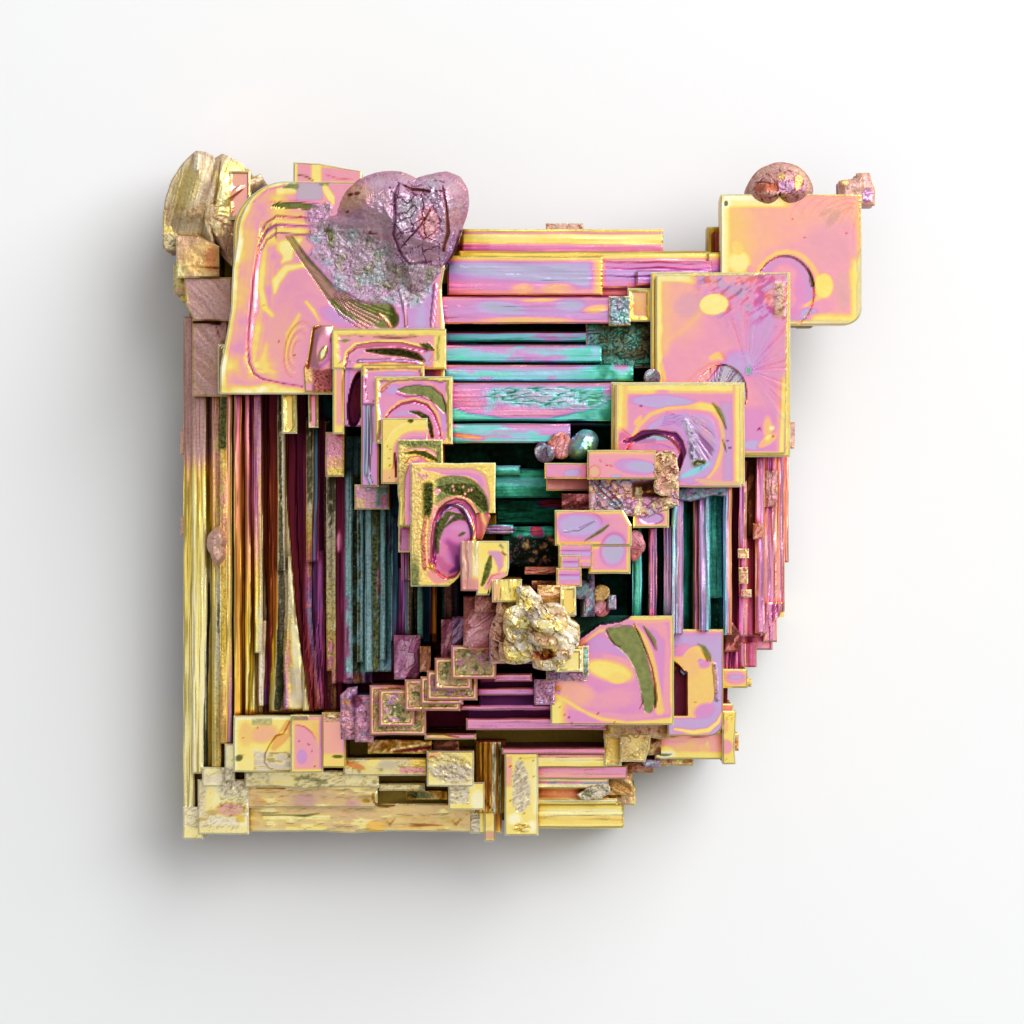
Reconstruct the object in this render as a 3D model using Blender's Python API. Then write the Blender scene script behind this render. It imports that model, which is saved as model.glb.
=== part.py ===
"""Bismuth hopper crystal, lying on its base with the stepped pyramid side up.

One natural piece: sheets and square plates that grew out of each other.  Four
arms of square plates run along the diagonals and step up to an off-centre peak.
Between the arms lie four sunken flanks, filled with thin parallel walls and
deep slots.  The sides and the underside carry shallow stepped hopper pits.

Metres, +Z up, origin at the centre of the footprint, on the ground.
The layout lists are in millimetres: (x0, x1, y0, y1, top, bottom).
"""

import math

import bmesh
import bpy
from mathutils import Matrix, Vector

MM = 0.001

# ---- driving dimensions, millimetres -------------------------------------
AXIS = (-0.49, -1.085)      # growth axis that the whole crystal draws in to
DRAW_IN = 1.0 / 210.0       # plan shrinks by this for each millimetre of height
DRAW_FROM = 10.0            # height at which the plan has its full size
CENTRE = (-0.149, 0.046)     # footprint centre, subtracted from the layout

# ---- base: sheets lying on each other, (inset, bottom, top) ---------------
SHEETS = [
    (1.10, 0.00, 1.26),
    (0.35, 0.97, 2.16),
    (0.90, 1.84, 3.07),
    (0.20, 2.73, 3.94),
    (0.75, 3.62, 4.77),
]
# the outline of a sheet before its inset: overlapping rectangles
SHEET_PLAN = [
    (-23.4, 7.6, -23.5, 8.3),
    (-22.9, 7.3, 4.0, 18.7),
    (5.0, 14.3, -18.3, 17.0),
    (13.0, 18.9, -8.8, 16.4),
]
# the core under the flanks, stepping up towards the middle
CORE = [
    (-17.6, 14.6, -16.2, 14.9, 5.9, 2.4),
    (-13.9, 11.3, -14.6, 11.9, 7.2, 5.5),
    (-9.9, 7.7, -12.4, 8.9, 8.6, 6.8),
    (-6.2, 4.9, -10.8, 4.6, 9.9, 8.2),
]

# ---- north-west arm ---------------------------------------------------------
NW_ARM = [
    # weathered lump on the outer corner
    (-23.3, -18.4, 15.4, 22.5, 8.6, 1.6),
    (-22.5, -19.2, 19.9, 23.3, 8.1, 2.1),
    (-24.0, -20.3, 13.9, 17.4, 7.7, 1.3),
    (-23.3, -20.4, 12.2, 14.6, 7.1, 1.9),
    (-23.4, -21.0, 15.95, 18.6, 9.6, 3.1),
    (-23.0, -20.1, 12.35, 15.3, 9.0, 2.9),
    (-20.3, -18.8, 19.4, 22.8, 10.8, 3.9),
    (-21.2, -19.7, 7.35, 10.6, 9.05, 3.3),
    # the large first plate, a pile of sheets with stepped corners
    (-18.4, -6.2, 8.4, 20.4, 11.6, 10.3),
    (-18.8, -6.6, 8.2, 20.2, 9.5, 7.9),
    (-17.0, -6.9, 9.0, 19.4, 8.1, 4.1),
    (-15.8, -11.0, 21.2, 23.4, 12.6, 10.9),
    (-14.5, -13.0, 9.1, 12.0, 14.8, 13.5),
    # the nested plates that climb inwards
    (-13.1, -5.1, 8.9, 11.75, 15.7, 9.0),
    (-13.05, -12.25, 4.35, 11.2, 15.5, 5.2),
    (-11.0, -6.6, 6.4, 9.25, 16.7, 8.8),
    (-11.05, -9.8, 0.7, 9.1, 16.5, 6.1),
    (-11.5, -9.1, -0.9, 0.85, 16.2, 8.3),
    (-10.1, -4.65, 3.7, 8.4, 17.7, 9.6),
    (-9.6, -6.3, 0.9, 5.6, 18.7, 8.0),
    (-8.85, -5.35, -2.0, 4.0, 19.7, 9.1),
    (-7.6, -1.65, -1.2, 2.35, 21.0, 10.2),
    (-7.6, -2.4, -6.3, 1.9, 21.0, 10.4),
    (-4.1, -2.85, -6.6, -3.1, 22.3, 12.0),
    (-3.0, -0.7, -6.5, -3.2, 21.8, 11.5),
]

# ---- north-east arm ---------------------------------------------------------
NE_ARM = [
    (14.6, 23.1, 12.8, 20.5, 8.8, 7.3),
    (14.0, 23.5, 12.3, 20.8, 7.5, 6.4),
    (14.4, 22.4, 12.9, 20.0, 6.6, 5.3),
    (13.2, 20.6, 11.9, 18.9, 5.5, 3.1),
    (22.4, 24.1, 20.6, 22.2, 9.2, 6.9),
    (23.5, 24.9, 20.3, 22.7, 8.5, 6.2),
    (9.2, 19.0, 2.75, 15.7, 12.5, 11.2),
    (9.55, 18.8, 2.95, 15.55, 13.1, 12.1),
    (9.8, 18.6, 3.3, 15.2, 11.5, 10.0),
    (9.4, 18.9, 2.9, 15.5, 10.3, 9.1),
    (9.9, 18.3, 3.5, 14.8, 9.3, 4.0),
    (18.0, 19.3, 3.35, 5.2, 8.9, 5.2),
    (6.45, 15.8, 0.75, 8.0, 14.9, 9.2),
    (6.7, 15.55, 0.65, 7.9, 15.7, 14.1),
    (4.8, 9.6, 1.0, 3.25, 17.7, 9.3),
    (5.0, 11.2, -1.15, 1.3, 16.9, 8.2),
    (8.0, 10.5, -2.2, -0.9, 16.4, 8.9),
    (2.5, 7.3, -3.45, -0.95, 19.6, 10.1),
    (4.4, 7.8, -5.4, -2.1, 19.6, 9.5),
    (2.75, 5.15, -5.0, -3.3, 20.4, 10.7),
    (2.85, 4.3, -5.6, -4.1, 21.1, 11.2),
    (2.6, 4.4, -6.3, -5.0, 21.7, 11.9),
]

# ---- south-east arm ---------------------------------------------------------
SE_ARM = [
    (2.2, 10.85, -16.0, -9.9, 14.6, 13.1),
    (4.9, 10.85, -10.4, -9.15, 14.6, 12.8),
    (7.5, 10.85, -9.6, -8.35, 14.6, 12.4),
    (2.6, 10.5, -15.6, -10.2, 13.3, 12.0),
    (2.3, 10.75, -15.9, -9.7, 12.2, 10.6),
    (2.7, 10.3, -15.4, -8.7, 10.8, 3.3),
    (10.4, 14.3, -16.8, -9.3, 11.4, 9.9),
    (10.3, 14.0, -16.4, -9.6, 10.1, 8.6),
    (10.1, 14.25, -16.7, -9.4, 8.8, 3.6),
    (9.5, 15.0, -18.4, -14.5, 8.6, 4.2),
    (14.25, 15.2, -18.75, -15.0, 9.5, 5.1),
    (14.9, 15.4, -17.8, -16.6, 8.3, 5.4),
    (9.8, 12.2, -18.85, -17.9, 7.9, 4.5),
    (5.9, 11.2, -16.95, -15.4, 10.3, 3.9),
    (5.95, 7.2, -18.9, -16.2, 9.7, 3.7),
    (7.05, 9.15, -18.6, -16.6, 10.5, 4.4),
    (8.9, 9.95, -18.1, -16.7, 9.2, 4.0),
    (7.2, 9.4, -19.35, -18.2, 8.1, 3.5),
    (5.8, 7.95, -20.9, -19.2, 7.7, 3.2),
    (6.3, 8.15, -21.6, -20.2, 6.9, 3.0),
    (14.3, 16.0, -13.4, -12.05, 7.9, 4.3),
    (14.2, 15.6, -12.4, -10.3, 7.2, 3.8),
    (15.5, 16.25, -13.3, -12.7, 7.1, 4.9),
    (3.55, 4.5, -12.3, -10.5, 17.4, 9.7),
]

# ---- south-west arm ---------------------------------------------------------
SW_ARM = [
    (-23.55, -22.1, -24.0, -21.7, 6.5, 1.4),
    (-22.5, -18.9, -23.65, -19.8, 7.2, 1.5),
    (-22.2, -20.5, -20.3, -18.95, 8.0, 3.3),
    (-20.0, -15.8, -19.3, -15.35, 9.6, 3.1),
    (-19.6, -16.1, -18.9, -15.8, 10.0, 4.1),
    (-16.0, -13.7, -19.35, -15.3, 10.6, 3.4),
    (-13.8, -12.15, -19.0, -15.65, 11.3, 3.8),
    (-12.5, -11.35, -17.0, -13.4, 12.2, 4.2),
    (-11.5, -10.2, -17.2, -13.9, 12.7, 4.6),
    (-10.45, -6.5, -16.7, -13.2, 13.3, 4.4),
    (-9.8, -7.3, -16.1, -13.5, 14.0, 5.3),
    (-8.0, -4.1, -15.0, -12.8, 14.9, 4.8),
    (-6.9, -3.9, -14.55, -12.6, 15.5, 5.7),
    (-6.45, -2.9, -14.25, -12.2, 16.2, 5.0),
    (-5.9, -3.3, -13.5, -11.3, 17.1, 6.2),
    (-4.75, -1.6, -12.75, -10.4, 18.3, 6.8),
    (-2.1, 1.05, -11.7, -9.6, 20.2, 7.4),
    (-8.75, -6.9, -12.8, -9.7, 13.9, 4.1),
    (-6.95, -6.2, -12.3, -10.5, 15.1, 5.2),
    (-5.45, -4.6, -12.0, -8.6, 16.4, 5.9),
    (-4.7, -3.7, -10.9, -8.4, 17.6, 6.4),
    (-3.9, -0.6, -10.6, -7.0, 19.8, 7.1),
]

# ---- north flank: walls that run east-west --------------------------------
N_FLANK = [
    (-4.0, 10.1, 16.3, 18.72, 8.0, 6.9),
    (-4.3, 9.8, 16.1, 18.35, 7.1, 3.6),
    (1.8, 4.5, 18.2, 19.2, 7.6, 5.9),
    (-4.2, 13.4, 15.9, 17.15, 9.0, 3.2),
    (-5.0, 5.85, 14.1, 16.85, 10.3, 3.9),
    (5.6, 13.5, 14.6, 16.5, 9.7, 3.5),
    (8.2, 13.3, 14.8, 15.85, 10.4, 4.3),
    (13.2, 14.6, 15.6, 17.1, 9.4, 4.0),
    (5.7, 8.1, 13.9, 14.75, 9.2, 3.7),
    (-5.8, 7.0, 12.1, 14.0, 12.3, 10.9),
    (-5.9, 6.7, 12.5, 13.9, 11.2, 4.4),
    (6.3, 7.8, 12.0, 14.05, 12.9, 4.9),
    (7.6, 9.3, 12.25, 14.6, 11.4, 3.3),
    (4.7, 9.6, 9.0, 12.3, 10.5, 3.0),
    (-5.6, 4.8, 10.85, 11.55, 10.4, 3.4),
    (-5.5, 5.8, 9.4, 10.6, 11.3, 3.8),
    (-5.4, 8.0, 8.1, 9.2, 12.2, 4.1),
    (-5.3, 6.9, 5.3, 7.95, 13.3, 4.5),
    (-5.2, 3.6, 3.75, 5.1, 14.1, 4.7),
    (1.4, 3.4, 2.9, 4.2, 15.0, 4.2),
    (-2.0, 3.2, -0.1, 1.95, 12.4, 3.5),
    (-5.0, 0.1, 1.5, 2.15, 12.9, 5.1),
    (1.8, 4.9, 1.25, 2.35, 15.9, 5.4),
    (1.9, 5.1, 0.4, 1.4, 14.7, 4.8),
    (3.0, 5.4, -1.2, 0.2, 15.6, 5.6),
    (-2.9, -0.4, -2.6, -1.95, 15.2, 6.0),
    (-1.2, 2.9, -4.9, -2.1, 14.0, 4.6),
    (0.4, 2.9, -5.45, -4.95, 18.2, 6.6),
    (0.9, 2.8, -6.6, -5.9, 19.6, 7.2),
]

# ---- west flank: walls that run north-south -------------------------------
W_FLANK = [
    (-23.5, -22.7, -22.2, 12.6, 6.3, 4.3),
    (-22.9, -21.9, -19.4, 12.4, 7.3, 3.4),
    (-21.5, -20.85, -19.0, 7.8, 7.6, 3.7),
    (-20.95, -20.1, -17.3, 7.9, 8.3, 3.3),
    (-19.95, -19.45, -15.5, 8.0, 8.8, 4.0),
    (-19.2, -18.55, -15.4, 8.1, 9.3, 3.5),
    (-18.6, -18.0, -11.0, 7.7, 9.9, 4.2),
    (-18.35, -17.05, -14.7, -8.7, 8.9, 3.8),
    (-17.0, -16.45, -5.2, 8.2, 10.6, 3.9),
    (-16.7, -16.1, -7.4, -4.2, 10.3, 4.4),
    (-16.3, -15.6, -9.8, -6.7, 10.0, 4.1),
    (-16.4, -15.2, -12.2, -9.2, 9.6, 3.6),
    (-16.5, -14.75, -14.95, -11.4, 9.9, 4.5),
    (-16.6, -15.55, 4.4, 8.0, 11.7, 3.2),
    (-14.75, -14.05, 4.8, 8.1, 12.1, 3.8),
    (-15.0, -14.1, -4.6, 5.6, 11.2, 4.3),
    (-14.4, -13.75, -15.0, -3.8, 10.9, 3.7),
    (-13.6, -12.8, -12.3, 4.4, 12.3, 4.1),
    (-13.55, -12.1, 1.4, 4.9, 13.4, 5.0),
    (-12.3, -11.75, -12.9, 1.9, 12.8, 3.9),
    (-11.45, -11.0, -11.7, 0.6, 13.3, 4.4),
    (-10.65, -10.2, -12.0, 0.4, 13.8, 4.7),
    (-9.85, -9.4, -11.6, 0.5, 14.4, 5.1),
    (-9.05, -8.6, -10.2, -1.4, 15.2, 5.5),
    (-8.35, -7.7, -5.9, -1.6, 17.4, 6.1),
    (-8.1, -7.55, -9.9, -5.0, 15.7, 5.8),
    (-7.2, -6.7, -10.1, -5.6, 16.3, 5.3),
    (-6.35, -5.85, -9.8, -5.7, 16.9, 6.3),
    (-5.5, -4.3, -8.9, -5.9, 17.8, 5.7),
]

# ---- east flank: walls that run north-south -------------------------------
E_FLANK = [
    (7.95, 8.6, -8.9, -2.0, 13.0, 3.6),
    (9.1, 9.65, -8.8, -2.2, 13.4, 4.3),
    (10.15, 10.75, -8.7, -2.0, 12.8, 3.8),
    (10.7, 11.5, -9.7, 1.2, 13.4, 4.5),
    (11.4, 12.2, -5.4, 0.9, 8.4, 3.3),
    (12.2, 12.6, -9.6, 1.1, 11.2, 3.9),
    (12.6, 13.3, -9.5, 1.0, 11.9, 4.4),
    (13.2, 14.3, -7.1, 1.3, 9.7, 4.8),
    (14.3, 14.9, -9.7, 1.2, 10.5, 3.5),
    (15.4, 15.95, -7.0, 1.1, 9.0, 3.1),
    (16.55, 17.2, -9.6, 3.3, 8.1, 3.7),
    (15.3, 16.7, -9.8, -2.9, 7.5, 4.2),
    (17.1, 18.05, -10.2, 3.2, 7.3, 3.4),
    (17.9, 18.6, -8.1, 3.4, 6.3, 4.0),
    (18.2, 18.88, -4.6, 4.0, 5.5, 2.9),
    (15.2, 17.75, -10.75, -9.2, 6.6, 4.1),
    (15.1, 16.65, -11.95, -10.2, 6.9, 4.6),
    (4.3, 5.3, -8.4, -5.2, 15.8, 5.2),
]

# ---- south flank: walls that run east-west, front ledges -------------------
S_FLANK = [
    (1.3, 7.3, -23.2, -21.5, 6.6, 1.7),
    (1.2, 6.9, -21.6, -21.15, 7.4, 3.6),
    (1.1, 6.3, -20.45, -19.7, 8.0, 3.9),
    (1.2, 7.6, -19.8, -18.85, 8.7, 3.5),
    (1.0, 6.2, -19.0, -18.0, 9.4, 4.2),
    (-1.2, 6.0, -18.05, -17.6, 10.1, 4.6),
    (-3.7, 6.1, -16.35, -15.5, 12.0, 3.8),
    (-4.1, 2.5, -14.95, -14.6, 13.4, 4.3),
    (-2.95, 1.15, -13.9, -13.4, 14.6, 4.9),
    (1.05, 2.5, -14.6, -12.8, 15.2, 5.1),
    (-1.7, 0.9, -12.95, -12.4, 16.3, 5.4),
    (-1.0, 1.35, -23.75, -17.8, 9.8, 5.0),
    (-0.8, 1.2, -23.3, -17.9, 5.4, 1.5),
    (-3.1, -0.9, -22.2, -17.1, 7.5, 3.3),
    (-2.45, -1.65, -24.15, -21.6, 7.0, 1.9),
    (-3.45, -1.2, -23.6, -21.8, 6.2, 1.2),
    (-6.45, -3.15, -20.3, -17.8, 9.7, 3.7),
    (-4.95, -2.4, -21.95, -20.0, 8.6, 3.4),
    (-19.4, -3.3, -23.5, -21.5, 6.2, 2.4),
    (-19.3, -9.9, -21.8, -20.2, 6.9, 3.1),
    (-19.2, -9.8, -20.4, -19.2, 7.7, 3.9),
    (-12.3, -6.4, -19.55, -18.3, 8.3, 4.4),
    (-10.6, -6.1, -18.0, -17.05, 9.1, 4.0),
    (-6.6, -3.0, -17.0, -16.6, 9.9, 4.7),
    (-7.9, -5.0, -21.2, -20.6, 6.8, 3.2),
]

# ---- peak: tumbled cream-coloured blocks ----------------------------------
PEAK = [
    (-1.9, 0.2, -7.4, -5.8, 22.6, 9.0),
    (-0.2, 1.5, -8.3, -6.3, 23.6, 9.9),
    (1.3, 3.9, -8.4, -6.2, 22.0, 9.4),
    (-1.1, 1.6, -11.5, -7.6, 24.0, 8.7),
    (0.6, 3.2, -10.6, -7.5, 24.9, 9.8),
    (1.0, 2.6, -9.5, -7.9, 26.0, 12.2),
    (2.3, 3.4, -11.7, -9.4, 22.6, 9.2),
    (1.0, 2.75, -11.8, -10.3, 21.4, 8.3),
    (2.6, 4.4, -12.3, -10.7, 18.9, 8.5),
]

# ---- plates with a rounded corner: block, (corner x side, y side), radius --
ROUND_PLATES = [
    ((-20.2, -5.2, 7.15, 22.05, 14.1, 12.8), (-1, 1), 3.6),
    ((-20.0, -5.5, 7.4, 21.8, 12.95, 11.4), (-1, 1), 3.3),
    ((-19.7, -5.4, 7.3, 21.6, 10.5, 9.3), (-1, 1), 3.0),
    ((14.1, 24.0, 12.0, 21.15, 10.1, 8.5), (1, -1), 1.2),
]

# ---- rounded growths: (x, y, z centre), (three half sizes), turn ----------
NODULES = [
    ((-11.0, 20.7, 13.6), (2.1, 1.95, 2.0), 20.0),
    ((-6.4, 18.9, 13.9), (2.8, 3.9, 2.9), -8.0),
    ((-8.6, 20.5, 13.4), (2.1, 2.2, 1.9), 0.0),
    ((-5.25, 20.8, 13.2), (1.8, 2.0, 2.2), 0.0),
    ((-10.7, 16.5, 13.6), (3.1, 2.3, 1.7), 30.0),
    ((-22.3, 20.6, 6.3), (2.6, 3.7, 3.6), -14.0),
    ((-23.9, 18.6, 6.1), (1.1, 1.6, 2.7), 0.0),
    ((-23.0, 15.2, 6.0), (1.1, 1.7, 1.8), 8.0),
    ((18.2, 20.9, 8.7), (2.35, 2.5, 1.9), 0.0),
    ((10.2, 1.6, 16.4), (0.95, 1.65, 1.9), -6.0),
    ((6.6, -0.1, 16.3), (1.7, 1.2, 1.2), 25.0),
    ((4.45, 3.6, 14.2), (1.3, 1.0, 1.5), 40.0),
    ((5.9, -7.3, 12.6), (1.1, 0.9, 1.6), 35.0),
    ((-0.2, -9.6, 23.1), (1.3, 1.5, 1.3), 15.0),
    ((3.0, -9.0, 23.0), (1.2, 1.6, 1.4), -20.0),
]

# ---- pits and slots cut after the blocks have grown together ---------------
# (x0, x1, y0, y1, top, bottom), drawn in like a block of that top height
CUTS = [
    (-12.2, -11.06, 5.0, 8.8, 16.0, 8.2),
    (10.86, 11.75, -15.35, -12.1, 12.5, 8.0),
]

# ---- stepped hopper pits: (half width, half height, depth) from out to in --
UNDER_PIT = [(15.0, 14.0, 0.70), (11.2, 10.2, 1.30), (7.6, 6.7, 1.95), (4.0, 3.3, 2.60)]
UNDER_CENTRE = (-3.6, -2.6)
SIDE_PIT = [(11.5, 1.55, 1.25), (9.0, 1.10, 2.05), (6.2, 0.68, 2.85)]
SIDE_MIDDLE = 2.45          # height of the side pits' centre line

# ---- finish ----------------------------------------------------------------
OXIDE_PINK = (0.66, 0.37, 0.50, 1.0)
ROUGHNESS = 0.28
METALLIC = 0.9


def clear_scene():
    for old in list(bpy.data.objects):
        bpy.data.objects.remove(old, do_unlink=True)


def draw_in(x, y, top):
    """Plan position of a point whose block ends at this height."""
    k = 1.0 - (top - DRAW_FROM) * DRAW_IN
    return (
        AXIS[0] + (x - AXIS[0]) * k - CENTRE[0],
        AXIS[1] + (y - AXIS[1]) * k - CENTRE[1],
    )


def add_block(bm, x0, x1, y0, y1, top, bottom):
    """One upright block, its corners drawn in to the growth axis."""
    ax, ay = draw_in(x0, y0, top)
    bx, by = draw_in(x1, y1, top)
    place = Vector(((ax + bx) / 2, (ay + by) / 2, (top + bottom) / 2)) * MM
    size = Vector((bx - ax, by - ay, top - bottom)) * MM
    matrix = Matrix.Translation(place) @ Matrix.Diagonal(size.to_4d())
    bmesh.ops.create_cube(bm, size=1.0, matrix=matrix)


def add_round_plate(bm, block, corner, radius):
    """A block with one upright corner rounded off in four facets."""
    plate = bmesh.new()
    add_block(plate, *block)
    edges = []
    for edge in plate.edges:
        a, b = edge.verts
        along = b.co - a.co
        middle = (a.co + b.co) / 2
        if abs(along.z) > 0.5 * along.length:
            edges.append((middle.x * corner[0] + middle.y * corner[1], edge))
    upright = max(edges, key=lambda pair: pair[0])[1]
    bmesh.ops.bevel(
        plate,
        geom=[upright],
        offset=radius * MM,
        segments=4,
        profile=0.5,
        affect="EDGES",
    )
    mesh = bpy.data.meshes.new("rounded_plate")
    plate.to_mesh(mesh)
    plate.free()
    bm.from_mesh(mesh)
    bpy.data.meshes.remove(mesh)


def add_nodule(bm, centre, half, turn):
    """A rounded growth: a coarse sphere squashed to three half sizes."""
    x, y = draw_in(centre[0], centre[1], centre[2])
    place = Vector((x, y, centre[2])) * MM
    size = Vector(half) * MM
    matrix = (
        Matrix.Translation(place)
        @ Matrix.Rotation(math.radians(turn), 4, "Z")
        @ Matrix.Diagonal(size.to_4d())
    )
    bmesh.ops.create_icosphere(bm, subdivisions=2, radius=1.0, matrix=matrix)


def mesh_object(name, collection, bm, helper):
    mesh = bpy.data.meshes.new(name)
    bm.to_mesh(mesh)
    bm.free()
    obj = bpy.data.objects.new(name, mesh)
    collection.objects.link(obj)
    if helper:
        obj.hide_render = True
        obj.display_type = "WIRE"
    return obj


def grow(name, collection, blocks):
    """One helper object that holds all the blocks of a region."""
    bm = bmesh.new()
    for block in blocks:
        add_block(bm, *block)
    return mesh_object(name, collection, bm, True)


def base_sheets(bm):
    """The pile of sheets under everything, each with its own outline."""
    for number, (inset, bottom, top) in enumerate(SHEETS):
        for part, (x0, x1, y0, y1) in enumerate(SHEET_PLAN):
            slip = 0.03 * part + 0.02 * number
            add_block(
                bm,
                x0 + inset + slip,
                x1 - inset - slip,
                y0 + inset + slip,
                y1 - inset - slip,
                top - 0.03 * part,
                bottom + 0.02 * part,
            )


def under_pit(bm):
    """Nested steps that hollow the underside."""
    for half_x, half_y, depth in UNDER_PIT:
        size = Vector((2 * half_x, 2 * half_y, depth + 1.0)) * MM
        place = Vector((UNDER_CENTRE[0], UNDER_CENTRE[1], (depth - 1.0) / 2)) * MM
        matrix = Matrix.Translation(place) @ Matrix.Diagonal(size.to_4d())
        bmesh.ops.create_cube(bm, size=1.0, matrix=matrix)


def side_pit(bm, face, outward):
    """Nested steps that hollow one side of the base, face = its middle point."""
    angle = math.atan2(outward[1], outward[0])
    for half_wide, half_high, depth in SIDE_PIT:
        size = Vector((depth + 1.5, 2 * half_wide, 2 * half_high)) * MM
        inward = Matrix.Translation(Vector(((1.5 - depth) / 2, 0.0, 0.0)) * MM)
        place = Vector((face[0], face[1], SIDE_MIDDLE)) * MM
        matrix = (
            Matrix.Translation(place)
            @ Matrix.Rotation(angle, 4, "Z")
            @ inward
            @ Matrix.Diagonal(size.to_4d())
        )
        bmesh.ops.create_cube(bm, size=1.0, matrix=matrix)


def finish():
    material = bpy.data.materials.new("bismuth_oxide")
    material.use_nodes = True
    surface = material.node_tree.nodes["Principled BSDF"]
    surface.inputs["Base Color"].default_value = OXIDE_PINK
    surface.inputs["Roughness"].default_value = ROUGHNESS
    surface.inputs["Metallic"].default_value = METALLIC
    material.diffuse_color = OXIDE_PINK
    return material


def boolean(target, name, operation, collection):
    step = target.modifiers.new(name, "BOOLEAN")
    step.operation = operation
    step.solver = "EXACT"
    step.operand_type = "COLLECTION"
    step.collection = collection
    step.use_self = True


def build():
    clear_scene()
    scene = bpy.context.scene
    crystal_parts = bpy.data.collections.new("bismuth_hopper_crystal")
    blocks = bpy.data.collections.new("growth_blocks")
    cutters = bpy.data.collections.new("pit_cutters")
    for collection in (crystal_parts, blocks, cutters):
        scene.collection.children.link(collection)

    base = bmesh.new()
    base_sheets(base)
    crystal = mesh_object("bismuth_crystal", crystal_parts, base, False)
    crystal.data.materials.append(finish())

    grow("core", blocks, CORE)
    grow("nw_arm", blocks, NW_ARM)
    grow("ne_arm", blocks, NE_ARM)
    grow("se_arm", blocks, SE_ARM)
    grow("sw_arm", blocks, SW_ARM)
    grow("n_flank", blocks, N_FLANK)
    grow("w_flank", blocks, W_FLANK)
    grow("e_flank", blocks, E_FLANK)
    grow("s_flank", blocks, S_FLANK)
    grow("peak", blocks, PEAK)
    rounded = bmesh.new()
    for block, corner, radius in ROUND_PLATES:
        add_round_plate(rounded, block, corner, radius)
    mesh_object("rounded_plates", blocks, rounded, True)
    lumps = bmesh.new()
    for centre, half, turn in NODULES:
        add_nodule(lumps, centre, half, turn)
    mesh_object("nodules", blocks, lumps, True)

    pits = bmesh.new()
    for x0, x1, y0, y1, top, bottom in CUTS:
        add_block(pits, x0, x1, y0, y1, top, bottom)
    mesh_object("slot_cutters", cutters, pits, True)
    hollow = bmesh.new()
    under_pit(hollow)
    mesh_object("under_pit", cutters, hollow, True)
    sides = [
        ("west_pit", (-23.2, -4.5), (-1.0, 0.0)),
        ("south_pit", (-10.5, -23.3), (0.0, -1.0)),
        ("east_pit", (18.7, 4.5), (1.0, 0.0)),
        ("north_pit", (-1.5, 18.5), (0.0, 1.0)),
    ]
    for name, face, outward in sides:
        hollow = bmesh.new()
        side_pit(hollow, face, outward)
        mesh_object(name, cutters, hollow, True)

    boolean(crystal, "grown_together", "UNION", blocks)
    boolean(crystal, "hopper_pits", "DIFFERENCE", cutters)


build()
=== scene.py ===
# %% [markdown]
# # A bismuth hopper crystal
#
# Bismuth freezes from the melt as a hopper crystal: its edges grow faster than its
# faces, so every face is left behind as a stair of square plates around a hollow.
# This one lies with its stepped pyramid up. Four arms of square plates climb the
# diagonals to a peak that is a little off the middle, and between the arms lie four
# sunken flanks full of thin upright walls. A skin of oxide, thinner than a
# wavelength of light, gives every plate its colour.
#
# The imported solid is loaded first. Everything below keeps inside its box, which is
# printed.

# %% Load the imported crystal
import math

import bpy
import numpy as np
from mathutils import Matrix, Vector


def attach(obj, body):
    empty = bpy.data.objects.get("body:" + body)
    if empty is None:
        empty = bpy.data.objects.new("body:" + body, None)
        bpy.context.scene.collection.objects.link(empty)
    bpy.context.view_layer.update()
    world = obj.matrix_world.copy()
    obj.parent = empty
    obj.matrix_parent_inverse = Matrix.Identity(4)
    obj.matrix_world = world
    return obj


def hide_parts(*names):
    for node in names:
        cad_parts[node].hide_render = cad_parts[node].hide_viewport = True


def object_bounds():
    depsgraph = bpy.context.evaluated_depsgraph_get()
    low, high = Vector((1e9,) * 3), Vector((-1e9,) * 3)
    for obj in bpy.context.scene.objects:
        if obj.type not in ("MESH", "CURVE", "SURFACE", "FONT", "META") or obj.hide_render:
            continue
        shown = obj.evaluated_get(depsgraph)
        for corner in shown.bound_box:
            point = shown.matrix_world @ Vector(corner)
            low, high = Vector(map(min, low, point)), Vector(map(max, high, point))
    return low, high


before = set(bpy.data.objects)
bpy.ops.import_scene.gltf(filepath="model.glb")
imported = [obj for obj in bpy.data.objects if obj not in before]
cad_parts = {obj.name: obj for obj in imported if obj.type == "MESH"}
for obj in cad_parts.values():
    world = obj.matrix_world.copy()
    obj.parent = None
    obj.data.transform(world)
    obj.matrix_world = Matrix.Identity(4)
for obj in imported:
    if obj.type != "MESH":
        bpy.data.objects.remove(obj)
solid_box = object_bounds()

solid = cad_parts["bismuth_crystal"]
print("solid box in mm:", [[round(1000 * v, 2) for v in corner] for corner in solid_box])

# %% [markdown]
# ## Places on the crystal
#
# All plan places below are in millimetres, as the camera 220 mm above the table sees
# them at a height of 10 mm. A higher point is nearer the camera and looks further out
# from the point under it, so it has to be drawn in towards that point, by one part in
# 210 for each millimetre of height. One helper does this for single points and for
# whole arrays of them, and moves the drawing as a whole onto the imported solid.

# %% From plan millimetres to metres
MM = 0.001
UNDER = (-0.49, -1.085)
SHIFT = (0.149, -0.046)
CAMERA_HEIGHT = 220.0
DRAWN_AT = 10.0


def drawn(x, y, z):
    k = 1.0 - (z - DRAWN_AT) / (CAMERA_HEIGHT - DRAWN_AT)
    return (UNDER[0] + (x - UNDER[0]) * k + SHIFT[0]) * MM, (UNDER[1] + (y - UNDER[1]) * k + SHIFT[1]) * MM


print("the point under the camera is at", [round(v / MM, 2) for v in drawn(*UNDER, DRAWN_AT)], "mm")

# %% [markdown]
# ## Soft shapes to shape and colour with
#
# A plate's face is shaped the way a sculptor works: with strokes, discs, rings and
# noise that each say how strongly a tool acts at each point. The helpers below
# return such a strength, from 0 to 1, for many points at once. Doing it with arrays
# is far quicker than moving vertices one by one, and every run gives the same result.
# The canvas of a face has a short name for each tool that is used often: a line, a
# spot, a straight-sided area, an arc, blotches of noise and the hem along the edge.

# %% Noise and soft-edged shapes


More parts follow.
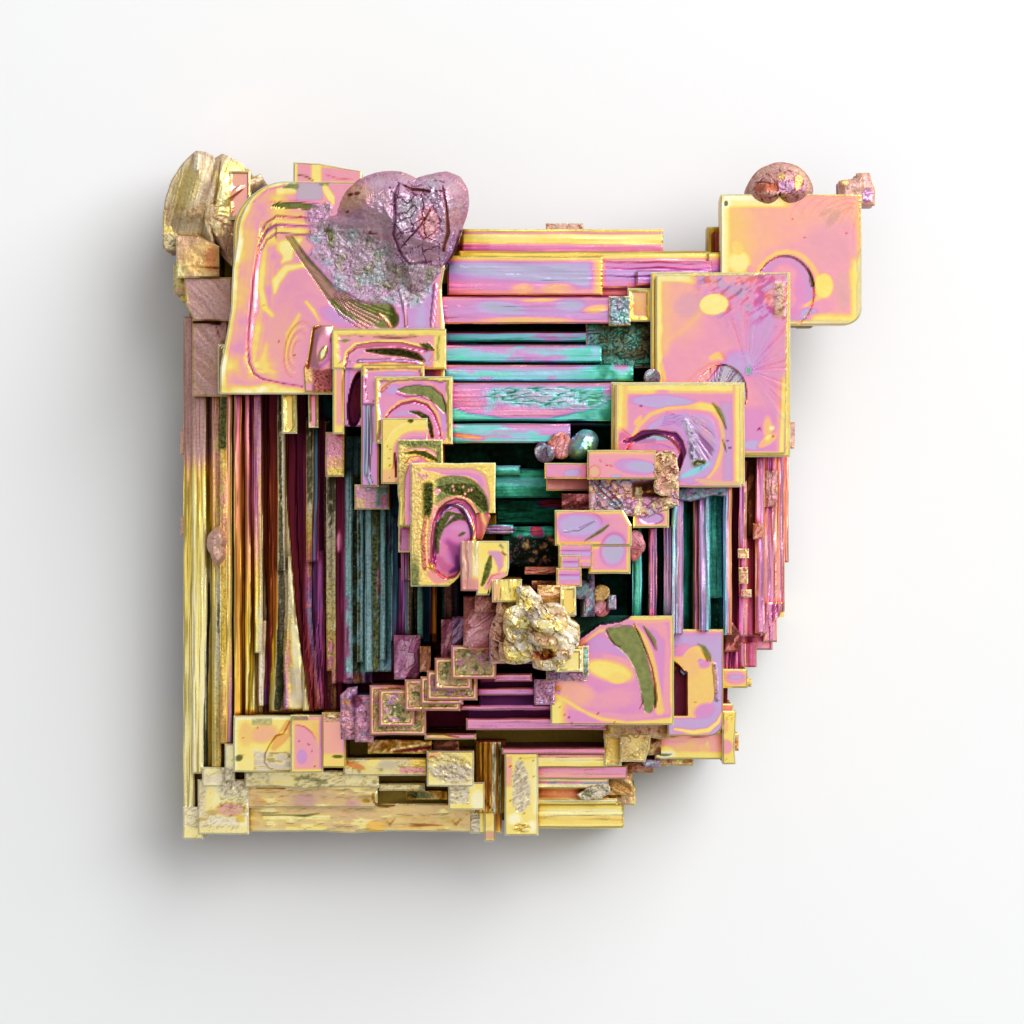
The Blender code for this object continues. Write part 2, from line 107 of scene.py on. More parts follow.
def hashed(ix, iy, seed):
    h = (ix.astype(np.int64) * 374761393 + iy.astype(np.int64) * 668265263 + seed * 974634777) & 0xFFFFFFFF
    h = ((h ^ (h >> 13)) * 1274126177) & 0xFFFFFFFF
    return ((h ^ (h >> 16)) & 0xFFFF) / 65535.0


def cloud(x, y, size, seed=0, layers=3):
    """Smooth noise from -1 to 1 whose lumps are about this many millimetres across."""
    total = np.zeros(np.shape(x))
    weight = 0.0
    for layer in range(layers):
        k = 2.0**layer
        u, v = x * k / size, y * k / size
        iu, iv = np.floor(u), np.floor(v)
        fu, fv = u - iu, v - iv
        fu, fv = fu * fu * (3 - 2 * fu), fv * fv * (3 - 2 * fv)
        s = seed * 17 + layer
        low = hashed(iu, iv, s) * (1 - fu) + hashed(iu + 1, iv, s) * fu
        high = hashed(iu, iv + 1, s) * (1 - fu) + hashed(iu + 1, iv + 1, s) * fu
        total += (low * (1 - fv) + high * fv) / k
        weight += 1.0 / k
    return 2.0 * total / weight - 1.0


def ease(value, low, high):
    """0 below low, 1 above high, smooth between; low may be the higher of the two."""
    t = np.clip((value - low) / (high - low), 0.0, 1.0)
    return t * t * (3 - 2 * t)


def turned(face, x, y, turn):
    a = math.radians(turn)
    dx, dy = face.x - x, face.y - y
    return dx * math.cos(a) + dy * math.sin(a), dy * math.cos(a) - dx * math.sin(a)


def disc(face, x, y, rx, ry=None, turn=0.0, soft=0.3):
    ry = rx if ry is None else ry
    u, v = turned(face, x, y, turn)
    return ease(np.hypot(u / rx, v / ry), 1.0 + soft * 0.5, 1.0 - soft * 0.5)


def patch(face, x0, x1, y0, y1, soft=0.2):
    inside = np.minimum(np.minimum(face.x - x0, x1 - face.x), np.minimum(face.y - y0, y1 - face.y))
    return ease(inside, -soft / 2, soft / 2)


def stroke(face, points, soft=0.08):
    """A brush line through (x, y, half width) points, as a strength."""
    best = np.full(face.x.shape, -1e9)
    for (ax, ay, aw), (bx, by, bw) in zip(points[:-1], points[1:]):
        dx, dy = bx - ax, by - ay
        t = np.clip(((face.x - ax) * dx + (face.y - ay) * dy) / max(dx * dx + dy * dy, 1e-9), 0.0, 1.0)
        far = np.hypot(face.x - ax - t * dx, face.y - ay - t * dy)
        best = np.maximum(best, aw + (bw - aw) * t - far)
    return ease(best, -soft, soft)


def bow(x, y, rx, ry, start, end, wide, turn=0.0, ends=0.25, steps=14):
    """Points for a stroke along part of an ellipse, thin at its ends."""
    points = []
    for n in range(steps + 1):
        t = n / steps
        a = math.radians(start + (end - start) * t)
        u, v = rx * math.cos(a), ry * math.sin(a)
        c, s = math.cos(math.radians(turn)), math.sin(math.radians(turn))
        w = wide * (ends + (1 - ends) * math.sin(math.pi * t))
        points.append((x + u * c - v * s, y + u * s + v * c, w))
    return points


def grooves(face, turn, pitch, waver=0.15, seed=0):
    """Fine parallel lines across the given direction, from 0 in a groove to 1 on a ridge."""
    u, v = turned(face, 0.0, 0.0, turn)
    u = u + waver * cloud(face.x, face.y, 1.6, seed + 5)
    a = cloud(u, v * 0.04, pitch, seed, 2)
    return np.clip(0.5 + a, 0.0, 1.0)


def cells(x, y, size, seed=0):
    """How far each point is from the border of its cell in an uneven net: 0 on a crack."""
    u, v = x / size, y / size
    iu, iv = np.floor(u), np.floor(v)
    near, second = np.full(u.shape, 9.0), np.full(u.shape, 9.0)
    for du in (-1, 0, 1):
        for dv in (-1, 0, 1):
            px = iu + du + hashed(iu + du, iv + dv, seed)
            py = iv + dv + hashed(iu + du, iv + dv, seed + 1)
            far = np.hypot(u - px, v - py)
            second = np.minimum(second, np.maximum(near, far))
            near = np.minimum(near, far)
    return second - near


class Canvas:
    """The points of one face while it is being shaped: where they are, and what is put on them."""

    def __init__(self, x, y, edge):
        self.x, self.y, self.edge = x, y, edge
        self.film = np.full(x.shape, 0.45)
        self.rise = np.zeros(x.shape)
        self.grain = np.zeros(x.shape)
        self.deep = np.zeros(x.shape)
        self.dull = np.zeros(x.shape)
        self.leaf = np.zeros(x.shape)

    def put(self, strength, film=None, rise=None, grain=None, deep=None, dull=None):
        if isinstance(film, float) and not -0.03 < film < 0.915:
            self.leaf += (1 - self.leaf) * strength
            # the darkest olive films also get 0.4 of the painted-shade attribute, which darkens them further
            if deep is None and not -0.08 < film < 0.955:
                deep = 0.4
        elif film is not None:
            self.film += (film - self.film) * strength
            self.leaf -= self.leaf * np.clip(strength, 0, 1)
        if rise is not None:
            self.rise += rise * strength
        if grain is not None:
            self.grain += (grain - self.grain) * strength
        if deep is not None:
            self.deep += (deep - self.deep) * strength
        if dull is not None:
            self.dull += (dull - self.dull) * strength

    def line(self, points, soft=0.05, **paint):
        self.put(stroke(self, points, soft), **paint)

    def spot(self, x, y, rx, ry=None, turn=0.0, soft=0.3, **paint):
        self.put(disc(self, x, y, rx, ry, turn, soft), **paint)

    def area(self, x0, x1, y0, y1, soft=0.2, **paint):
        self.put(patch(self, x0, x1, y0, y1, soft), **paint)

    def arc(self, x, y, rx, ry, start, end, wide, turn=0.0, ends=0.25, steps=14, **paint):
        self.line(bow(x, y, rx, ry, start, end, wide, turn, ends, steps), **paint)

    def blotches(self, size, seed, low, high, **paint):
        self.put(ease(cloud(self.x, self.y, size, seed), low, high), **paint)

    def hem(self, film, wide=0.09, core=0.04, **paint):
        self.put(ease(self.edge, wide, core), film=film, **paint)


print("noise at one place:", round(float(cloud(np.array([1.5]), np.array([2.5]), 1.0)[0]), 4))

# %% [markdown]
# ## The oxide finish
#
# The colour of bismuth is interference: light bounced from the top and the bottom
# of a clear oxide film. As the film thickens the colour runs from cream through
# yellow, pink, lilac, blue-grey, teal and green to olive. So the material has one
# colour ramp for film thickness, and each mesh carries the thickness at its points
# as an attribute called film. Below zero the ramp holds the olive tones as well, so
# that a pale plate can turn olive without passing through every colour between. A
# second attribute is painted shade: it darkens the colour where light would have
# bounced between walls, each bounce multiplying the colour by itself, which a gamma
# node does, and it also darkens the darkest olive films. Three more make a surface
# speckled and rough (grain, which also mixes painted cream glints into the colour),
# faded like bare metal (dull) or covered by an olive skin (leaf).

# %% Film colours and the oxide material
FILM = [
    (-0.14, (74, 62, 44)),
    (-0.09, (98, 92, 52)),
    (-0.05, (112, 126, 68)),
    (-0.03, (142, 138, 76)),
    (0.00, (250, 243, 218)),
    (0.08, (248, 236, 170)),
    (0.17, (244, 219, 116)),
    (0.26, (240, 194, 118)),
    (0.35, (240, 174, 148)),
    (0.45, (234, 158, 174)),
    (0.535, (221, 143, 190)),
    (0.61, (204, 151, 204)),
    (0.67, (194, 169, 213)),
    (0.72, (180, 178, 202)),
    (0.78, (152, 204, 222)),
    (0.84, (122, 214, 196)),
    (0.90, (64, 130, 102)),
    (0.95, (128, 134, 74)),
    (1.00, (74, 66, 38)),
]


def tint(rgb):
    """A colour given as 0-255 screen values, as the renderer's linear values."""
    out = []
    for v in rgb:
        v = v / 255.0
        out.append(v / 12.92 if v <= 0.04045 else ((v + 0.055) / 1.055) ** 2.4)
    return (*out, 1.0)


class Wiring:
    """Adds nodes to a material and joins them, one line a node."""

    def __init__(self, name):
        self.material = bpy.data.materials.new(name)
        self.material.use_nodes = True
        self.nodes = self.material.node_tree.nodes
        self.links = self.material.node_tree.links
        self.surface = self.nodes["Principled BSDF"]

    def add(self, kind, label, settings=None, **inputs):
        node = self.nodes.new(kind)
        node.label = label
        for key, value in (settings or {}).items():
            setattr(node, key, value)
        for key, value in inputs.items():
            self.feed(node, key.replace("_", " "), value)
        return node

    def feed(self, node, key, value):
        socket = node.inputs[int(key[1:])] if key[:1] == "i" and key[1:].isdigit() else node.inputs[key]
        if isinstance(value, bpy.types.NodeSocket):
            self.links.new(value, socket)
        elif isinstance(value, bpy.types.Node):
            self.links.new(value.outputs[0], socket)
        else:
            socket.default_value = value

    def sum(self, kind, a, b, label="", clamp=False):
        return self.add("ShaderNodeMath", label, {"operation": kind, "use_clamp": clamp}, i0=a, i1=b)


def oxide_finish(name, metallic=0.9, smooth=0.24, painted_glint_strength=0.55):
    w = Wiring(name)
    place = w.add("ShaderNodeTexCoord", "place on the crystal").outputs["Object"]
    film = w.add("ShaderNodeAttribute", "film thickness", {"attribute_name": "film"}).outputs["Fac"]
    # painted shade: this attribute darkens the colour where light would have bounced between walls and been
    # lost
    deep = w.add("ShaderNodeAttribute", "light bounced between walls",
        {"attribute_name": "deep"}).outputs["Fac"]
    grain = w.add("ShaderNodeAttribute", "roughness of growth", {"attribute_name": "grain"}).outputs["Fac"]
    dull = w.add("ShaderNodeAttribute", "bare dull metal", {"attribute_name": "dull"}).outputs["Fac"]
    leaf = w.add("ShaderNodeAttribute", "olive leaf", {"attribute_name": "leaf"}).outputs["Fac"]
    drift = w.add("ShaderNodeTexNoise", "film drift", Vector=place, Scale=420.0, Detail=3.0, Roughness=0.55)
    fine = w.add("ShaderNodeTexNoise", "fine film flecks", Vector=place, Scale=2600.0, Detail=2.0)
    shift = w.add("ShaderNodeMapRange", "drift amount", i0=drift.outputs[0], i3=-0.035, i4=0.035)
    flecks = w.add("ShaderNodeMapRange", "fleck amount", i0=fine.outputs[0], i1=0.3, i2=0.7, i3=-0.012,
        i4=0.012)
    thick = w.sum("ADD", w.sum("ADD", film, shift.outputs[0]), flecks.outputs[0], "film at this point")
    step = w.add("ShaderNodeMapRange", "place on the colour band", i0=thick.outputs[0], i1=FILM[0][0], i2=1.0)
    ramp = w.add("ShaderNodeValToRGB", "colour of the film", None, Fac=step.outputs[0])
    band = ramp.color_ramp
    band.elements[0].color, band.elements[1].color = tint(FILM[0][1]), tint(FILM[-1][1])
    for at, rgb in FILM[1:-1]:
        band.elements.new((at - FILM[0][0]) / (1.0 - FILM[0][0])).color = tint(rgb)
    # painted shade: the gamma and the multiply below darken the base colour by this attribute
    bounces = w.add("ShaderNodeMapRange", "bounces", i0=deep, i3=1.0, i4=2.7)
    lost = w.add("ShaderNodeMapRange", "light lost", i0=deep, i1=0.25, i3=1.0, i4=0.26)
    bare = w.add("ShaderNodeMix", "dull skin", {"data_type": "RGBA"}, i0=dull, i6=ramp.outputs[0],
        i7=tint((184, 158, 150)))
    olive = w.add("ShaderNodeMix", "olive of the leaf", {"data_type": "RGBA"}, i0=fine.outputs[0],
        i6=tint((92, 100, 52)), i7=tint((152, 154, 92)))
    leafy = w.add("ShaderNodeMix", "leaf over the film", {"data_type": "RGBA"}, i0=leaf, i6=bare.outputs[2],
        i7=olive.outputs[2])
    sunk = w.add("ShaderNodeGamma", "colour after the bounces", None, Color=leafy.outputs[2],
        Gamma=bounces.outputs[0])
    crumbs = w.add("ShaderNodeTexNoise", "crumbs", Vector=place, Scale=5200.0, Detail=3.0, Roughness=0.7)
    pits = w.add("ShaderNodeMapRange", "dark pits", i0=crumbs.outputs[0], i1=0.36, i2=0.54, i3=0.16, i4=1.0)
    keep = w.add("ShaderNodeMix", "pits only where rough", {"data_type": "FLOAT"}, i0=grain, i2=1.0,
        i3=pits.outputs[0])
    left = w.sum("MULTIPLY", keep.outputs[0], lost.outputs[0], "light left")
    dim = w.add("ShaderNodeMix", "darkened", {"data_type": "RGBA", "blend_type": "MULTIPLY"}, i0=1.0,
        i6=sunk.outputs[0], i7=left.outputs[0])
    # painted glints: specks of pale cream are mixed into the base colour where the surface is rough
    painted_glints = w.add("ShaderNodeMapRange", "bright crumbs", i0=crumbs.outputs[0], i1=0.62, i2=0.70, i3=0.0,
        i4=painted_glint_strength)
    amount = w.sum("MULTIPLY", painted_glints.outputs[0], grain, "glints only where rough")
    bright = w.add("ShaderNodeMix", "painted_glints", {"data_type": "RGBA"}, i0=amount.outputs[0], i6=dim.outputs[2],
        i7=tint((240, 232, 214)))
    w.feed(w.surface, "Base Color", bright.outputs[2])
    matt = w.add("ShaderNodeMapRange", "rough where grainy", i0=grain, i3=smooth, i4=0.62)
    soft = w.add("ShaderNodeMapRange", "softer in the gaps", i0=deep, i4=0.35)
    w.feed(w.surface, "Roughness", w.sum("ADD", matt.outputs[0], soft.outputs[0], "roughness", True))
    metal = w.add("ShaderNodeMapRange", "less metal where dull", i0=dull, i3=metallic, i4=0.15)
    cream = w.add("ShaderNodeMapRange", "cream film is milky", i0=thick.outputs[0], i1=0.0, i2=0.12, i3=0.55,
        i4=1.0)
    w.feed(w.surface, "Metallic", w.sum("MULTIPLY", metal.outputs[0], cream.outputs[0], "metal left"))
    swell = w.add("ShaderNodeTexNoise", "slight swell", Vector=place, Scale=900.0, Detail=2.0)
    first = w.add("ShaderNodeBump", "swell of the plates", None, Height=swell.outputs[0], Strength=0.10,
        Distance=0.0002)
    rough = w.sum("MULTIPLY", crumbs.outputs[0], grain, "crumb height")
    second = w.add("ShaderNodeBump", "crumbs", None, Height=rough.outputs[0], Strength=0.85,
        Distance=0.00016, Normal=first.outputs[0])
    w.feed(w.surface, "Normal", second.outputs[0])
    return w.material


oxide = oxide_finish("bismuth_oxide")
print("finish:", oxide.name, "with", len(oxide.node_tree.nodes), "nodes")

# %% [markdown]
# ## Growing one block
#
# Every plate, wall and step is one block of crystal. Each is a grid laid at its place,
# its lines drawn close together at the rims, where the real edge has a small rounded
# lip. The border loop is then extruded down in layers to the foot of the block, as the
# crystal itself is layered, and the foot is closed with one face. The look of a
# block is a function that paints and carves the canvas of its top.

# %% Grid lines and the block maker
OXIDE_BITS = {}
LIP = 0.07
MOST_LAYERS = 14
CLOSER = dict(step=0.07)
CLOSE = dict(step=0.08)
FINE = dict(step=0.12)
COARSE = dict(step=0.3)
BOX_LOW = np.array(solid_box[0]) + 0.00002
BOX_HIGH = np.array(solid_box[1]) - 0.00002


def spread(length, step):
    rims = [0.0, 0.045, 0.12, 0.24] if length > 0.8 else [0.0, 0.04, 0.11]
    inner = length - 2 * rims[-1]
    middle = np.linspace(rims[-1], length - rims[-1], max(2, int(round(inner / step)) + 1))
    return np.concatenate([rims[:-1], middle, (length - np.array(rims[:-1]))[::-1]])


def rounded(x, y, block, corner, radius):
    """Points of a square corner drawn onto a round one, and their distance to the edge."""
    x0, x1, y0, y1 = block[:4]
    cx = x1 - radius if corner[0] > 0 else x0 + radius
    cy = y1 - radius if corner[1] > 0 else y0 + radius
    a = np.clip((x - cx) * corner[0] / radius, 0, None)
    b = np.clip((y - cy) * corner[1] / radius, 0, None)
    inside = (a > 0) & (b > 0)
    far = np.maximum(np.hypot(a, b), 1e-9)
    k = np.where(inside, np.maximum(a, b) / far, 1.0)
    nx = np.where(inside, cx + a * k * corner[0] * radius, x)
    ny = np.where(inside, cy + b * k * corner[1] * radius, y)
    near = np.where(inside, radius * (1.0 - np.maximum(a, b)), 1e9)
    return nx, ny, near


def to_outline(x, y, block, outline):
    """Square grid points drawn onto a rounded outline given as (x, y) points around a middle."""
    x0, x1, y0, y1 = block[:4]
    a, b = 2 * (x - x0) / (x1 - x0) - 1, 2 * (y - y0) / (y1 - y0) - 1
    out = np.maximum(np.abs(a), np.abs(b))
    angle = np.arctan2(b, a)
    mx, my = outline[0]
    ring = sorted((math.atan2(py - my, px - mx), math.hypot(px - mx, py - my)) for px, py in outline[1:])
    turns = [r[0] for r in ring]
    reach = [r[1] for r in ring]
    radius = np.interp(angle, turns, reach, period=2 * math.pi)
    return mx + radius * out * np.cos(angle), my + radius * out * np.sin(angle), radius * (1 - out)


def bent(x, y, block, sides):
    """Moves the sides of a block: for each side, (place along it, shift) pairs."""
    x0, x1, y0, y1 = block[:4]
    dx, dy = np.zeros(x.shape), np.zeros(x.shape)
    for side, pairs in sides.items():
        at, by = [p[0] for p in pairs], [p[1] for p in pairs]
        if side in "WE":
            near = (x1 - x) / (x1 - x0) if side == "W" else (x - x0) / (x1 - x0)
            dx += np.interp(y, at, by) * ease(near, 0.3, 1.0)
        else:
            near = (y1 - y) / (y1 - y0) if side == "S" else (y - y0) / (y1 - y0)
            dy += np.interp(x, at, by) * ease(near, 0.3, 1.0)
    return x + dx, y + dy


def points_of(mesh, what="co"):
    """The vertices of a mesh, or their normals, as an array of rows."""
    flat = np.empty(len(mesh.vertices) * 3)
    mesh.vertices.foreach_get(what, flat)
    return flat.reshape(-1, 3)


def pick(*chosen):
    """Selects these objects and no others, and makes the first one active."""
    bpy.ops.object.select_all(action="DESELECT")
    for obj in chosen:
        obj.select_set(True)
    bpy.context.view_layer.objects.active = chosen[0]


def coat(mesh, face, *foot):
    """Writes the canvas, and what is on the walls below it, to the mesh as attributes."""
    foot = list(foot) or [np.zeros(0)] * 3
    foot += [np.zeros(len(foot[0]))] * 2
    for key, below in zip(("film", "grain", "dull", "deep", "leaf"), foot):
        head = getattr(face, key)
        values = np.clip(np.concatenate([head, below]), -0.15 if key == "film" else 0, 1)
        mesh.attributes.new(key, "FLOAT", "POINT").data.foreach_set("value", values)


def grow_block(name, block, look, step=0.14, along=None, layer=0.55, corner=None, sides=None, outline=None):
    """One closed block; along is the spacing on its longer side when it is a wall."""
    x0, x1, y0, y1, top, bottom = block
    wide, long = x1 - x0, y1 - y0
    sx = sy = step
    if along:
        sx, sy = (along, step) if wide > long else (step, along)
    us, vs = spread(wide, sx), spread(long, sy)
    bpy.ops.mesh.primitive_grid_add(x_subdivisions=len(us) - 1, y_subdivisions=len(vs) - 1, size=1.0)
    obj = bpy.context.object
    obj.name = name
    mesh = obj.data
    flat = points_of(mesh)
    count = len(flat)
    iu = np.rint((flat[:, 0] + 0.5) * (len(us) - 1)).astype(int)
    iv = np.rint((flat[:, 1] + 0.5) * (len(vs) - 1)).astype(int)
    x, y = x0 + us[iu], y0 + vs[iv]
    edge = np.minimum(np.minimum(x - x0, x1 - x), np.minimum(y - y0, y1 - y))
    if corner:
        x, y, near = rounded(x, y, block, corner[0], corner[1])
        edge = np.minimum(edge, near)
    if sides:
        x, y = bent(x, y, block, sides)
    if outline:
        x, y, edge = to_outline(x, y, block, outline)
    face = Canvas(x, y, edge)
    face.block = block
    look(face)
    lip = LIP * (1.0 - ease(edge, -0.02, 0.12))
    X, Y = drawn(x + 0.035 * cloud(x, y, 2.2, 3), y + 0.035 * cloud(x, y, 2.2, 4), top)
    Z = (top + face.rise - lip) * MM
    mesh.vertices.foreach_set("co", np.stack([X, Y, Z], 1).ravel())

    rows = min(max(2, int(round((top - bottom) / layer))), MOST_LAYERS)
    bpy.ops.object.mode_set(mode="EDIT")
    bpy.ops.mesh.select_mode(type="EDGE")
    bpy.ops.mesh.select_all(action="SELECT")
    bpy.ops.mesh.region_to_loop()
    bpy.ops.mesh.extrude_repeat(steps=rows, offset=(0.0, 0.0, -(top - bottom) * MM / rows), scale_offset=1.0)
    bpy.ops.mesh.edge_face_add()
    bpy.ops.object.mode_set(mode="OBJECT")

    co = points_of(mesh)
    np.clip(co, BOX_LOW, BOX_HIGH, out=co)
    wall = co[count:]
    row = np.arange(len(wall)) // max(1, len(wall) // rows)
    row = np.minimum(row, rows - 1)
    none = np.zeros_like(row)
    level = top - 0.12 - (top - bottom - 0.12) * (row + 1) / rows
    uneven = 0.12 * (hashed(row, none, int(abs(x0 * 10 + y0 * 7)) + 3) - 0.5)
    level = np.where(row == rows - 1, bottom, level + uneven)
    rim = wall[:, 2] / MM + (row + 1) * (top - bottom) / rows
    if rim.min() < top - 1:
        level = np.minimum(level, bottom + (rim - bottom) * (1 - (row + 1) / (rows + 0.01)))
    tuck = 0.02 + 0.07 * hashed(row, none + 1, int(abs(x0 * 13 + y1 * 5)) + 11)
    mid = drawn((x0 + x1) / 2, (y0 + y1) / 2, top)
    wall[:, 0] = mid[0] + (wall[:, 0] - mid[0]) * (1 - 2 * tuck / wide * (wide > 0.5))
    wall[:, 1] = mid[1] + (wall[:, 1] - mid[1]) * (1 - 2 * tuck / long * (long > 0.5))
    wall[:, 2] = level * MM
    mesh.vertices.foreach_set("co", co.ravel())

    rim_film = face.film[edge < 1e-6]
    side = float(np.mean(rim_film)) + 0.03
    fall = (top - level) / max(top - bottom, 0.1)
    uneven = 0.20 * (hashed(row, none + 2, int(abs(x1 * 9))) - 0.5)
    side_film = np.maximum(side + 0.30 * fall + uneven, 0.03)
    fresh = np.ones(len(wall))
    coat(mesh, face, side_film, fresh * float(np.mean(face.grain)) * 0.6, fresh * float(np.mean(face.dull)))
    return obj


def joined(name, made):
    """Joins the objects into one piece of the crystal and lists it."""
    pick(*made)
    if len(made) > 1:
        bpy.ops.object.join()
    piece = bpy.context.object
    piece.name = name
    OXIDE_BITS[name] = piece
    print(name, "is", len(made), "parts joined, faces:", len(piece.data.polygons))


def grow_group(name, members):
    joined(name, [grow_block(name, *member[:2], **member[2]) for member in members])


bpy.ops.object.select_all(action="DESELECT")

# %% [markdown]
# ## Looks that many blocks share
#
# A plate has a raised, pale rim where it grew fastest, a softly sunken middle and
# faint contour lines left by each pause in growth. Along its very edge runs a
# near-white line, a painted highlight of the rounded lip over thin cream oxide. A
# wall is a bundle of thin upright leaves side by side, each with its own film, so
# its paint is listed across the wall as a row of places with a film each, together
# with painted shade for the gaps. A rough block is grainy and lumpy all over.

# %% Plate, wall and rough looks


def plate_look(inside=0.46, rim=0.15, wide=0.55, seed=1, contours=0.5, grain=0.0, slope=(0.0, 0.0),
        sunk=0.07):
    def look(face):
        x0, x1, y0, y1 = face.block[:4]
        x, y, e = face.x, face.y, face.edge
        u = (x - (x0 + x1) / 2) / (x1 - x0)
        v = (y - (y0 + y1) / 2) / (y1 - y0)
        ragged = e + 0.22 * wide * cloud(x, y, 1.3, seed) + 0.1 * cloud(x, y, 0.5, seed + 1)
        face.film = inside + slope[0] * u + slope[1] * v + 0.045 * cloud(x, y, 3.0, seed + 2)
        face.film += contours * 0.03 * np.sin(ragged * 5.0) * ease(ragged, 2.6, 0.6)
        face.grain = face.grain + grain
        face.put(ease(ragged, wide * 1.3, wide * 0.7), film=rim)
        face.put(ease(ragged, wide * 0.45, wide * 0.2), film=rim + 0.05)
        # painted highlight of the rounded lip over thin cream oxide: a near-white line along the very edge
        face.hem(0.04, 0.14, 0.05)
        face.rise = -sunk * ease(ragged, wide * 0.5, wide * 1.5) + 0.015 * cloud(x, y, 1.0, seed + 3)

    return look


def listed(value, stops, blur=0.05):
    """Each column of the stops at this place: every stop holds until the next one."""
    places = np.array([s[0] for s in stops])
    table = np.array([s[1:] for s in stops], dtype=float)
    at = np.clip(np.searchsorted(places, value) - 1, 0, len(stops) - 1)
    nxt = np.clip(at + 1, 0, len(stops) - 1)
    t = ease(value, places[nxt] - blur, places[nxt] + blur)
    t = np.where(nxt > at, t, 0.0)[:, None]
    return table[at] * (1 - t) + table[nxt] * t


def wall_look(stops, across, ends, seed=1, ribs=0.10, specks=0.25, streaks=0.05):
    """stops: place, film at the far end, film at the near end, painted shade in the gaps and dark film,
    grain.
    """

    def look(face):
        v, u = (face.x, face.y) if across == "x" else (face.y, face.x)
        v = v + 0.05 * cloud(u, v, 3.0, seed)
        row = listed(v, stops)
        t = np.clip((u - ends[0]) / (ends[1] - ends[0]), 0.0, 1.0)
        leaf = cloud(v, u * 0.03, 0.16, seed + 1, 2)
        face.film = row[:, 1] * (1 - t) + row[:, 0] * t + streaks * leaf
        face.film += 0.03 * cloud(u * 0.25, v * 2.0, 0.9, seed + 2)
        # painted shade: the gaps between the leaves are darkened from the table
        face.deep = row[:, 2]
        patchy = ease(cloud(u * 0.5, v * 1.5, 0.6, seed + 4), 0.1, 0.5)
        face.grain = np.clip(row[:, 3] + specks * patchy * 0.6, 0, 1)
        face.rise = ribs * leaf - ribs * 0.7
        face.rise += 0.05 * cloud(u * 0.2, v, 0.8, seed + 3)
        line = ease(face.edge, 0.07, 0.02)
        face.put(0.6 * line * (1 - face.deep), film=np.where(face.film < 0.7, 0.16, 0.76))

    return look


def rough_look(film=0.3, seed=1, grain=0.6, lumps=0.12, spread_film=0.12, size=0.7, dull=0.3):
    def look(face):
        x, y = face.x, face.y
        face.film = film + spread_film * cloud(x, y, size * 2, seed) + 0.06 * cloud(x, y, size * 0.5,
            seed + 1)
        face.grain = np.clip(grain + 0.4 * cloud(x, y, size, seed + 2), 0, 1)
        face.dull += dull + 0.2 * cloud(x, y, size, seed + 4)
        face.rise = lumps * (terraces(x, y, size * 1.3, seed + 3) + 0.3 * cloud(x, y, size, seed + 3,
            4) - 0.7)
        face.hem(0.04, 0.1, 0.05)

    return look


def scribbles(face, strength, seed, size=.22, turn=0, pull=.45, film=.015, dull=.42):
    """Short frozen wrinkles that all lean one way, with painted shade in their grooves."""
    u, v = turned(face, 0, 0, turn)
    ripple = cloud(u * pull, v, size, seed, 3)
    face.put(strength * .85, film=film, dull=dull)
    face.rise += strength * .06 * ripple
    face.put(strength * ease(np.abs(ripple), .10, .02), deep=.6)
    face.put(strength * ease(ripple, .16, .35), film=.06, dull=.2)


def terraces(x, y, size, seed, levels=2.5):
    """Noise cut into flat steps, as broken crystal breaks."""
    return np.round(levels * cloud(x, y, size, seed, 3)) / levels


EAST = [
    (7.8, .88, .86, .1, .2), (8.35, .84, .82, .1, .1), (8.65, .9, .9, .6, 0), (9.1, .56, .50, 0, 0),
    (9.45, .64, .58, 0, 0), (9.65, .9, .9, .55, 0), (10.15, .68, .72, 0, .1), (10.45, .60, .66, 0, 0),
    (10.7, .76, .74, 0, .1), (11.1, .62, .66, 0, 0), (11.5, .86, .88, .15, .2), (12.15, .40, .44, 0, 0),
    (12.4, .52, .46, 0, 0), (12.6, .66, .64, 0, .1), (12.95, .74, .76, .05, .2), (13.3, .85, .86, .05, .5),
    (14.0, .83, .84, .05, .5), (14.3, .76, .80, .05, .1), (14.6, .36, .38, .1, 0), (14.95, .5, .5, .7, 0),
    (15.4, .56, .52, 0, 0), (15.7, .38, .42, 0, 0), (16.0, .46, .46, .45, 0), (16.55, .48, .46, 0, .1),
    (16.9, .54, .50, 0, 0), (17.2, .44, .42, 0, .1), (17.45, .58, .52, 0, 0), (17.75, .46, .44, 0, 0),
    (18.05, .36, .38, 0, .1), (18.3, .50, .46, 0, 0), (18.6, .42, .40, 0, 0),
]
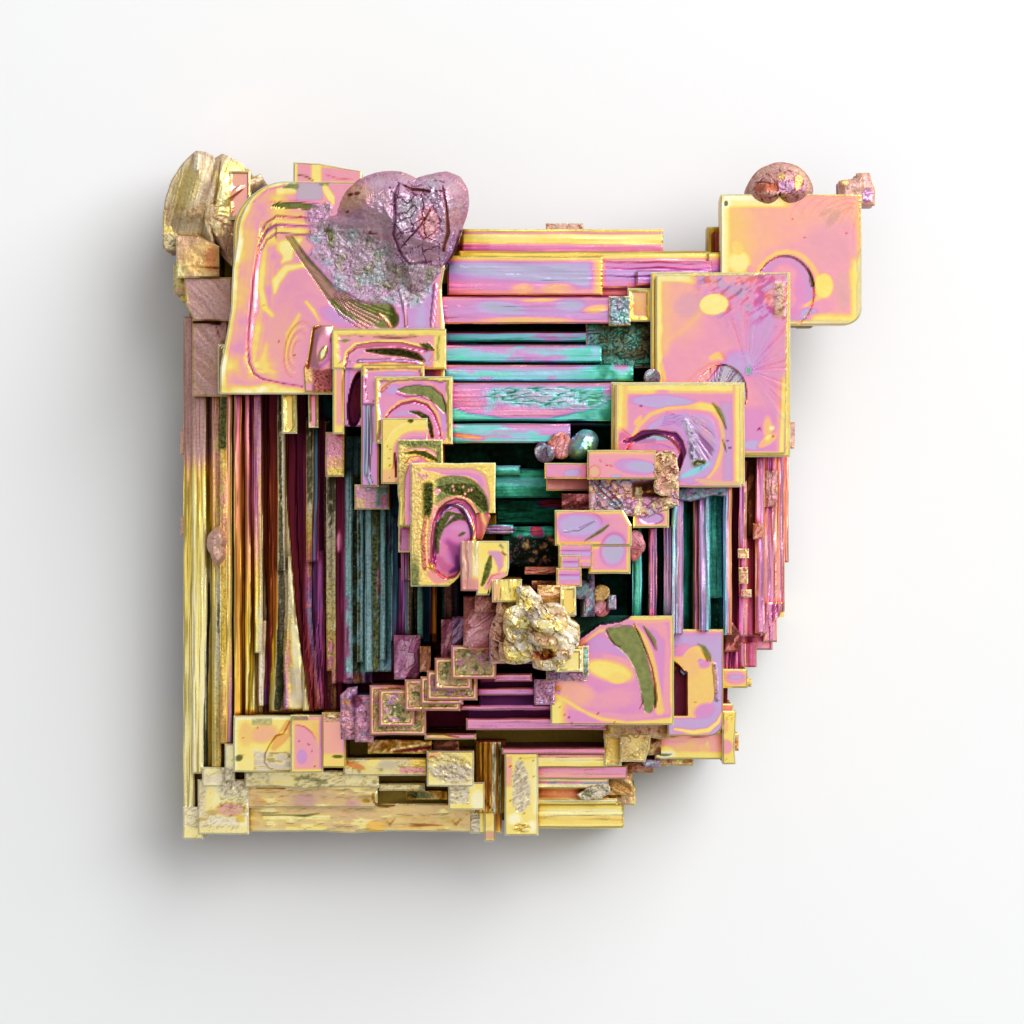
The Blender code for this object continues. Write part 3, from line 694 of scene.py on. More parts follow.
NORTH = [
    (-9, .46, .46, 0, 0), (-2, .60, .60, 0, 0), (-.2, .86, .86, .1, .3), (.7, .79, .83, 0, .2),
        (1.3, .86, .86, .05, .2), (1.9, .78, .80, 0, 0),
    (2.35, .9, .9, 1, 0), (3.7, .78, .80, .1, 0), (4.1, .75, .77, 0, 0), (4.45, .62, .68, 0, 0),
        (4.8, .52, .52, 0, 0),
    (5.08, .9, .9, .45, 0), (5.25, .80, .84, .1, 0), (5.45, .77, .80, 0, 0), (5.65, .60, .72, 0, .1),
        (6.1, .56, .70, 0, .2),
    (7.0, .62, .74, 0, .2), (7.55, .66, .72, 0, 0), (7.75, .52, .54, 0, 0), (8.0, .84, .84, .5, 0),
        (8.1, .79, .80, .05, 0),
    (8.45, .76, .78, 0, .1), (8.85, .66, .66, 0, 0), (9.05, .52, .52, 0, 0), (9.25, .9, .9, .6, 0),
        (9.45, .80, .82, .05, 0),
    (9.75, .77, .78, 0, 0), (10.2, .75, .74, 0, 0), (10.45, .54, .52, 0, 0), (10.65, .9, .9, .6, 0),
        (10.85, .82, .84, .1, 0),
    (11.1, .77, .78, 0, 0), (11.42, .54, .56, 0, 0), (11.6, .9, .9, .9, 0), (12.1, .50, .46, 0, 0),
        (12.35, .60, .56, 0, 0),
    (12.7, .66, .60, 0, 0), (13.3, .58, .54, 0, 0), (13.75, .48, .46, 0, 0), (13.95, .60, .60, .6, 0),
        (14.1, .42, .44, 0, 0),
    (14.5, .54, .52, 0, 0), (15.1, .63, .58, 0, 0), (15.9, .55, .52, 0, 0), (16.4, .46, .46, 0, 0),
        (16.68, .15, .15, 0, 0),
    (17.0, .20, .18, 0, 0), (17.17, .52, .5, .15, 0), (17.55, .44, .44, 0, 0), (17.72, .16, .15, 0, 0),
        (18.1, .10, .12, 0, 0),
    (18.38, .42, .44, 0, 0), (18.58, .10, .10, .2, .3),
]
SOUTH = [
    (-24.5, .10, .12, 0, .1), (-23.3, .14, .12, 0, 0), (-22.9, .20, .16, 0, 0), (-22.5, .24, .20, 0, 0),
        (-22.36, .08, .10, 0, 0),
    (-21.9, .18, .15, 0, 0), (-21.35, .05, .05, 0, .1), (-21.1, .34, .30, .35, .1), (-20.5, .28, .32, .2, 0),
        (-20.4, .04, .05, 0, .2),
    (-20.08, .96, .9, .2, 0), (-19.98, .06, .06, 0, 0), (-19.75, .42, .38, 0, 0), (-19.3, .48, .44, 0, 0),
        (-18.95, .16, .14, 0, 0),
    (-18.6, .12, .12, 0, 0), (-18.3, .42, .44, 0, 0), (-18.0, .48, .46, .05, 0), (-17.6, .48, .48, 1, 0),
        (-16.4, .52, .50, 0, 0),
    (-16.1, .58, .52, 0, 0), (-15.75, .44, .46, 0, 0), (-15.5, .5, .6, .9, 0), (-14.95, .58, .54, 0, 0),
        (-14.75, .48, .46, 0, 0),
    (-14.6, .6, .6, .9, 0), (-13.9, .60, .56, 0, 0), (-13.6, .5, .5, 0, 0), (-13.4, .6, .6, .9, 0),
        (-12.95, .54, .54, 0, 0),
    (-12.6, .44, .48, 0, 0),
]
east_wall = wall_look(EAST, "x", (-9.0, 2.0), seed=3)
north_wall = wall_look(NORTH, "y", (-5.0, 8.0), seed=4, ribs=0.02, specks=0.1, streaks=0.015)
south_wall = wall_look(SOUTH, "y", (-4.0, 7.0), seed=5, ribs=0.02, streaks=0.02)


def north_face(face):
    """The northern walls, with the lens of wrinkled film that hangs between two of them."""
    north_wall(face)
    x, y = face.x, face.y
    foot = np.interp(x, [-5.0, -3.5, -1.0, 2.0, 5.0, 6.9], [6.4, 5.85, 5.5, 5.5, 6.1, 7.0])
    band = ease(y, 5.3, 5.4) * ease(y, 7.78, 7.62)
    lens = band * ease(y - foot, -.04, .04)
    face.put(band - lens, film=.83)
    face.put(lens, film=.58)
    face.put(lens * disc(face, -3.1, 6.9, 1.3, .7, 0, .8), film=.52)
    face.put(lens * disc(face, .5, 5.9, 3.4, .3, 0, .8), film=.50)
    face.put(lens * disc(face, -1.9, 6.6, .35, .9, -30, .8), film=.75)
    worm = lens * disc(face, 2.0, 6.95, 4.4, .8, -2, .4)
    wriggle = np.abs(cloud(x * .7, y * 1.4, .26, 281, 2))
    face.put(worm, film=.72, dull=.15)
    face.put(worm * ease(cloud(x, y, .7, 282), .0, .3), film=.80)
    face.put(worm * ease(wriggle, .20, .06), film=.88, deep=.45, rise=-.03)
    face.line([(-4.8, 6.35, .02), (-3.5, 5.82, .04), (-1, 5.46, .05), (2, 5.46, .05), (5, 6.05, .04),
        (6.9, 6.95, .02)], deep=.65, soft=.07)
    steps = ease(y, 8.0, 8.2) * ease(y, 11.5, 11.3) + ease(y, 3.6, 3.8) * ease(y, 5.1, 5.0)
    face.put(steps * ease(cloud(x * .35, y, .8, 283), .25, .5), film=.60)
    face.put(steps * ease(cloud(x * .3, y * 1.2, .6, 284), .25, .45), film=.82)
    face.put((steps + band) * ease(x, 2.8, 6.0) * ease(cloud(x, y, .9, 285), -.5, .1), film=.87, deep=.2)
    face.spot(-3.6, 4.2, 1.2, .16, -8, .5, film=.28, deep=.2)
    # the pink shelf behind, with its grey-lavender band and yellow rim
    shelf = patch(face, -5.2, 5.85, 14.1, 16.85, .1)
    face.put(shelf * ease(y + .1 * x, 15.0, 15.3) * ease(y, 16.5, 16.2) * ease(x, 5.2, 4.7), film=.70)
    face.put(shelf * ease(y, 16.45, 16.65), film=.20)
    face.put(shelf * ease(x, 5.2, 5.4), film=.22)
    face.put(shelf * (disc(face, .3, 14.5, .8, .4, 0, .8) + disc(face, 2.6, 14.55, 1.1, .4, 5, .8)), film=.32)
    face.put(disc(face, -1.3, 13.2, 1.7, .45, -6, .8) + disc(face, 3.6, 13.4, 1.0, .4, 0, .8), film=.71)
    face.put(disc(face, 1.5, 13.75, 1.3, .14, 2, .6) + disc(face, 5.4, 13.1, .9, .3, 8, .7) + disc(face, .5,
        12.35, 3.2, .2, 0, .8), film=.28)
    for py in (16.5, 16.1, 15.55):
        face.line([(5.9, py, .02), (7.6, py - .18, .05), (9.8, py - .05, .07), (12.0, py - .22, .05),
            (13.4, py - .1, .02)], deep=.75)


print("walls listed:", len(EAST), "east,", len(NORTH), "north,", len(SOUTH), "south")

# %% Strips of the western flank
# place at y = 8, 0, -8, -15; film at the same four heights; painted shade and dark film; dull; grain
STRIPS = [
    ((-24.5, -24.5, -24.5, -24.5), (.44, .20, .14, .09), 0, 0, .1),
        ((-22.95, -22.95, -22.9, -22.9), (.38, .10, .06, .05), 0, .1, 0),
    ((-22.6, -22.6, -22.6, -22.6), (.42, .19, .11, .10), 0, 0, .1),
        ((-22.25, -22.2, -22.2, -22.25), (.40, .12, .07, .05), 0, .1, 0),
    ((-21.9, -21.85, -21.85, -22.05), (.38, .22, -.08, -.08), .15, 0, 0),
        ((-21.6, -21.5, -21.6, -21.75), (.40, .30, .17, .17), 0, 0, .2),
    ((-21.25, -21.2, -21.2, -21.3), (.38, .34, -.06, .15), 0, .2, .5),
        ((-20.95, -20.85, -20.9, -21.0), (-.08, .36, .16, .24), .1, .1, .5),
    ((-20.5, -20.45, -20.5, -20.6), (.42, .31, .21, .23), 0, 0, .1),
        ((-20.2, -20.15, -20.2, -20.35), (.10, .13, .02, .70), .1, .3, .2),
    ((-20.0, -19.98, -20.0, -20.1), (.49, .33, .25, .23), .12, 0, 0),
        ((-19.8, -19.75, -19.8, -19.9), (.51, .31, .24, .22), .3, 0, 0),
    ((-19.55, -19.5, -19.5, -19.65), (.48, .29, .25, .20), .1, 0, 0),
        ((-19.3, -19.25, -19.2, -19.3), (.50, .35, .24, .24), .4, 0, 0),
    ((-19.1, -19.05, -19.05, -19.15), (.46, .40, .20, .08), .1, 0, .1),
        ((-18.85, -18.85, -18.75, -19.0), (.60, .44, .25, .10), .75, 0, 0),
    ((-18.7, -18.7, -18.5, -18.75), (.53, .60, .09, .06), .1, 0, .2),
        ((-18.4, -18.35, -18.15, -18.35), (.62, .34, .03, .01), 0, .35, .3),
    ((-18.05, -18.05, -17.7, -17.95), (.49, .36, .31, .68), .78, 0, .1),
        ((-17.55, -17.55, -17.3, -17.6), (.49, .35, .29, .04), .7, 0, 0),
    ((-17.0, -16.95, -17.0, -17.2), (-.06, -.05, -.09, -.10), .25, .3, .7),
        ((-16.7, -16.65, -16.45, -16.7), (.02, .04, .06, .70), 0, .3, .4),
    ((-16.55, -16.5, -15.95, -16.2), (.0, .0, .05, .08), 0, .15, .1),
        ((-16.4, -16.35, -15.7, -14.72), (.47, .48, .46, .42), .9, 0, 0),
    ((-15.75, -15.7, -15.35, -14.4), (.50, .50, .46, .38), .72, 0, 0),
        ((-15.05, -15.0, -15.0, -14.15), (-.06, -.07, .76, .46), .3, .3, .5),
    ((-14.5, -14.5, -14.6, -13.95), (.76, .76, .64, .50), .6, .1, 0),
        ((-14.2, -14.2, -14.3, -13.7), (.50, .56, .60, .50), .5, 0, .1),
    ((-13.75, -13.7, -13.75, -13.4), (-.06, -.05, .10, .46), .2, .35, .7),
        ((-12.95, -12.9, -12.95, -12.85), (.5, .5, .5, .5), .95, 0, 0),
    ((-12.4, -12.35, -12.4, -12.4), (.58, .60, .58, .50), .35, .3, .3),
        ((-12.15, -12.1, -12.1, -12.1), (.82, .83, .78, .60), .05, .35, .7),
    ((-11.75, -11.7, -11.7, -11.7), (-.07, -.09, -.1, .44), .3, .45, .9),
        ((-11.2, -11.2, -11.15, -11.1), (.84, .82, .78, .60), .1, .35, .6),
    ((-10.95, -10.9, -10.85, -10.8), (-.1, -.1, .76, .5), .55, .1, .3),
        ((-10.7, -10.7, -10.65, -10.6), (.80, .82, .80, .60), 0, .35, .6),
    ((-10.35, -10.3, -10.3, -10.3), (-.08, -.09, -.1, -.1), .25, .45, .9),
        ((-9.85, -9.85, -9.8, -9.8), (.80, .84, .83, .6), .05, .3, .8),
    ((-9.55, -9.5, -9.5, -9.5), (.68, .70, .74, .6), .05, .55, .5),
        ((-9.1, -9.05, -9.0, -9.0), (.76, .77, .76, .5), .7, 0, .1),
    ((-8.55, -8.5, -8.5, -8.5), (.60, .62, .60, .5), .2, 0, 0),
        ((-8.2, -8.15, -8.1, -8.1), (.48, .47, .78, .8), .3, 0, .1),
    ((-7.95, -7.9, -7.85, -7.8), (-.06, -.07, -.08, -.08), .2, .3, .7),
        ((-7.4, -7.4, -7.35, -7.3), (.84, .84, .86, .8), .2, .35, .5),
    ((-6.85, -6.85, -6.8, -6.8), (.72, .74, .76, .7), .75, 0, 0),
        ((-6.3, -6.3, -6.25, -6.2), (.24, .24, .26, .3), .6, 0, 0),
    ((-5.85, -5.85, -5.8, -5.8), (.90, .9, .9, .9), .7, 0, .2),
        ((-5.35, -5.35, -5.35, -5.3), (.3, .3, .34, .4), .2, .7, .7),
    ((-4.85, -4.85, -4.8, -4.8), (.7, .7, .72, .6), .45, .3, .5),
]
FLOW = (8.0, 0.0, -8.0, -15.0)


def west_strips(face):
    x, y = face.x, face.y
    level = np.interp(-y, [-v for v in FLOW], range(4))
    low = np.clip(level.astype(int), 0, 2)
    t = level - low
    for places, films, deep, dull, grain in STRIPS:
        p, f = np.array(places), np.array(films)
        side = p[low] * (1 - t) + p[low + 1] * t + .03 * cloud(y * .3, x * 0, 1.0, int(abs(places[1] * 10)))
        here = ease(x, side - .035, side + .035)
        face.put(here, film=f[low] * (1 - t) + f[low + 1] * t, deep=deep, dull=dull, grain=grain,
            rise=-.25 * deep)
    leaf = cloud(x, y * .03, .14, 251, 2)
    face.film += .035 * leaf * (1 - .5 * face.dull)
    face.rise += .06 * leaf
    face.deep += .25 * ease(leaf, -.12, -.4)
    speck = ease(cloud(x, y * .6, .22, 252), .2, .4) * face.grain * ease(x, -12.3, -12.5)
    face.put(speck, film=.03, dull=.3, deep=0)
    ribs = patch(face, -12.3, -8.95, -12.6, 4.5, .1)
    face.put(ribs * ease(cloud(x, y * .2, .5, 256), -.6, -.35), film=.80, dull=.3, grain=.5, deep=0)
    brown = patch(face, -11.78, -11.2, -12.5, 1.5, .07) + patch(face, -10.38, -9.88, -12.5, .4, .07)
    face.put(brown * ease(cloud(x, y * .5, .3, 257), -.4, -.1), film=-.06, dull=.45, grain=.95)
    for px in (-12.2, -11.5, -11.0, -10.1, -9.55, -9.1):
        face.line([(px - .3, 3.5, .02), (px - .28, -3, .045), (px - .32, -12, .03)], deep=.55, rise=-.05,
            soft=.06)
    face.put(ribs * ease(cloud(x, y * .8, .1, 258), .42, .5), film=.79, dull=.1, rise=.03)
    face.put(ease(y, 1.5, 3.5) * ease(x, -21.2, -21.6), film=.40, dull=.6, grain=.3)
    face.put(ease(y, 3.2, 3.4) * ease(y, 7.2, 7.0) * patch(face, -21.0, -20.45, 3, 8, .05), film=-.07,
        grain=.9, deep=.1)
    spoon = disc(face, -15.6, -13.2, .75, 1.6, 8, .4) * ease(x, -16.3, -16.1)
    face.put(spoon * ease(cloud(x, y, .9, 253), -.2, .2), film=.06, dull=.55)
    face.put(spoon * ease(cloud(x, y, .9, 253), .05, -.2), film=.13)
    face.line([(-18.85, -6.0, .03), (-18.55, -9.0, .09), (-18.6, -12.0, .08), (-19.0, -15.0, .10)], deep=.9)
    face.line([(-16.95, -9.5, .03), (-16.75, -11.5, .2), (-16.75, -13.5, .28), (-16.9, -14.8, .2)],
        film=-.10, deep=.5, grain=.8, soft=.12)
    for px, py, h in ((-12.7, -3.2, .7), (-13.3, -10.6, .35), (-13.3, -11.6, .3), (-13.2, -12.8, .2)):
        face.spot(px, py, .2, h, 0, .6, film=.50, deep=.15, dull=.1)
    face.put(ease(y, -15.0, -15.15) * ease(x, -20, -19.8), deep=.85, film=.25)


def west_wall(face):
    west_strips(face)
    face.put(.6 * ease(face.edge, .07, .02) * (1 - np.clip(face.deep, 0, 1)),
        film=np.where(face.film < .72, .08, .78))


def dusty_bead(face):
    x, y = face.x, face.y
    face.film = .33 + .04 * cloud(x, y, .4, 254)
    face.dull += .55
    face.grain += .3
    face.rise += .5 * ease(face.edge, 0, .5) + .1 * cloud(x, y, .4, 255)


# %% [markdown]
# ## The flanks
#
# Between the arms the crystal grew inwards as thin walls that run along the nearest
# side. They stand lowest near the rim of the crystal and rise towards the peak.

# %% Walls of the four flanks
WALL = dict(step=0.085, along=0.3)
west = [
    (-23.5, -22.7, -22.2, 12.6, 6.3, 4.3), (-22.9, -21.9, -19.4, 12.4, 7.3, 3.4),
        (-21.5, -20.85, -19.0, 7.8, 7.6, 3.7),
    (-20.95, -20.1, -17.3, 7.9, 8.3, 3.3), (-19.95, -19.45, -15.5, 8.0, 8.8, 4.0),
        (-19.2, -18.55, -15.4, 8.1, 9.3, 3.5),
    (-18.6, -18.0, -11.0, 7.7, 9.9, 4.2), (-18.35, -17.05, -14.7, -8.7, 8.9, 3.8),
        (-17.0, -16.45, -5.2, 8.2, 10.6, 3.9),
    (-15.0, -14.1, -4.6, 5.6, 11.2, 4.3), (-14.4, -13.75, -15.0, -3.8, 10.9, 3.7),
    (-13.6, -12.8, -12.3, 4.4, 12.3, 4.1), (-12.3, -11.75, -12.9, 1.9, 12.8, 3.9),
        (-11.45, -11.0, -11.7, 0.6, 13.3, 4.4),
    (-10.65, -10.2, -12.0, 0.4, 13.8, 4.7), (-9.85, -9.4, -11.6, 0.5, 14.4, 5.1),
        (-9.05, -8.6, -10.2, -1.4, 15.2, 5.5),
    (-8.35, -7.7, -5.9, -1.6, 17.4, 6.1), (-8.1, -7.55, -9.9, -5.0, 15.7, 5.8),
        (-7.2, -6.7, -10.1, -5.6, 16.3, 5.3),
    (-6.35, -5.85, -9.8, -5.7, 16.9, 6.3), (-5.5, -4.3, -8.9, -5.9, 17.8, 5.7),
]
west_ground = [
    (-22.9, -18.9, -19.0, 12.2, 6.6, 3.4), (-19.5, -16.3, -15.3, 8.0, 8.3, 3.5),
        (-17.6, -14.4, -15.2, 7.9, 9.4, 3.9),
    (-15.2, -12.4, -15.1, 5.5, 10.3, 3.7), (-13.2, -10.4, -13.2, 4.3, 12.45, 4.1),
        (-10.9, -8.3, -12.4, 1.8, 14.0, 4.7),
    (-8.7, -4.4, -10.4, -5.0, 14.9, 5.3),
]
blade = dict(step=.09, sides={
    "W": [(-15, .1), (-12, 0), (-9, .25), (-4.2, .35)], "E": [(-15, 1.25), (-11.5, .75), (-8, .25),
        (-4.2, -.1)]})
grow_group("west_walls", [(b, west_wall, WALL) for b in west] + [((-16.6, -16.0, -14.95, -4.2, 10.0, 3.9),
    west_wall, blade)])
grow_group("west_ground", [(b, west_strips, WALL) for b in west_ground])
grow_group("west_beads", [
    ((-21.85, -20.45, -5.0, -2.0, 8.2, 6.0), dusty_bead, dict(step=.08,
        outline=[(-21.1, -3.3), (-21.5, -2.4), (-20.9, -2.0), (-20.5, -2.6), (-20.5, -3.6), (-20.8, -4.8),
            (-21.1, -4.9), (-21.6, -4.0), (-21.85, -3.2)])),
    ((-23.75, -23.2, 2.9, 4.7, 6.0, 4.0), dusty_bead, CLOSE),
    ((-23.7, -23.25, -2.8, -1.4, 6.0, 4.0), dusty_bead, CLOSE),
])
east = [
    (7.95, 8.6, -8.9, -2.0, 13.0, 3.6), (9.1, 9.65, -8.8, -2.2, 13.4, 4.3),
        (10.15, 10.75, -8.7, -2.0, 12.8, 3.8),
    (10.7, 11.5, -9.7, 1.2, 13.4, 4.5), (11.4, 12.2, -5.4, 0.9, 8.4, 3.3), (12.2, 12.6, -9.6, 1.1, 11.2, 3.9),
    (12.6, 13.3, -9.5, 1.0, 11.9, 4.4), (13.2, 14.3, -7.1, 1.3, 9.7, 4.8), (14.3, 14.9, -9.7, 1.2, 10.5, 3.5),
    (15.4, 15.95, -7.0, 1.1, 9.0, 3.1), (16.55, 17.2, -9.6, 3.3, 8.1, 3.7),
        (15.3, 16.7, -9.8, -2.9, 7.5, 4.2),
    (17.1, 18.05, -10.2, 3.2, 7.3, 3.4), (17.9, 18.6, -8.1, 3.4, 6.3, 4.0),
        (18.2, 18.88, -4.6, 4.0, 5.5, 2.9),
    (15.2, 17.75, -10.75, -9.2, 6.6, 4.1), (15.1, 16.65, -11.95, -10.2, 6.9, 4.6),
]
east_ground = [
    (7.9, 11.0, -8.9, -2.0, 11.9, 3.6), (11.0, 13.4, -9.5, .9, 9.9, 4.0), (13.1, 14.9, -9.5, 1.0, 8.6, 3.8),
    (14.6, 16.4, -9.7, 2.6, 7.0, 3.2), (16.2, 17.5, -9.7, 3.2, 7.0, 3.5), (17.2, 18.5, -8.1, 3.3, 5.9, 3.2),
]
grow_group("east_walls", [(b, east_wall, WALL) for b in east + east_ground])
north = [
    (-4.0, 10.1, 16.3, 18.72, 8.0, 6.9), (-4.3, 9.8, 16.1, 18.35, 7.1, 3.6),
    (-4.2, 13.4, 15.9, 17.15, 9.0, 3.2), (-5.0, 5.85, 14.1, 16.85, 10.3, 3.9),
        (5.6, 13.5, 14.6, 16.5, 9.7, 3.5),
    (8.2, 13.3, 14.8, 15.85, 10.4, 4.3), (13.2, 14.6, 15.6, 17.1, 9.4, 4.0),
        (5.7, 8.1, 13.9, 14.75, 9.2, 3.7),
    (-5.8, 7.0, 12.1, 14.0, 12.3, 10.9), (-5.9, 6.7, 12.5, 13.9, 11.2, 4.4),
        (-5.6, 4.8, 10.85, 11.55, 10.4, 3.4),
    (-5.5, 5.8, 9.4, 10.6, 11.3, 3.8), (-5.4, 8.0, 8.1, 9.2, 12.2, 4.1), (-5.3, 6.9, 5.3, 7.95, 13.3, 4.5),
    (-5.2, 3.6, 3.75, 5.1, 14.1, 4.7), (-2.0, 3.2, -0.1, 1.95, 12.4, 3.5), (-5.0, 0.1, 1.5, 2.15, 12.9, 5.1),
]
north_ground = [
    (-5.4, 6.2, 7.9, 11.5, 9.8, 3.6), (-5.2, 6.8, 4.9, 8.2, 11.5, 4.0), (-4.2, 13.2, 14.2, 17.2, 8.3, 3.2),
        (-4.0, 9.7, 16.9, 18.3, 6.7, 3.4),
]
thin_leaf = (1.85, 4.5, 18.3, 19.15, 7.5, 6.3)
thin_leaf_look = rough_look(.36, seed=286, grain=.3, lumps=.2, dull=.6)
grow_group("north_walls", [(b, north_face, WALL) for b in north + north_ground]
           + [(thin_leaf, thin_leaf_look, CLOSE)])
south = [
    (1.3, 7.3, -23.2, -21.5, 6.6, 1.7), (1.2, 6.9, -21.6, -21.15, 7.4, 3.6),
        (1.1, 6.3, -20.45, -19.7, 8.0, 3.9),
    (1.2, 7.6, -19.8, -18.85, 8.7, 3.5), (1.0, 6.2, -19.0, -18.0, 9.4, 4.2),
        (-1.2, 6.0, -18.05, -17.6, 10.1, 4.6),
    (-3.7, 6.1, -16.35, -15.5, 12.0, 3.8), (-4.1, 2.5, -14.95, -14.6, 13.4, 4.3),
        (-2.95, 1.15, -13.9, -13.4, 14.6, 4.9),
    (-1.7, 0.9, -12.95, -12.4, 16.3, 5.4),
]
south_ground = [
    (1.2, 7.0, -22.9, -20.3, 6.1, 2.0), (1.1, 6.3, -21.3, -17.6, 7.2, 3.0),
        (-3.6, 5.9, -16.2, -14.7, 11.2, 4.0), (-2.8, 1.1, -14.8, -12.6, 13.4, 4.5),
]
grow_group("south_walls", [(b, south_wall, WALL) for b in south + south_ground])

# %% [markdown]
# ## The arms
#
# Each arm is a pile of square plates, the large ones low and outside, the small ones
# high and close to the peak.

# %% North-west arm
under_sheet = plate_look(0.36, 0.2, 0.4, seed=13)

# %% Corner lump of the north-west arm


def striped(face, turn, pitch, deepness=0.25, seed=1, rise=0.08):
    """Fine curved growth lines over what is already painted, with painted shade in their grooves."""
    g = grooves(face, turn, pitch, 0.25, seed)
    face.rise += rise * (g - 0.6)
    face.film += 0.05 * (g - 0.5)
    face.deep += deepness * ease(g, 0.42, 0.2)


def granular(face, strength):
    """Fine grey wrinkles with a lavender and a green tinge, and painted shade along the wrinkles."""
    x, y = face.x, face.y
    face.put(strength * .75, film=0.70, dull=0.6, grain=0.5)
    face.put(strength * ease(cloud(x, y, .9, 66), .05, .35) * .7, film=0.80)
    face.put(strength * ease(cloud(x, y, .7, 67), .2, .45) * .5, film=-.06)
    wriggle = np.abs(cloud(x, y, .24, 74, 2))
    face.put(strength * ease(wriggle, .10, .03), deep=0.45)
    face.rise += strength * .03 * cloud(x, y, .24, 77, 2)


def lump_look(face):
    x, y = face.x, face.y
    face.film = 0.10 + 0.07 * cloud(x, y, 1.5, 41)
    face.dull += 0.68 + 0.15 * cloud(x, y, 1.2, 42)
    face.rise += 0.7 * ease(face.edge, 0.0, 2.2) + 0.03 * cloud(x, y, 0.9, 43, 3)
    striped(face, -14, 0.24, 0.3, 44, 0.05)
    face.grain += 0.35
    face.spot(-23.2, 21.6, .9, 1.6, -20, .9, film=0.16, dull=0.35)
    scribbles(face, patch(face, -21.5, -18.8, 16.2, 20.4, .8), 45, size=.25, turn=-12, film=.30, dull=.7)
    face.area(-21.1, -20.1, 19.6, 22.6, 0.5, film=0.09, dull=0.1)
    face.area(-20.2, -18.9, 19.6, 22.9, 0.3, film=0.37, dull=0.05, grain=0.1)
    face.area(-20.6, -18.9, 22.6, 23.4, 0.3, film=0.22, dull=0.1)
    face.line([(-21.0, 23.4, .05), (-21.05, 21.8, .12), (-21.3, 20.4, .08)], deep=0.75, rise=-0.12)
    face.area(-22.8, -22.3, 22.7, 24.0, 0.15, film=0.05, dull=0.6, rise=0.15)
    face.put(patch(face, -25, -21.5, 19.2, 20.3, 0.5) * ease(cloud(x, y, 0.35, 45), -0.2, 0.2), deep=0.35,
        film=0.2)


def amber_look(face):
    x, y = face.x, face.y
    face.film = 0.28 + 0.05 * cloud(x, y, 1.2, 47)
    face.dull += 0.4
    face.grain += 0.3
    face.rise += 0.08 * cloud(x, y, 0.8, 48, 4)
    face.spot(-22.2, 16.7, 1.3, 1.1, 20, 0.6, film=0.25, dull=0.15)
    face.spot(-21.3, 16.6, 0.7, 1.0, 0, 0.6, film=0.30, deep=0.4)
    face.spot(-23.6, 19.2, 0.9, 0.6, -20, 0.5, film=0.22, dull=0.05)
    face.spot(-24.4, 19.1, 0.5, 0.7, 0, 0.6, film=0.17, dull=0.1)
    face.area(-25, -24, 17.2, 18.4, 0.2, film=0.1, grain=0.9, dull=0.5)
    face.area(-24.2, -23.3, 14.6, 16.3, 0.3, film=0.10, dull=0.1, grain=0.5)
    face.line([(-23.9, 18.35, .04), (-22.4, 18.25, .05), (-21.0, 17.6, .04)], deep=0.8, rise=-0.08)
    face.line([(-23.0, 16.05, .03), (-21.0, 16.0, .05)], deep=0.85, rise=-0.1)
    face.line([(-22.4, 15.3, .04), (-21.0, 15.33, .09)], deep=0.9, rise=-0.15)
    face.hem(0.06, 0.12, 0.04)


def dusty_look(face):
    x, y = face.x, face.y
    face.film = 0.38 + 0.05 * cloud(x, y, 1.5, 49)
    face.dull += 0.62
    face.grain += 0.3
    striped(face, 45 if face.block[3] > 12.4 else 0, 0.35, 0.1, 50, 0.05)
    face.put(ease(x, -23.0, -23.4) * patch(face, -24, -22.9, 12.4, 14.6, 0.3), film=0.12, dull=0.2)
    face.line([(-22.9, 12.2, .03), (-21.9, 12.25, .10), (-21.0, 12.2, .13)], deep=1.0, rise=-0.2)
    face.line([(-21.2, 11.9, .03), (-21.0, 11.2, .05)], deep=0.8)
    face.put(ease(face.edge, 0.14, 0.05), film=0.2, dull=0.3)


corner_outline = [
    (-21.9, 20.1), (-24.85, 20.0), (-24.6, 21.4), (-24.0, 22.7), (-23.3, 23.6), (-22.6, 24.2), (-21.9, 24.1),
        (-21.25, 23.7),
    (-20.8, 24.0), (-20.1, 23.7), (-19.3, 23.2), (-19.2, 22.7), (-18.6, 22.3), (-18.1, 22.6), (-17.9, 22.2),
        (-18.7, 21.4),
    (-19.0, 20.4), (-19.1, 19.4), (-19.6, 17.6), (-20.0, 16.0), (-20.9, 15.9), (-21.2, 17.4), (-22.3, 18.1),
        (-24.0, 18.4), (-24.8, 18.9),
]
grow_group("north_west_corner", [
    ((-25, -18, 16, 24.4, 8.9, 1.6), lump_look, dict(step=0.12, outline=corner_outline)),
    ((-24.95, -23.0, 17.3, 20.1, 8.9, 3.4), amber_look, FINE),
    ((-24.0, -21.0, 15.3, 18.35, 9.5, 3.1), amber_look, dict(step=0.11,
        sides={"N": [(-24, 0), (-22.5, 0), (-21, -0.8)]})),
    ((-24.2, -23.2, 14.2, 16.3, 7.6, 1.3), amber_look, FINE),
    ((-23.45, -20.1, 12.3, 15.35, 9.1, 2.9), dusty_look, dict(step=0.11,
        sides={"W": [(12.3, 0.7), (13.4, 0.1), (15, 0)]})),
    ((-22.9, -20.4, 7.0, 12.45, 8.4, 3.0), dusty_look, dict(step=0.11)),
    ((-21.1, -19.7, 7.2, 10.7, 9.4, 3.3), plate_look(0.05, 0.1, 0.2, seed=51), FINE),
    ((-20.3, -18.8, 19.4, 22.8, 9.4, 3.9), plate_look(0.36, 0.3, 0.2, seed=52), FINE),
])

# %% [markdown]
# ### The great plate
#
# The largest plate of the crystal carries most of the story of its growth: contour
# lines that bend round its free corner, a bundle of scratches that fans out into an
# olive leaf, and a lump of late melt that froze over its far corner.

# %% The great plate and the clot on it


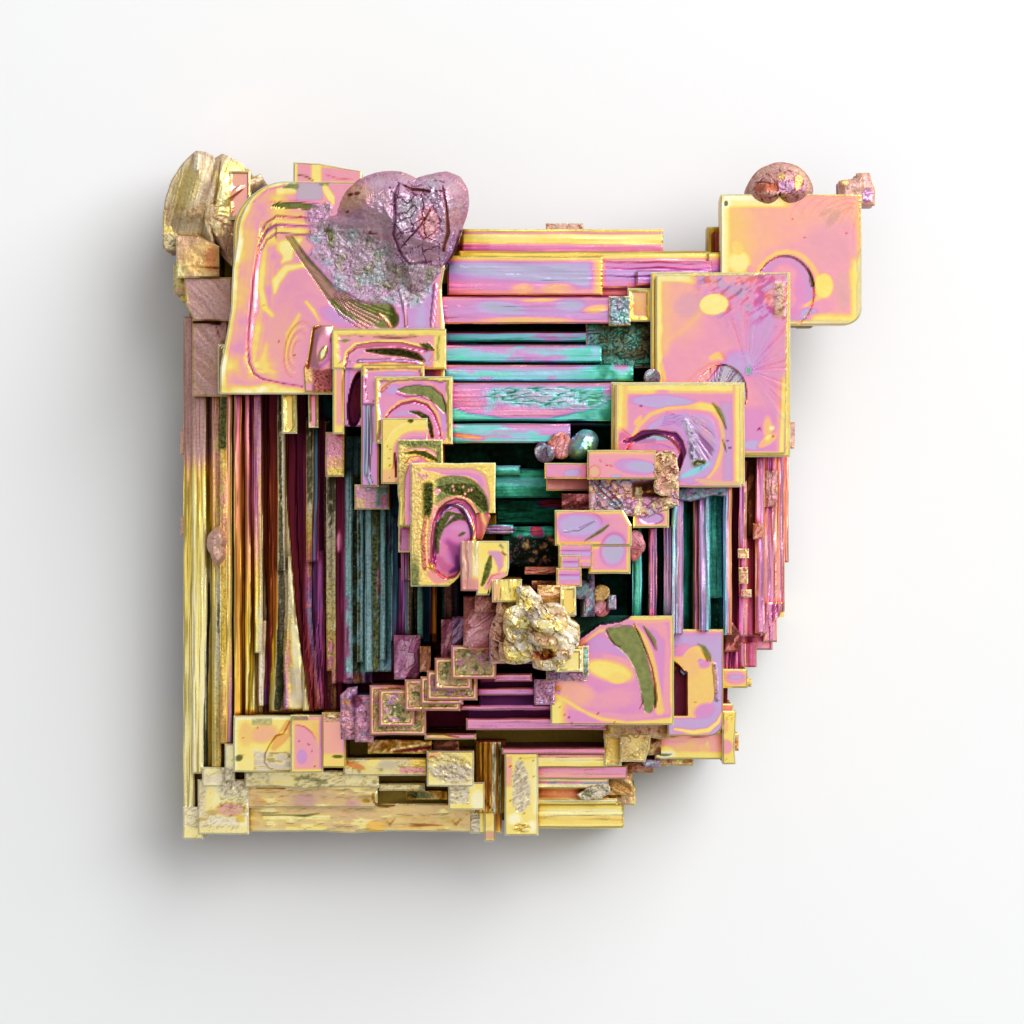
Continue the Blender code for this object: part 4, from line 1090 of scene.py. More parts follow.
def great_look(face):
    x, y, e = face.x, face.y, face.edge
    x1, y0 = face.block[1:3]
    top = (22.05 - y) * 0.45
    left = np.where(x < -12, np.minimum(e, 9), 9)
    q = np.where((y > 15) & (x > -17.0), top, np.minimum(left, top + 0.25))
    q = q + 0.10 * cloud(x, y, 1.6, 61)
    face.film = 0.465 + 0.04 * cloud(x, y, 2.6, 62) + 0.03 * cloud(x, y, 0.7, 63)
    bands = listed(q, [
        (0, .05), (.2, .13), (.42, .33), (.8, .36), (1.25, .40), (1.5, .24), (1.72, .38), (1.95, .22),
            (2.3, .36), (2.6, .43), (2.8, .32), (3.0, .46),
    ], 0.15)[:, 0]
    west = ease(x, -16.4, -17.2) + ease(y, 17.0, 18.2) * ease(x, -13.2, -14.2)
    bands = np.clip(bands + 0.22 * cloud(x, y, 1.3, 60), 0.03, 0.5)
    face.film += (bands - face.film) * np.clip(west, 0, 1) * ease(q, 3.3, 2.6)
    face.rise += -0.10 * ease(q, 1.5, 1.9) * ease(x, -14.0, -18.0) * ease(y, 8.4, 11.0)
    # southern and eastern rims
    south = y - y0 + 0.12 * cloud(x, y, 0.8, 64)
    face.put(ease(south, 0.85, 0.35) * ease(x, -14.2, -15.4),
        film=np.clip(0.14 + 0.2 * cloud(x, y, 0.7, 59), 0.03, 0.4))
    face.put(ease(x1 - x, 0.35, 0.2) * ease(y, 15.4, 15.0), film=0.10)
    # the contour that rounds the corner, a groove darkened with painted shade, and its pale echo
    contour = [(-17.4, 19.0, .03), (-18.0, 18.1, .05), (-18.3, 17.2, .06), (-18.65, 15.0, .06),
        (-18.9, 12.5, .06), (-19.0, 10.6, .06),
               (-18.95, 9.4, .06), (-18.6, 8.6, .05), (-18.0, 8.2, .04), (-16.6, 7.9, .03), (-15.2, 7.7, .02)]
    face.line([(px + .12, py + .03, .12) for px, py, _ in contour], film=0.50, soft=0.14)
    face.line([(px, py, w) for px, py, w in contour], deep=0.7, rise=-0.04, soft=0.08)
    # inner flames of yellow and salmon
    face.spot(-16.6, 10.8, 1.1, 2.2, 5, 0.9, film=0.40)
    face.line([(-17.9, 16.3, .12), (-18.1, 14.6, .22), (-17.8, 13.2, .22), (-17.3, 12.7, .15)], film=0.15,
        soft=0.15)
    face.line([(-15.1, 16.2, .15), (-16.3, 16.0, .25), (-17.0, 15.1, .3), (-17.1, 14.3, .1)], film=0.12,
        soft=0.15)
    face.line([(-15.3, 18.0, .1), (-16.3, 17.4, .55), (-16.2, 16.8, .35), (-16.6, 16.4, .1)], film=0.11,
        soft=0.15)
    face.line([(-14.9, 13.6, .1), (-14.4, 13.0, .12), (-14.0, 12.3, .05)], film=0.14, soft=0.1)
    face.line([(-15.4, 12.7, .12), (-16.1, 11.4, .2), (-16.3, 10.4, .1)], film=0.20, soft=0.15)
    face.line([(-19.4, 9.4, .2), (-19.2, 8.5, .25)], film=0.40, soft=0.2)
    face.line([(-17.7, 10.6, .1), (-18.0, 9.2, .3), (-17.2, 8.6, .1)], film=0.20, soft=0.2)
    # top left: lines that bend with the corner
    for py, film, deep in ((19.55, .45, .45), (19.2, .13, 0), (18.95, .58, .35), (18.62, .14, 0),
            (18.35, .5, .2)):
        face.line([(-18.3, py - 1.6, .02), (-17.7, py - .4, .05), (-17.0, py + .06, .06),
            (-15.2, py - .06, .06), (-13.6, py - .14, .03)], film=film, deep=deep, rise=-0.03 * (deep > 0))
    face.line([(-17.3, 20.3, .02), (-16.9, 20.38, .17), (-15.6, 20.36, .22), (-14.4, 20.2, .2),
        (-14.0, 20.15, .02)], film=-.06, rise=-0.05, deep=.12)
    face.line([(-17.5, 20.62, .02), (-15.6, 20.68, .03), (-13.3, 20.4, .02)], film=0.45, deep=0.5)
    face.line([(-18.6, 20.6, .04), (-17.6, 21.5, .05), (-16.4, 21.75, .08)], film=0.55, deep=0.1)
    face.area(-15.55, -13.75, 20.75, 22.1, 0.25, film=0.70, dull=0.55)
    face.line([(-16.5, 21.6, .03), (-16.0, 21.75, .2), (-15.6, 21.7, .22)], film=0.94)
    face.line([(-13.9, 21.9, .14), (-13.4, 21.9, .1)], film=0.94)
    face.line([(-13.6, 21.6, .22), (-13.15, 20.9, .26), (-13.0, 20.5, .1)], film=0.13)
    face.line([(-14.3, 17.95, .02), (-13.4, 18.0, .04), (-12.4, 18.0, .02)], deep=.5)
    # magenta field below the clot
    face.spot(-13.4, 15.6, 0.8, 1.9, 28, 0.9, film=0.52)
    face.spot(-12.6, 12.6, 1.3, 0.6, -20, 0.8, film=0.60)
    # lilac wedge between two pale ridges
    face.put(ease(y, 15.2, 14.2) * ease(x, -8.7, -8.2) * ease(x, -5.7, -6.2), film=0.62, rise=-0.04)
    face.line([(-6.7, 14.6, .1), (-6.9, 12.0, .3)], film=0.68, soft=0.3)
    face.line([(-8.4, 14.7, .06), (-8.05, 13.4, .10), (-7.9, 12.0, .10)], film=0.46, rise=0.08)
    face.line([(-5.85, 14.8, .10), (-6.0, 13.0, .14), (-6.1, 12.0, .12)], film=0.52, rise=0.06)
    face.line([(-5.45, 15.2, .06), (-5.6, 13.6, .08), (-5.75, 12.0, .06)], film=0.34)
    # the olive leaf and the scratches that run into it
    leaf = stroke(face, [(-13.0, 13.6, .25), (-12.0, 13.2, .55), (-10.8, 12.9, .75), (-9.6, 12.7, .95),
        (-9.0, 12.4, .6)], 0.12)
    leaf *= ease(x, -8.35, -8.5)
    face.put(leaf, film=-.06, rise=-0.05, grain=0.15)
    face.put(leaf * ease(x, -9.3, -8.9) * ease(y, 14.4, 13.4), film=-0.1, deep=0.4)
    for n in range(15):
        t = n / 14
        bend = [(-16.4 + .45 * t, 18.25), (-15.3 + .4 * t, 16.55 + .25 * t),
            (-13.75 + .75 * t, 14.35 + .35 * t), (-12.6 + 1.6 * t, 12.75 + .85 * t),
                (-11.0 + 2.2 * t, 11.6 + 1.2 * t)]
        dark = n % 2 == 0
        w = 0.02 + 0.03 * float(hashed(np.array(n), np.array(5), 7))
        marks = [(px, py, w * k) for (px, py), k in zip(bend, (.3, 1, 1.3, 1.4, 1.0))]
        if 3 < n < 11 or dark:
            face.line(marks, deep=0.25 if dark else 0.0, film=-.06 if dark else 0.44,
                rise=-0.03 if dark else 0.01, soft=0.06)
    face.line([(-12.0, 14.1, .03), (-11.0, 13.8, .10), (-10.4, 13.4, .03)], film=0.5)
    face.line([(-9.9, 12.9, .04), (-9.2, 12.2, .10), (-9.0, 11.9, .08)], film=0.30, rise=0.05)
    # leaf-shaped swirl near the foot
    for k, (film, deep) in enumerate(((.34, .45), (.16, 0), (.36, .35), (.18, .0), (.40, .25))):
        face.arc(-15.45 - .02 * k, 10.3, .95 - .17 * k, 2.0 - .34 * k, 60, 285, .045, -12, film=film,
            deep=deep)
    for px, py in ((-16.8, 10.85), (-15.3, 19.6), (-15.7, 9.9), (-17.9, 13.4)):
        face.spot(px, py, .09, .07, deep=0.6)
    # granular skirt of the clot
    skirt = stroke(face, [(-13.9, 19.6, .9), (-13.3, 17.6, 1.4), (-12.2, 15.9, 1.5), (-10.6, 15.0, 1.6),
        (-9.0, 14.4, 1.2), (-7.3, 14.7, 1.3)], 0.9)
    skirt = ease(skirt + 0.45 * cloud(x, y, 0.7, 66), 0.3, 0.8)
    granular(face, skirt)
    # painted highlight of the rounded lip over thin cream oxide: a near-white line along the very edge
    e2 = ease(e, 0.15, 0.06)
    face.put(e2, film=0.04)


def clot_look(face):
    x, y, e = face.x, face.y, face.edge
    high = ease(y + 0.3 * (x + 11), 17.4, 21.0) + 0.55 * ease(x, -9.6, -8.0)
    high = np.clip(high, 0, 1)
    face.rise += (0.2 + 1.5 * high) * ease(e, -0.2, 3.0 - 1.2 * high) - 0.22
    face.rise += 0.09 * terraces(x, y, 1.0, 71, 3)
    face.film = 0.60 + 0.07 * cloud(x, y, 0.7, 72)
    face.dull += 0.62 + 0.2 * cloud(x, y, 0.6, 73)
    face.deep += 0.06 * cloud(x, y, 1.1, 68)
    face.grain += 0.2
    face.rise += 0.07 * cloud(x, y, 0.28, 65, 2)
    face.put(ease(np.abs(cloud(x, y, .5, 64, 3)), .05, .01) * .6, deep=0.35)
    face.spot(-11.6, 20.9, 1.3, 1.0, 20, .9, film=0.34)
    # granular lower left
    low = ease(y + 0.35 * (x + 11), 19.2, 17.6) + 0.3 * cloud(x, y, 0.5, 74)
    low = ease(low, 0.3, 0.7)
    granular(face, low)
    face.put(disc(face, -13.3, 18.3, .4, .6, 20, .9) * .8, film=-.06, grain=0.6)
    face.put(low * disc(face, -9.4, 14.5, .5, .6, 0, .9) * .6, film=-.06)
    # cracked block
    inside = ease(np.minimum(np.minimum(x + 8.75 + 0.05 * (y - 19), -5.25 - x),
        np.minimum(y - 16.2, 22.0 - y)) + 0.4 * cloud(x, y, 1.1, 63), -0.2, 0.2)
    net = cells(x + 0.3 * cloud(x, y, 0.6, 78), y + 0.3 * cloud(x, y, 0.6, 70), 0.95, 79)
    fine = cells(x, y, 0.5, 80)
    crack = ease(net, 0.09, 0.01)
    face.put(inside, film=0.64, dull=0.5, grain=0.25)
    face.film += inside * 0.10 * cloud(x, y, 1.0, 81)
    face.put(inside * disc(face, -7.3, 20.0, 1.0, .8, 0, .8), film=0.72)
    face.put(inside * disc(face, -6.3, 19.0, .8, 1.2, 0, .8), film=0.46)
    face.rise -= inside * (0.06 + 0.12 * crack)
    face.put(inside * crack * ease(cloud(x, y, 0.8, 69), -0.5, 0.1), deep=0.6)
    face.put(inside * ease(fine, 0.08, 0.02) * 0.6, deep=0.4)
    face.line([(-8.3, 21.9, .04), (-8.7, 21, .07), (-8.6, 19.6, .10), (-8.75, 18.2, .1), (-8.2, 16.8, .08),
        (-7.6, 16.2, .06), (-6.2, 16.4, .06)], deep=0.7, rise=-0.15, soft=0.09)
    face.line([(-8.2, 21.8, .03), (-7.4, 21.4, .12), (-6.2, 21.2, .06)], deep=0.95, film=.4, rise=-0.2)
    face.line([(-5.3, 21.6, .03), (-5.05, 20, .06), (-4.95, 18.4, .12), (-5.3, 17.2, .08)], deep=0.9,
        film=.3, rise=-0.2)
    face.line([(-4.45, 18.6, .10), (-4.8, 17.2, .14), (-5.4, 16.2, .08)], film=0.66, dull=0.1, rise=0.1)
    face.line([(-4.1, 18.6, .05), (-4.6, 17.0, .08), (-5.4, 15.8, .06)], deep=0.85, rise=-0.15)
    face.line([(-8.2, 17.4, .03), (-7.4, 18.2, .05), (-6.8, 18.9, .04), (-6.2, 19.9, .04)], deep=0.95,
        rise=-0.15)
    face.line([(-8.5, 18.2, .05), (-7.6, 18.7, .05), (-6.9, 18.3, .08)], film=0.6, deep=0.7)
    for px, py, r in ((-11.8, 21.1, .12), (-11.3, 21.15, .14), (-12.0, 19.9, .07), (-10.4, 18.4, .10),
            (-9.0, 21.5, .06)):
        face.spot(px, py, r * 1.6, r, deep=0.8, rise=-0.06)
    face.line([(-10.9, 18.45, .02), (-10.4, 18.38, .05), (-9.9, 18.35, .02)], deep=0.8)
    # painted shade along the foot of the high part of the clot
    face.deep += 0.15 * ease(e, 0.9, 0.1) * high


clot_outline = [
    (-8.2, 18.6), (-3.5, 20.6), (-3.6, 21.6), (-4.1, 22.4), (-5.1, 22.8), (-6.2, 22.6), (-7.2, 22.3),
        (-8.4, 22.8), (-9.8, 22.75),
    (-11.1, 22.3), (-12.0, 21.6), (-12.6, 20.7), (-13.0, 19.8), (-14.2, 19.2), (-14.1, 18.2), (-13.5, 17.0),
        (-12.9, 16.1), (-12.0, 15.0),
    (-10.9, 14.2), (-9.9, 14.0), (-9.0, 14.3), (-8.2, 14.7), (-7.3, 14.1), (-6.4, 14.6), (-5.6, 15.4),
        (-4.9, 16.4), (-4.3, 17.7), (-3.9, 19.0),
]


def top_bar_look(face):
    x, y = face.x, face.y
    face.film = 0.44 + 0.02 * cloud(x, y, 0.8, 82)
    face.area(-14.55, -13.85, 21, 24, 0.2, film=0.14)
    face.put(ease(x, -15.45, -15.6) + ease(y, 22.95, 23.1) * ease(x, -14.2, -13.4), film=0.12)
    face.line([(-13.6, 22.55, .03), (-12.8, 22.3, .04), (-11.6, 22.2, .03)], deep=0.5)
    face.line([(-15.5, 22.5, .02), (-14.9, 22.4, .05), (-14.4, 22.1, .02)], deep=0.5, film=-.06)
    face.hem(0.04, 0.14, 0.06)


def bump_look(face):
    x, y = face.x, face.y
    face.film = 0.46 + 0.04 * cloud(x, y, 0.9, 83)
    face.rise += 0.25 * disc(face, -13.6, 10.2, .9, 1.6, 0, 1.0)
    face.spot(-13.7, 10.0, .22, .5, -20, .8, film=0.05, rise=0.08)
    face.line([(-14.0, 9.0, .1), (-13.3, 9.6, .14), (-13.1, 11.0, .1)], film=0.58, deep=.25, soft=.15)
    face.line([(-13.9, 11.95, .05), (-14.4, 11.7, .09), (-14.5, 10.8, .10), (-14.7, 9.6, .10),
        (-14.8, 9.0, .08)], deep=0.9, film=.3, rise=-0.1)
    face.area(-15.3, -14.4, 7.9, 9.0, 0.3, film=0.28, grain=.4)
    face.area(-14.4, -13.0, 7.0, 8.9, 0.3, grain=0.9, deep=0.35, film=0.4)
    face.hem(0.1, 0.09, 0.03)


grow_group("great_plate", [
    ((-20.2, -5.2, 7.15, 22.05, 14.1, 12.8), great_look, dict(step=0.1, corner=((-1, 1), 3.6), layer=0.3,
        sides={"W": [(7.2, -.75), (9, -.72), (11.5, -.25), (13, 0), (16, .15), (18, .45), (20, .55),
            (22, .3)], "E": [(12, 0), (14.5, -.25), (16, 0)]})),
    ((-20.0, -5.5, 7.4, 21.8, 12.95, 11.4), under_sheet, dict(step=0.3, corner=((-1, 1), 3.3), layer=0.3)),
    ((-18.4, -6.2, 8.4, 20.4, 11.6, 10.3), under_sheet, COARSE),
    ((-19.7, -5.4, 7.3, 21.6, 10.5, 9.3), under_sheet, dict(step=0.3, corner=((-1, 1), 3.0), layer=0.3)),
    ((-18.8, -6.6, 8.2, 20.2, 9.5, 7.9), under_sheet, COARSE),
    ((-17.0, -6.9, 9.0, 19.4, 8.1, 4.1), under_sheet, COARSE),
    ((-15.8, -11.0, 21.9, 23.4, 13.9, 11.0), top_bar_look,
        dict(step=0.11, sides={"N": [(-15.8, 0), (-14, -.1), (-11, -.6)]})),
    ((-15.2, -13.0, 7.3, 12.0, 14.4, 13.5), bump_look, dict(step=0.11,
        sides={"W": [(7.3, 0.2), (9.0, 0.1), (9.6, .4), (12, .75)]})),
])
grow_group("great_plate_clot", [
    ((-14.2, -3.5, 14.0, 22.8, 14.3, 12.9), clot_look, dict(step=0.09, outline=clot_outline)),
])

# %% [markdown]
# ### The steps of the north-west arm
#
# Each step is an L-shaped ledge with a bowed hollow in its corner. The bows are old
# edges of the plate: yellow outside, then pink, then a dark leaf of thicker oxide.

# %% Steps of the north-west arm


def step_look(inside, rim, wide, seed, more, **extra):
    base = plate_look(inside, rim, wide, seed=seed, **extra)

    def look(face):
        base(face)
        more(face)

    return look


def first_step(face):
    face.area(-5.95, -5.2, 8.9, 11.3, 0.2, film=0.16)
    face.area(-13, -5.3, 11.3, 11.7, 0.15, film=0.17)
    face.line([(-12.6, 11.2, .12), (-9, 11.22, .10), (-6.4, 11.1, .08)], film=0.38, soft=0.1)
    face.line([(-10.2, 11.15, .02), (-8.7, 11.1, .05), (-7.2, 11.15, .02)], film=-.06, deep=0.6)
    face.line([(-12.6, 10.9, .02), (-12.2, 10.92, .12), (-11.8, 10.95, .02)], film=-.06)
    face.line([(-12.3, 9.0, .10), (-12.1, 10.1, .10), (-11.5, 10.65, .12), (-10, 10.85, .10),
        (-8.2, 10.85, .1), (-6.6, 10.5, .1)], film=0.14)
    face.line([(-12.2, 9.0, .05), (-12.0, 10.0, .05), (-11.4, 10.5, .10), (-10, 10.68, .14),
        (-8.2, 10.6, .16), (-6.5, 10.2, .10)], film=0.50, deep=0.35, rise=-0.06)
    face.line([(-11.9, 9.0, .25), (-11.4, 9.9, .2), (-10.9, 10.2, .1)], film=0.52, soft=0.1)
    face.line([(-10.7, 10.2, .08), (-9.6, 10.15, .22), (-8.2, 10.08, .28), (-7.2, 9.8, .24),
        (-6.7, 9.5, .08)], film=0.99, deep=0.55, grain=0.9, rise=-0.14, soft=0.1)
    face.line([(-11.2, 9.45, .12), (-9, 9.55, .12), (-7.2, 9.4, .12), (-6.8, 9.1, .1)], film=0.63, rise=0.05)
    face.line([(-6.9, 10.7, .04), (-6.4, 10.5, .26), (-6.0, 10.3, .1)], film=0.96, deep=0.3, grain=0.7)
    face.spot(-6.35, 9.6, .35, .6, 10, .8, film=0.62, dull=0.3)
    face.line([(-6.0, 9.0, .02), (-6.2, 9.6, .05), (-5.9, 10.2, .02)], film=0.3, deep=0.4)


def first_bar(face):
    x, y = face.x, face.y
    face.film = 0.40 + 0.03 * cloud(x, y, 1.0, 91)
    face.put(ease(x, -12.75, -12.85), film=0.18)
    face.put(ease(x, -12.45, -12.35), film=0.26)
    face.line([(-12.32, 5.4, .03), (-12.32, 8.0, .06), (-12.15, 10.2, .03)], deep=0.9)
    face.put(ease(y, 5.2, 4.8), film=0.17)
    face.hem(0.05, 0.09, 0.04)


def hollow_floor(face):
    x, y = face.x, face.y
    face.film = 0.53 + 0.04 * cloud(x, y, 0.8, 92)
    face.line([(-12.1, 5, .05), (-12.0, 7, .05), (-11.85, 9.6, .05)], film=0.66, deep=.2)
    # a hole sunk 0.8 mm and painted black as shade
    hole = disc(face, -11.4, 6.75, .5, 1.85, -8, 0.25)
    face.put(hole, deep=1.0, rise=-0.8)
    face.line([(-11.5, 5.6, .02), (-11.45, 7.0, .03), (-11.3, 7.9, .02)], deep=0.7, film=.3, rise=0.05)


def second_step(face):
    y = face.y
    face.put(ease(y, 9.0, 9.12), film=0.22)
    face.line([(-10.8, 8.85, .12), (-7.2, 8.85, .12)], film=0.30, soft=0.1)
    face.line([(-10.2, 8.6, .03), (-9, 8.62, .14), (-7.4, 8.6, .14)], film=0.66, soft=0.08)
    face.put(ease(y, 8.5, 8.35), film=0.50)


def second_bar(face):
    x, y = face.x, face.y
    face.film = 0.58 + 0.05 * cloud(x, y, 0.9, 93)
    face.line([(-10.25, 7.6, .10), (-10.5, 6.2, .2), (-10.5, 4.0, .22), (-10.6, 1.6, .16), (-10.3, .8, .12)],
        film=0.72, rise=0.04)
    face.line([(-10.75, 6.5, .04), (-10.78, 4, .07), (-10.82, 1.5, .05)], film=0.77, deep=.3)
    face.line([(-10.45, 7.0, .02), (-10.5, 3, .04), (-10.55, 1.5, .02)], film=0.66, deep=.6, rise=-0.08)
    face.put(ease(x, -9.95, -9.85) * patch(face, -11, -9, 1.0, 5.2, .2), film=0.3, deep=0.3)
    face.hem(0.08, 0.08, 0.03)


def bar_foot(face):
    x, y = face.x, face.y
    face.film = 0.50 + 0.08 * cloud(x, y, 0.8, 94)
    face.dull += 0.4
    face.grain += 0.4
    face.area(-10.0, -9.0, -.7, .75, .2, film=0.88, dull=0.5, deep=.35)
    face.spot(-9.45, -.3, .22, .5, 0, .7, film=0.48, dull=.2)
    face.area(-11.4, -10.8, -.8, -.1, .2, film=0.24)
    face.line([(-10.9, 1.0, .10), (-10.6, .55, .12), (-10.0, .5, .03)], film=0.74, rise=.05)
    face.hem(0.1, 0.08, 0.03)


def third_step(face):
    x, y = face.x, face.y
    face.put(ease(x, -5.15, -5.05) + ease(y, 8.1, 8.2), film=0.15)
    face.put(ease(x, -9.85, -9.95), film=0.22)
    face.line([(-9.6, 7.7, .15), (-8.9, 8.0, .14), (-7.5, 8.1, .1), (-6.8, 8.2, .08), (-5.8, 7.6, .08),
        (-5.2, 6.9, .06)], film=0.36, soft=.12)
    face.line([(-9.3, 7.7, .1), (-9.6, 7.4, .1), (-9.0, 8.05, .05)], film=0.28, deep=.35, grain=.5)
    face.spot(-8.9, 7.5, .5, .35, 20, .8, film=0.64)
    face.line([(-8.5, 7.45, .06), (-7.9, 7.45, .28), (-7.2, 7.45, .34), (-6.3, 7.3, .42), (-5.7, 6.8, .42),
        (-5.35, 6.3, .28), (-5.2, 5.95, .12)], film=-.06, grain=.2, rise=-.05)
    face.line([(-8.6, 7.2, .02), (-7.9, 7.0, .04), (-7.0, 7.05, .03), (-6.2, 6.7, .04), (-5.7, 6.1, .02)],
        deep=.9)
    face.line([(-6.0, 7.75, .02), (-5.4, 7.2, .03), (-5.15, 6.4, .04), (-5.1, 5.9, .02)], deep=.7)
    face.line([(-9.5, 5.4, .03), (-9.1, 6.1, .05), (-8.4, 6.65, .08), (-7.4, 6.85, .09), (-6.4, 6.55, .10),
        (-5.8, 5.9, .10), (-5.5, 5.2, .08), (-5.4, 4.4, .06)], film=0.27)
    face.line([(-9.5, 5.35, .02), (-9.0, 6.0, .04), (-8.3, 6.5, .06), (-7.4, 6.68, .07), (-6.5, 6.4, .07),
        (-5.95, 5.75, .06), (-5.6, 4.8, .05), (-5.5, 4.1, .03)], film=0.48, deep=.7, rise=-.07)
    face.line([(-9.2, 5.7, .05), (-8.3, 6.2, .2), (-7.4, 6.35, .25), (-6.6, 6.0, .3), (-6.1, 5.4, .25),
        (-5.8, 4.4, .16)], film=0.53, soft=.1)
    face.line([(-8.9, 5.6, .05), (-8.2, 5.85, .22), (-7.4, 5.9, .2)], film=0.63, soft=.1)
    face.line([(-7.7, 5.95, .05), (-7.1, 5.85, .15), (-6.5, 5.5, .2), (-6.2, 4.9, .16), (-6.1, 4.2, .12)],
        film=-.12, deep=.4, grain=.6, rise=-.08)
    face.area(-5.45, -5.05, 4.6, 5.8, .25, film=0.62)
    face.hem(0.04, 0.10, 0.04)


def fourth_step(face):
    x, y = face.x, face.y
    reach = np.hypot(np.minimum(x + 7.3, 0), np.maximum(y - 3.1, 0))
    bands = listed(reach, [(0, .50), (.9, .57), (1.15, .47), (1.42, .35), (1.55, .18), (2.0, .15),
        (2.2, .20)], .07)[:, 0]
    face.film = bands + 0.02 * cloud(x, y, .8, 95)
    face.line([(-8.7, 3.0, .03), (-8.6, 2.2, .07), (-8.6, 1.4, .04)], film=0.48, deep=.8, rise=-.1)
    face.area(-9.7, -8.5, .9, 1.9, .4, film=0.30)
    face.spot(-7.6, 5.3, .22, .14, film=-.06, deep=.4)
    face.hem(0.05, 0.09, 0.04)
    speck = ease(cloud(x, y, .22, 96), .35, .5) * ease(x, -8.2, -9.2) * ease(y, 4.5, 3.5)
    face.put(speck, deep=.7)


def fifth_step(face):
    x, y = face.x, face.y
    face.film = 0.19 + 0.03 * cloud(x, y, .7, 97)
    face.grain += .55
    face.area(-8.5, -5.4, 3.4, 4.1, .3, film=-.06)
    face.put(ease(x, -5.9, -5.7), film=-.06)
    face.area(-8.5, -7.9, .2, 3.6, .2, film=0.20, dull=.15)
    face.line([(-8.0, 3.2, .03), (-7.4, 3.38, .08), (-6.6, 3.35, .12), (-6.0, 3.1, .14), (-5.8, 2.8, .1)],
        film=0.42, grain=.1)
    face.line([(-8.0, 3.0, .05), (-7.3, 3.1, .12), (-6.6, 2.95, .2), (-6.0, 2.65, .14), (-5.8, 2.5, .06)],
        film=1.0, deep=.45, rise=-.08)
    face.line([(-8.0, 2.3, .04), (-7.7, 2.7, .05), (-7.2, 2.8, .07), (-6.6, 2.65, .05)], film=0.44, deep=.45,
        grain=0)
    face.line([(-7.7, -2, .32), (-7.72, 1.2, .28), (-7.5, 2.3, .2), (-7.0, 2.5, .16), (-6.4, 2.4, .05)],
        film=0.52, grain=0, soft=.08)
    face.line([(-7.95, -2, .10), (-7.95, .5, .05)], film=0.38, grain=.0)
    face.put(ease(y, .2, -.1) * ease(x, -8.05, -8.2), film=.16, grain=.05)
    face.put(ease(x, -8.45, -8.6), film=.18, dull=.3)
    face.hem(0.08, 0.09, 0.04)


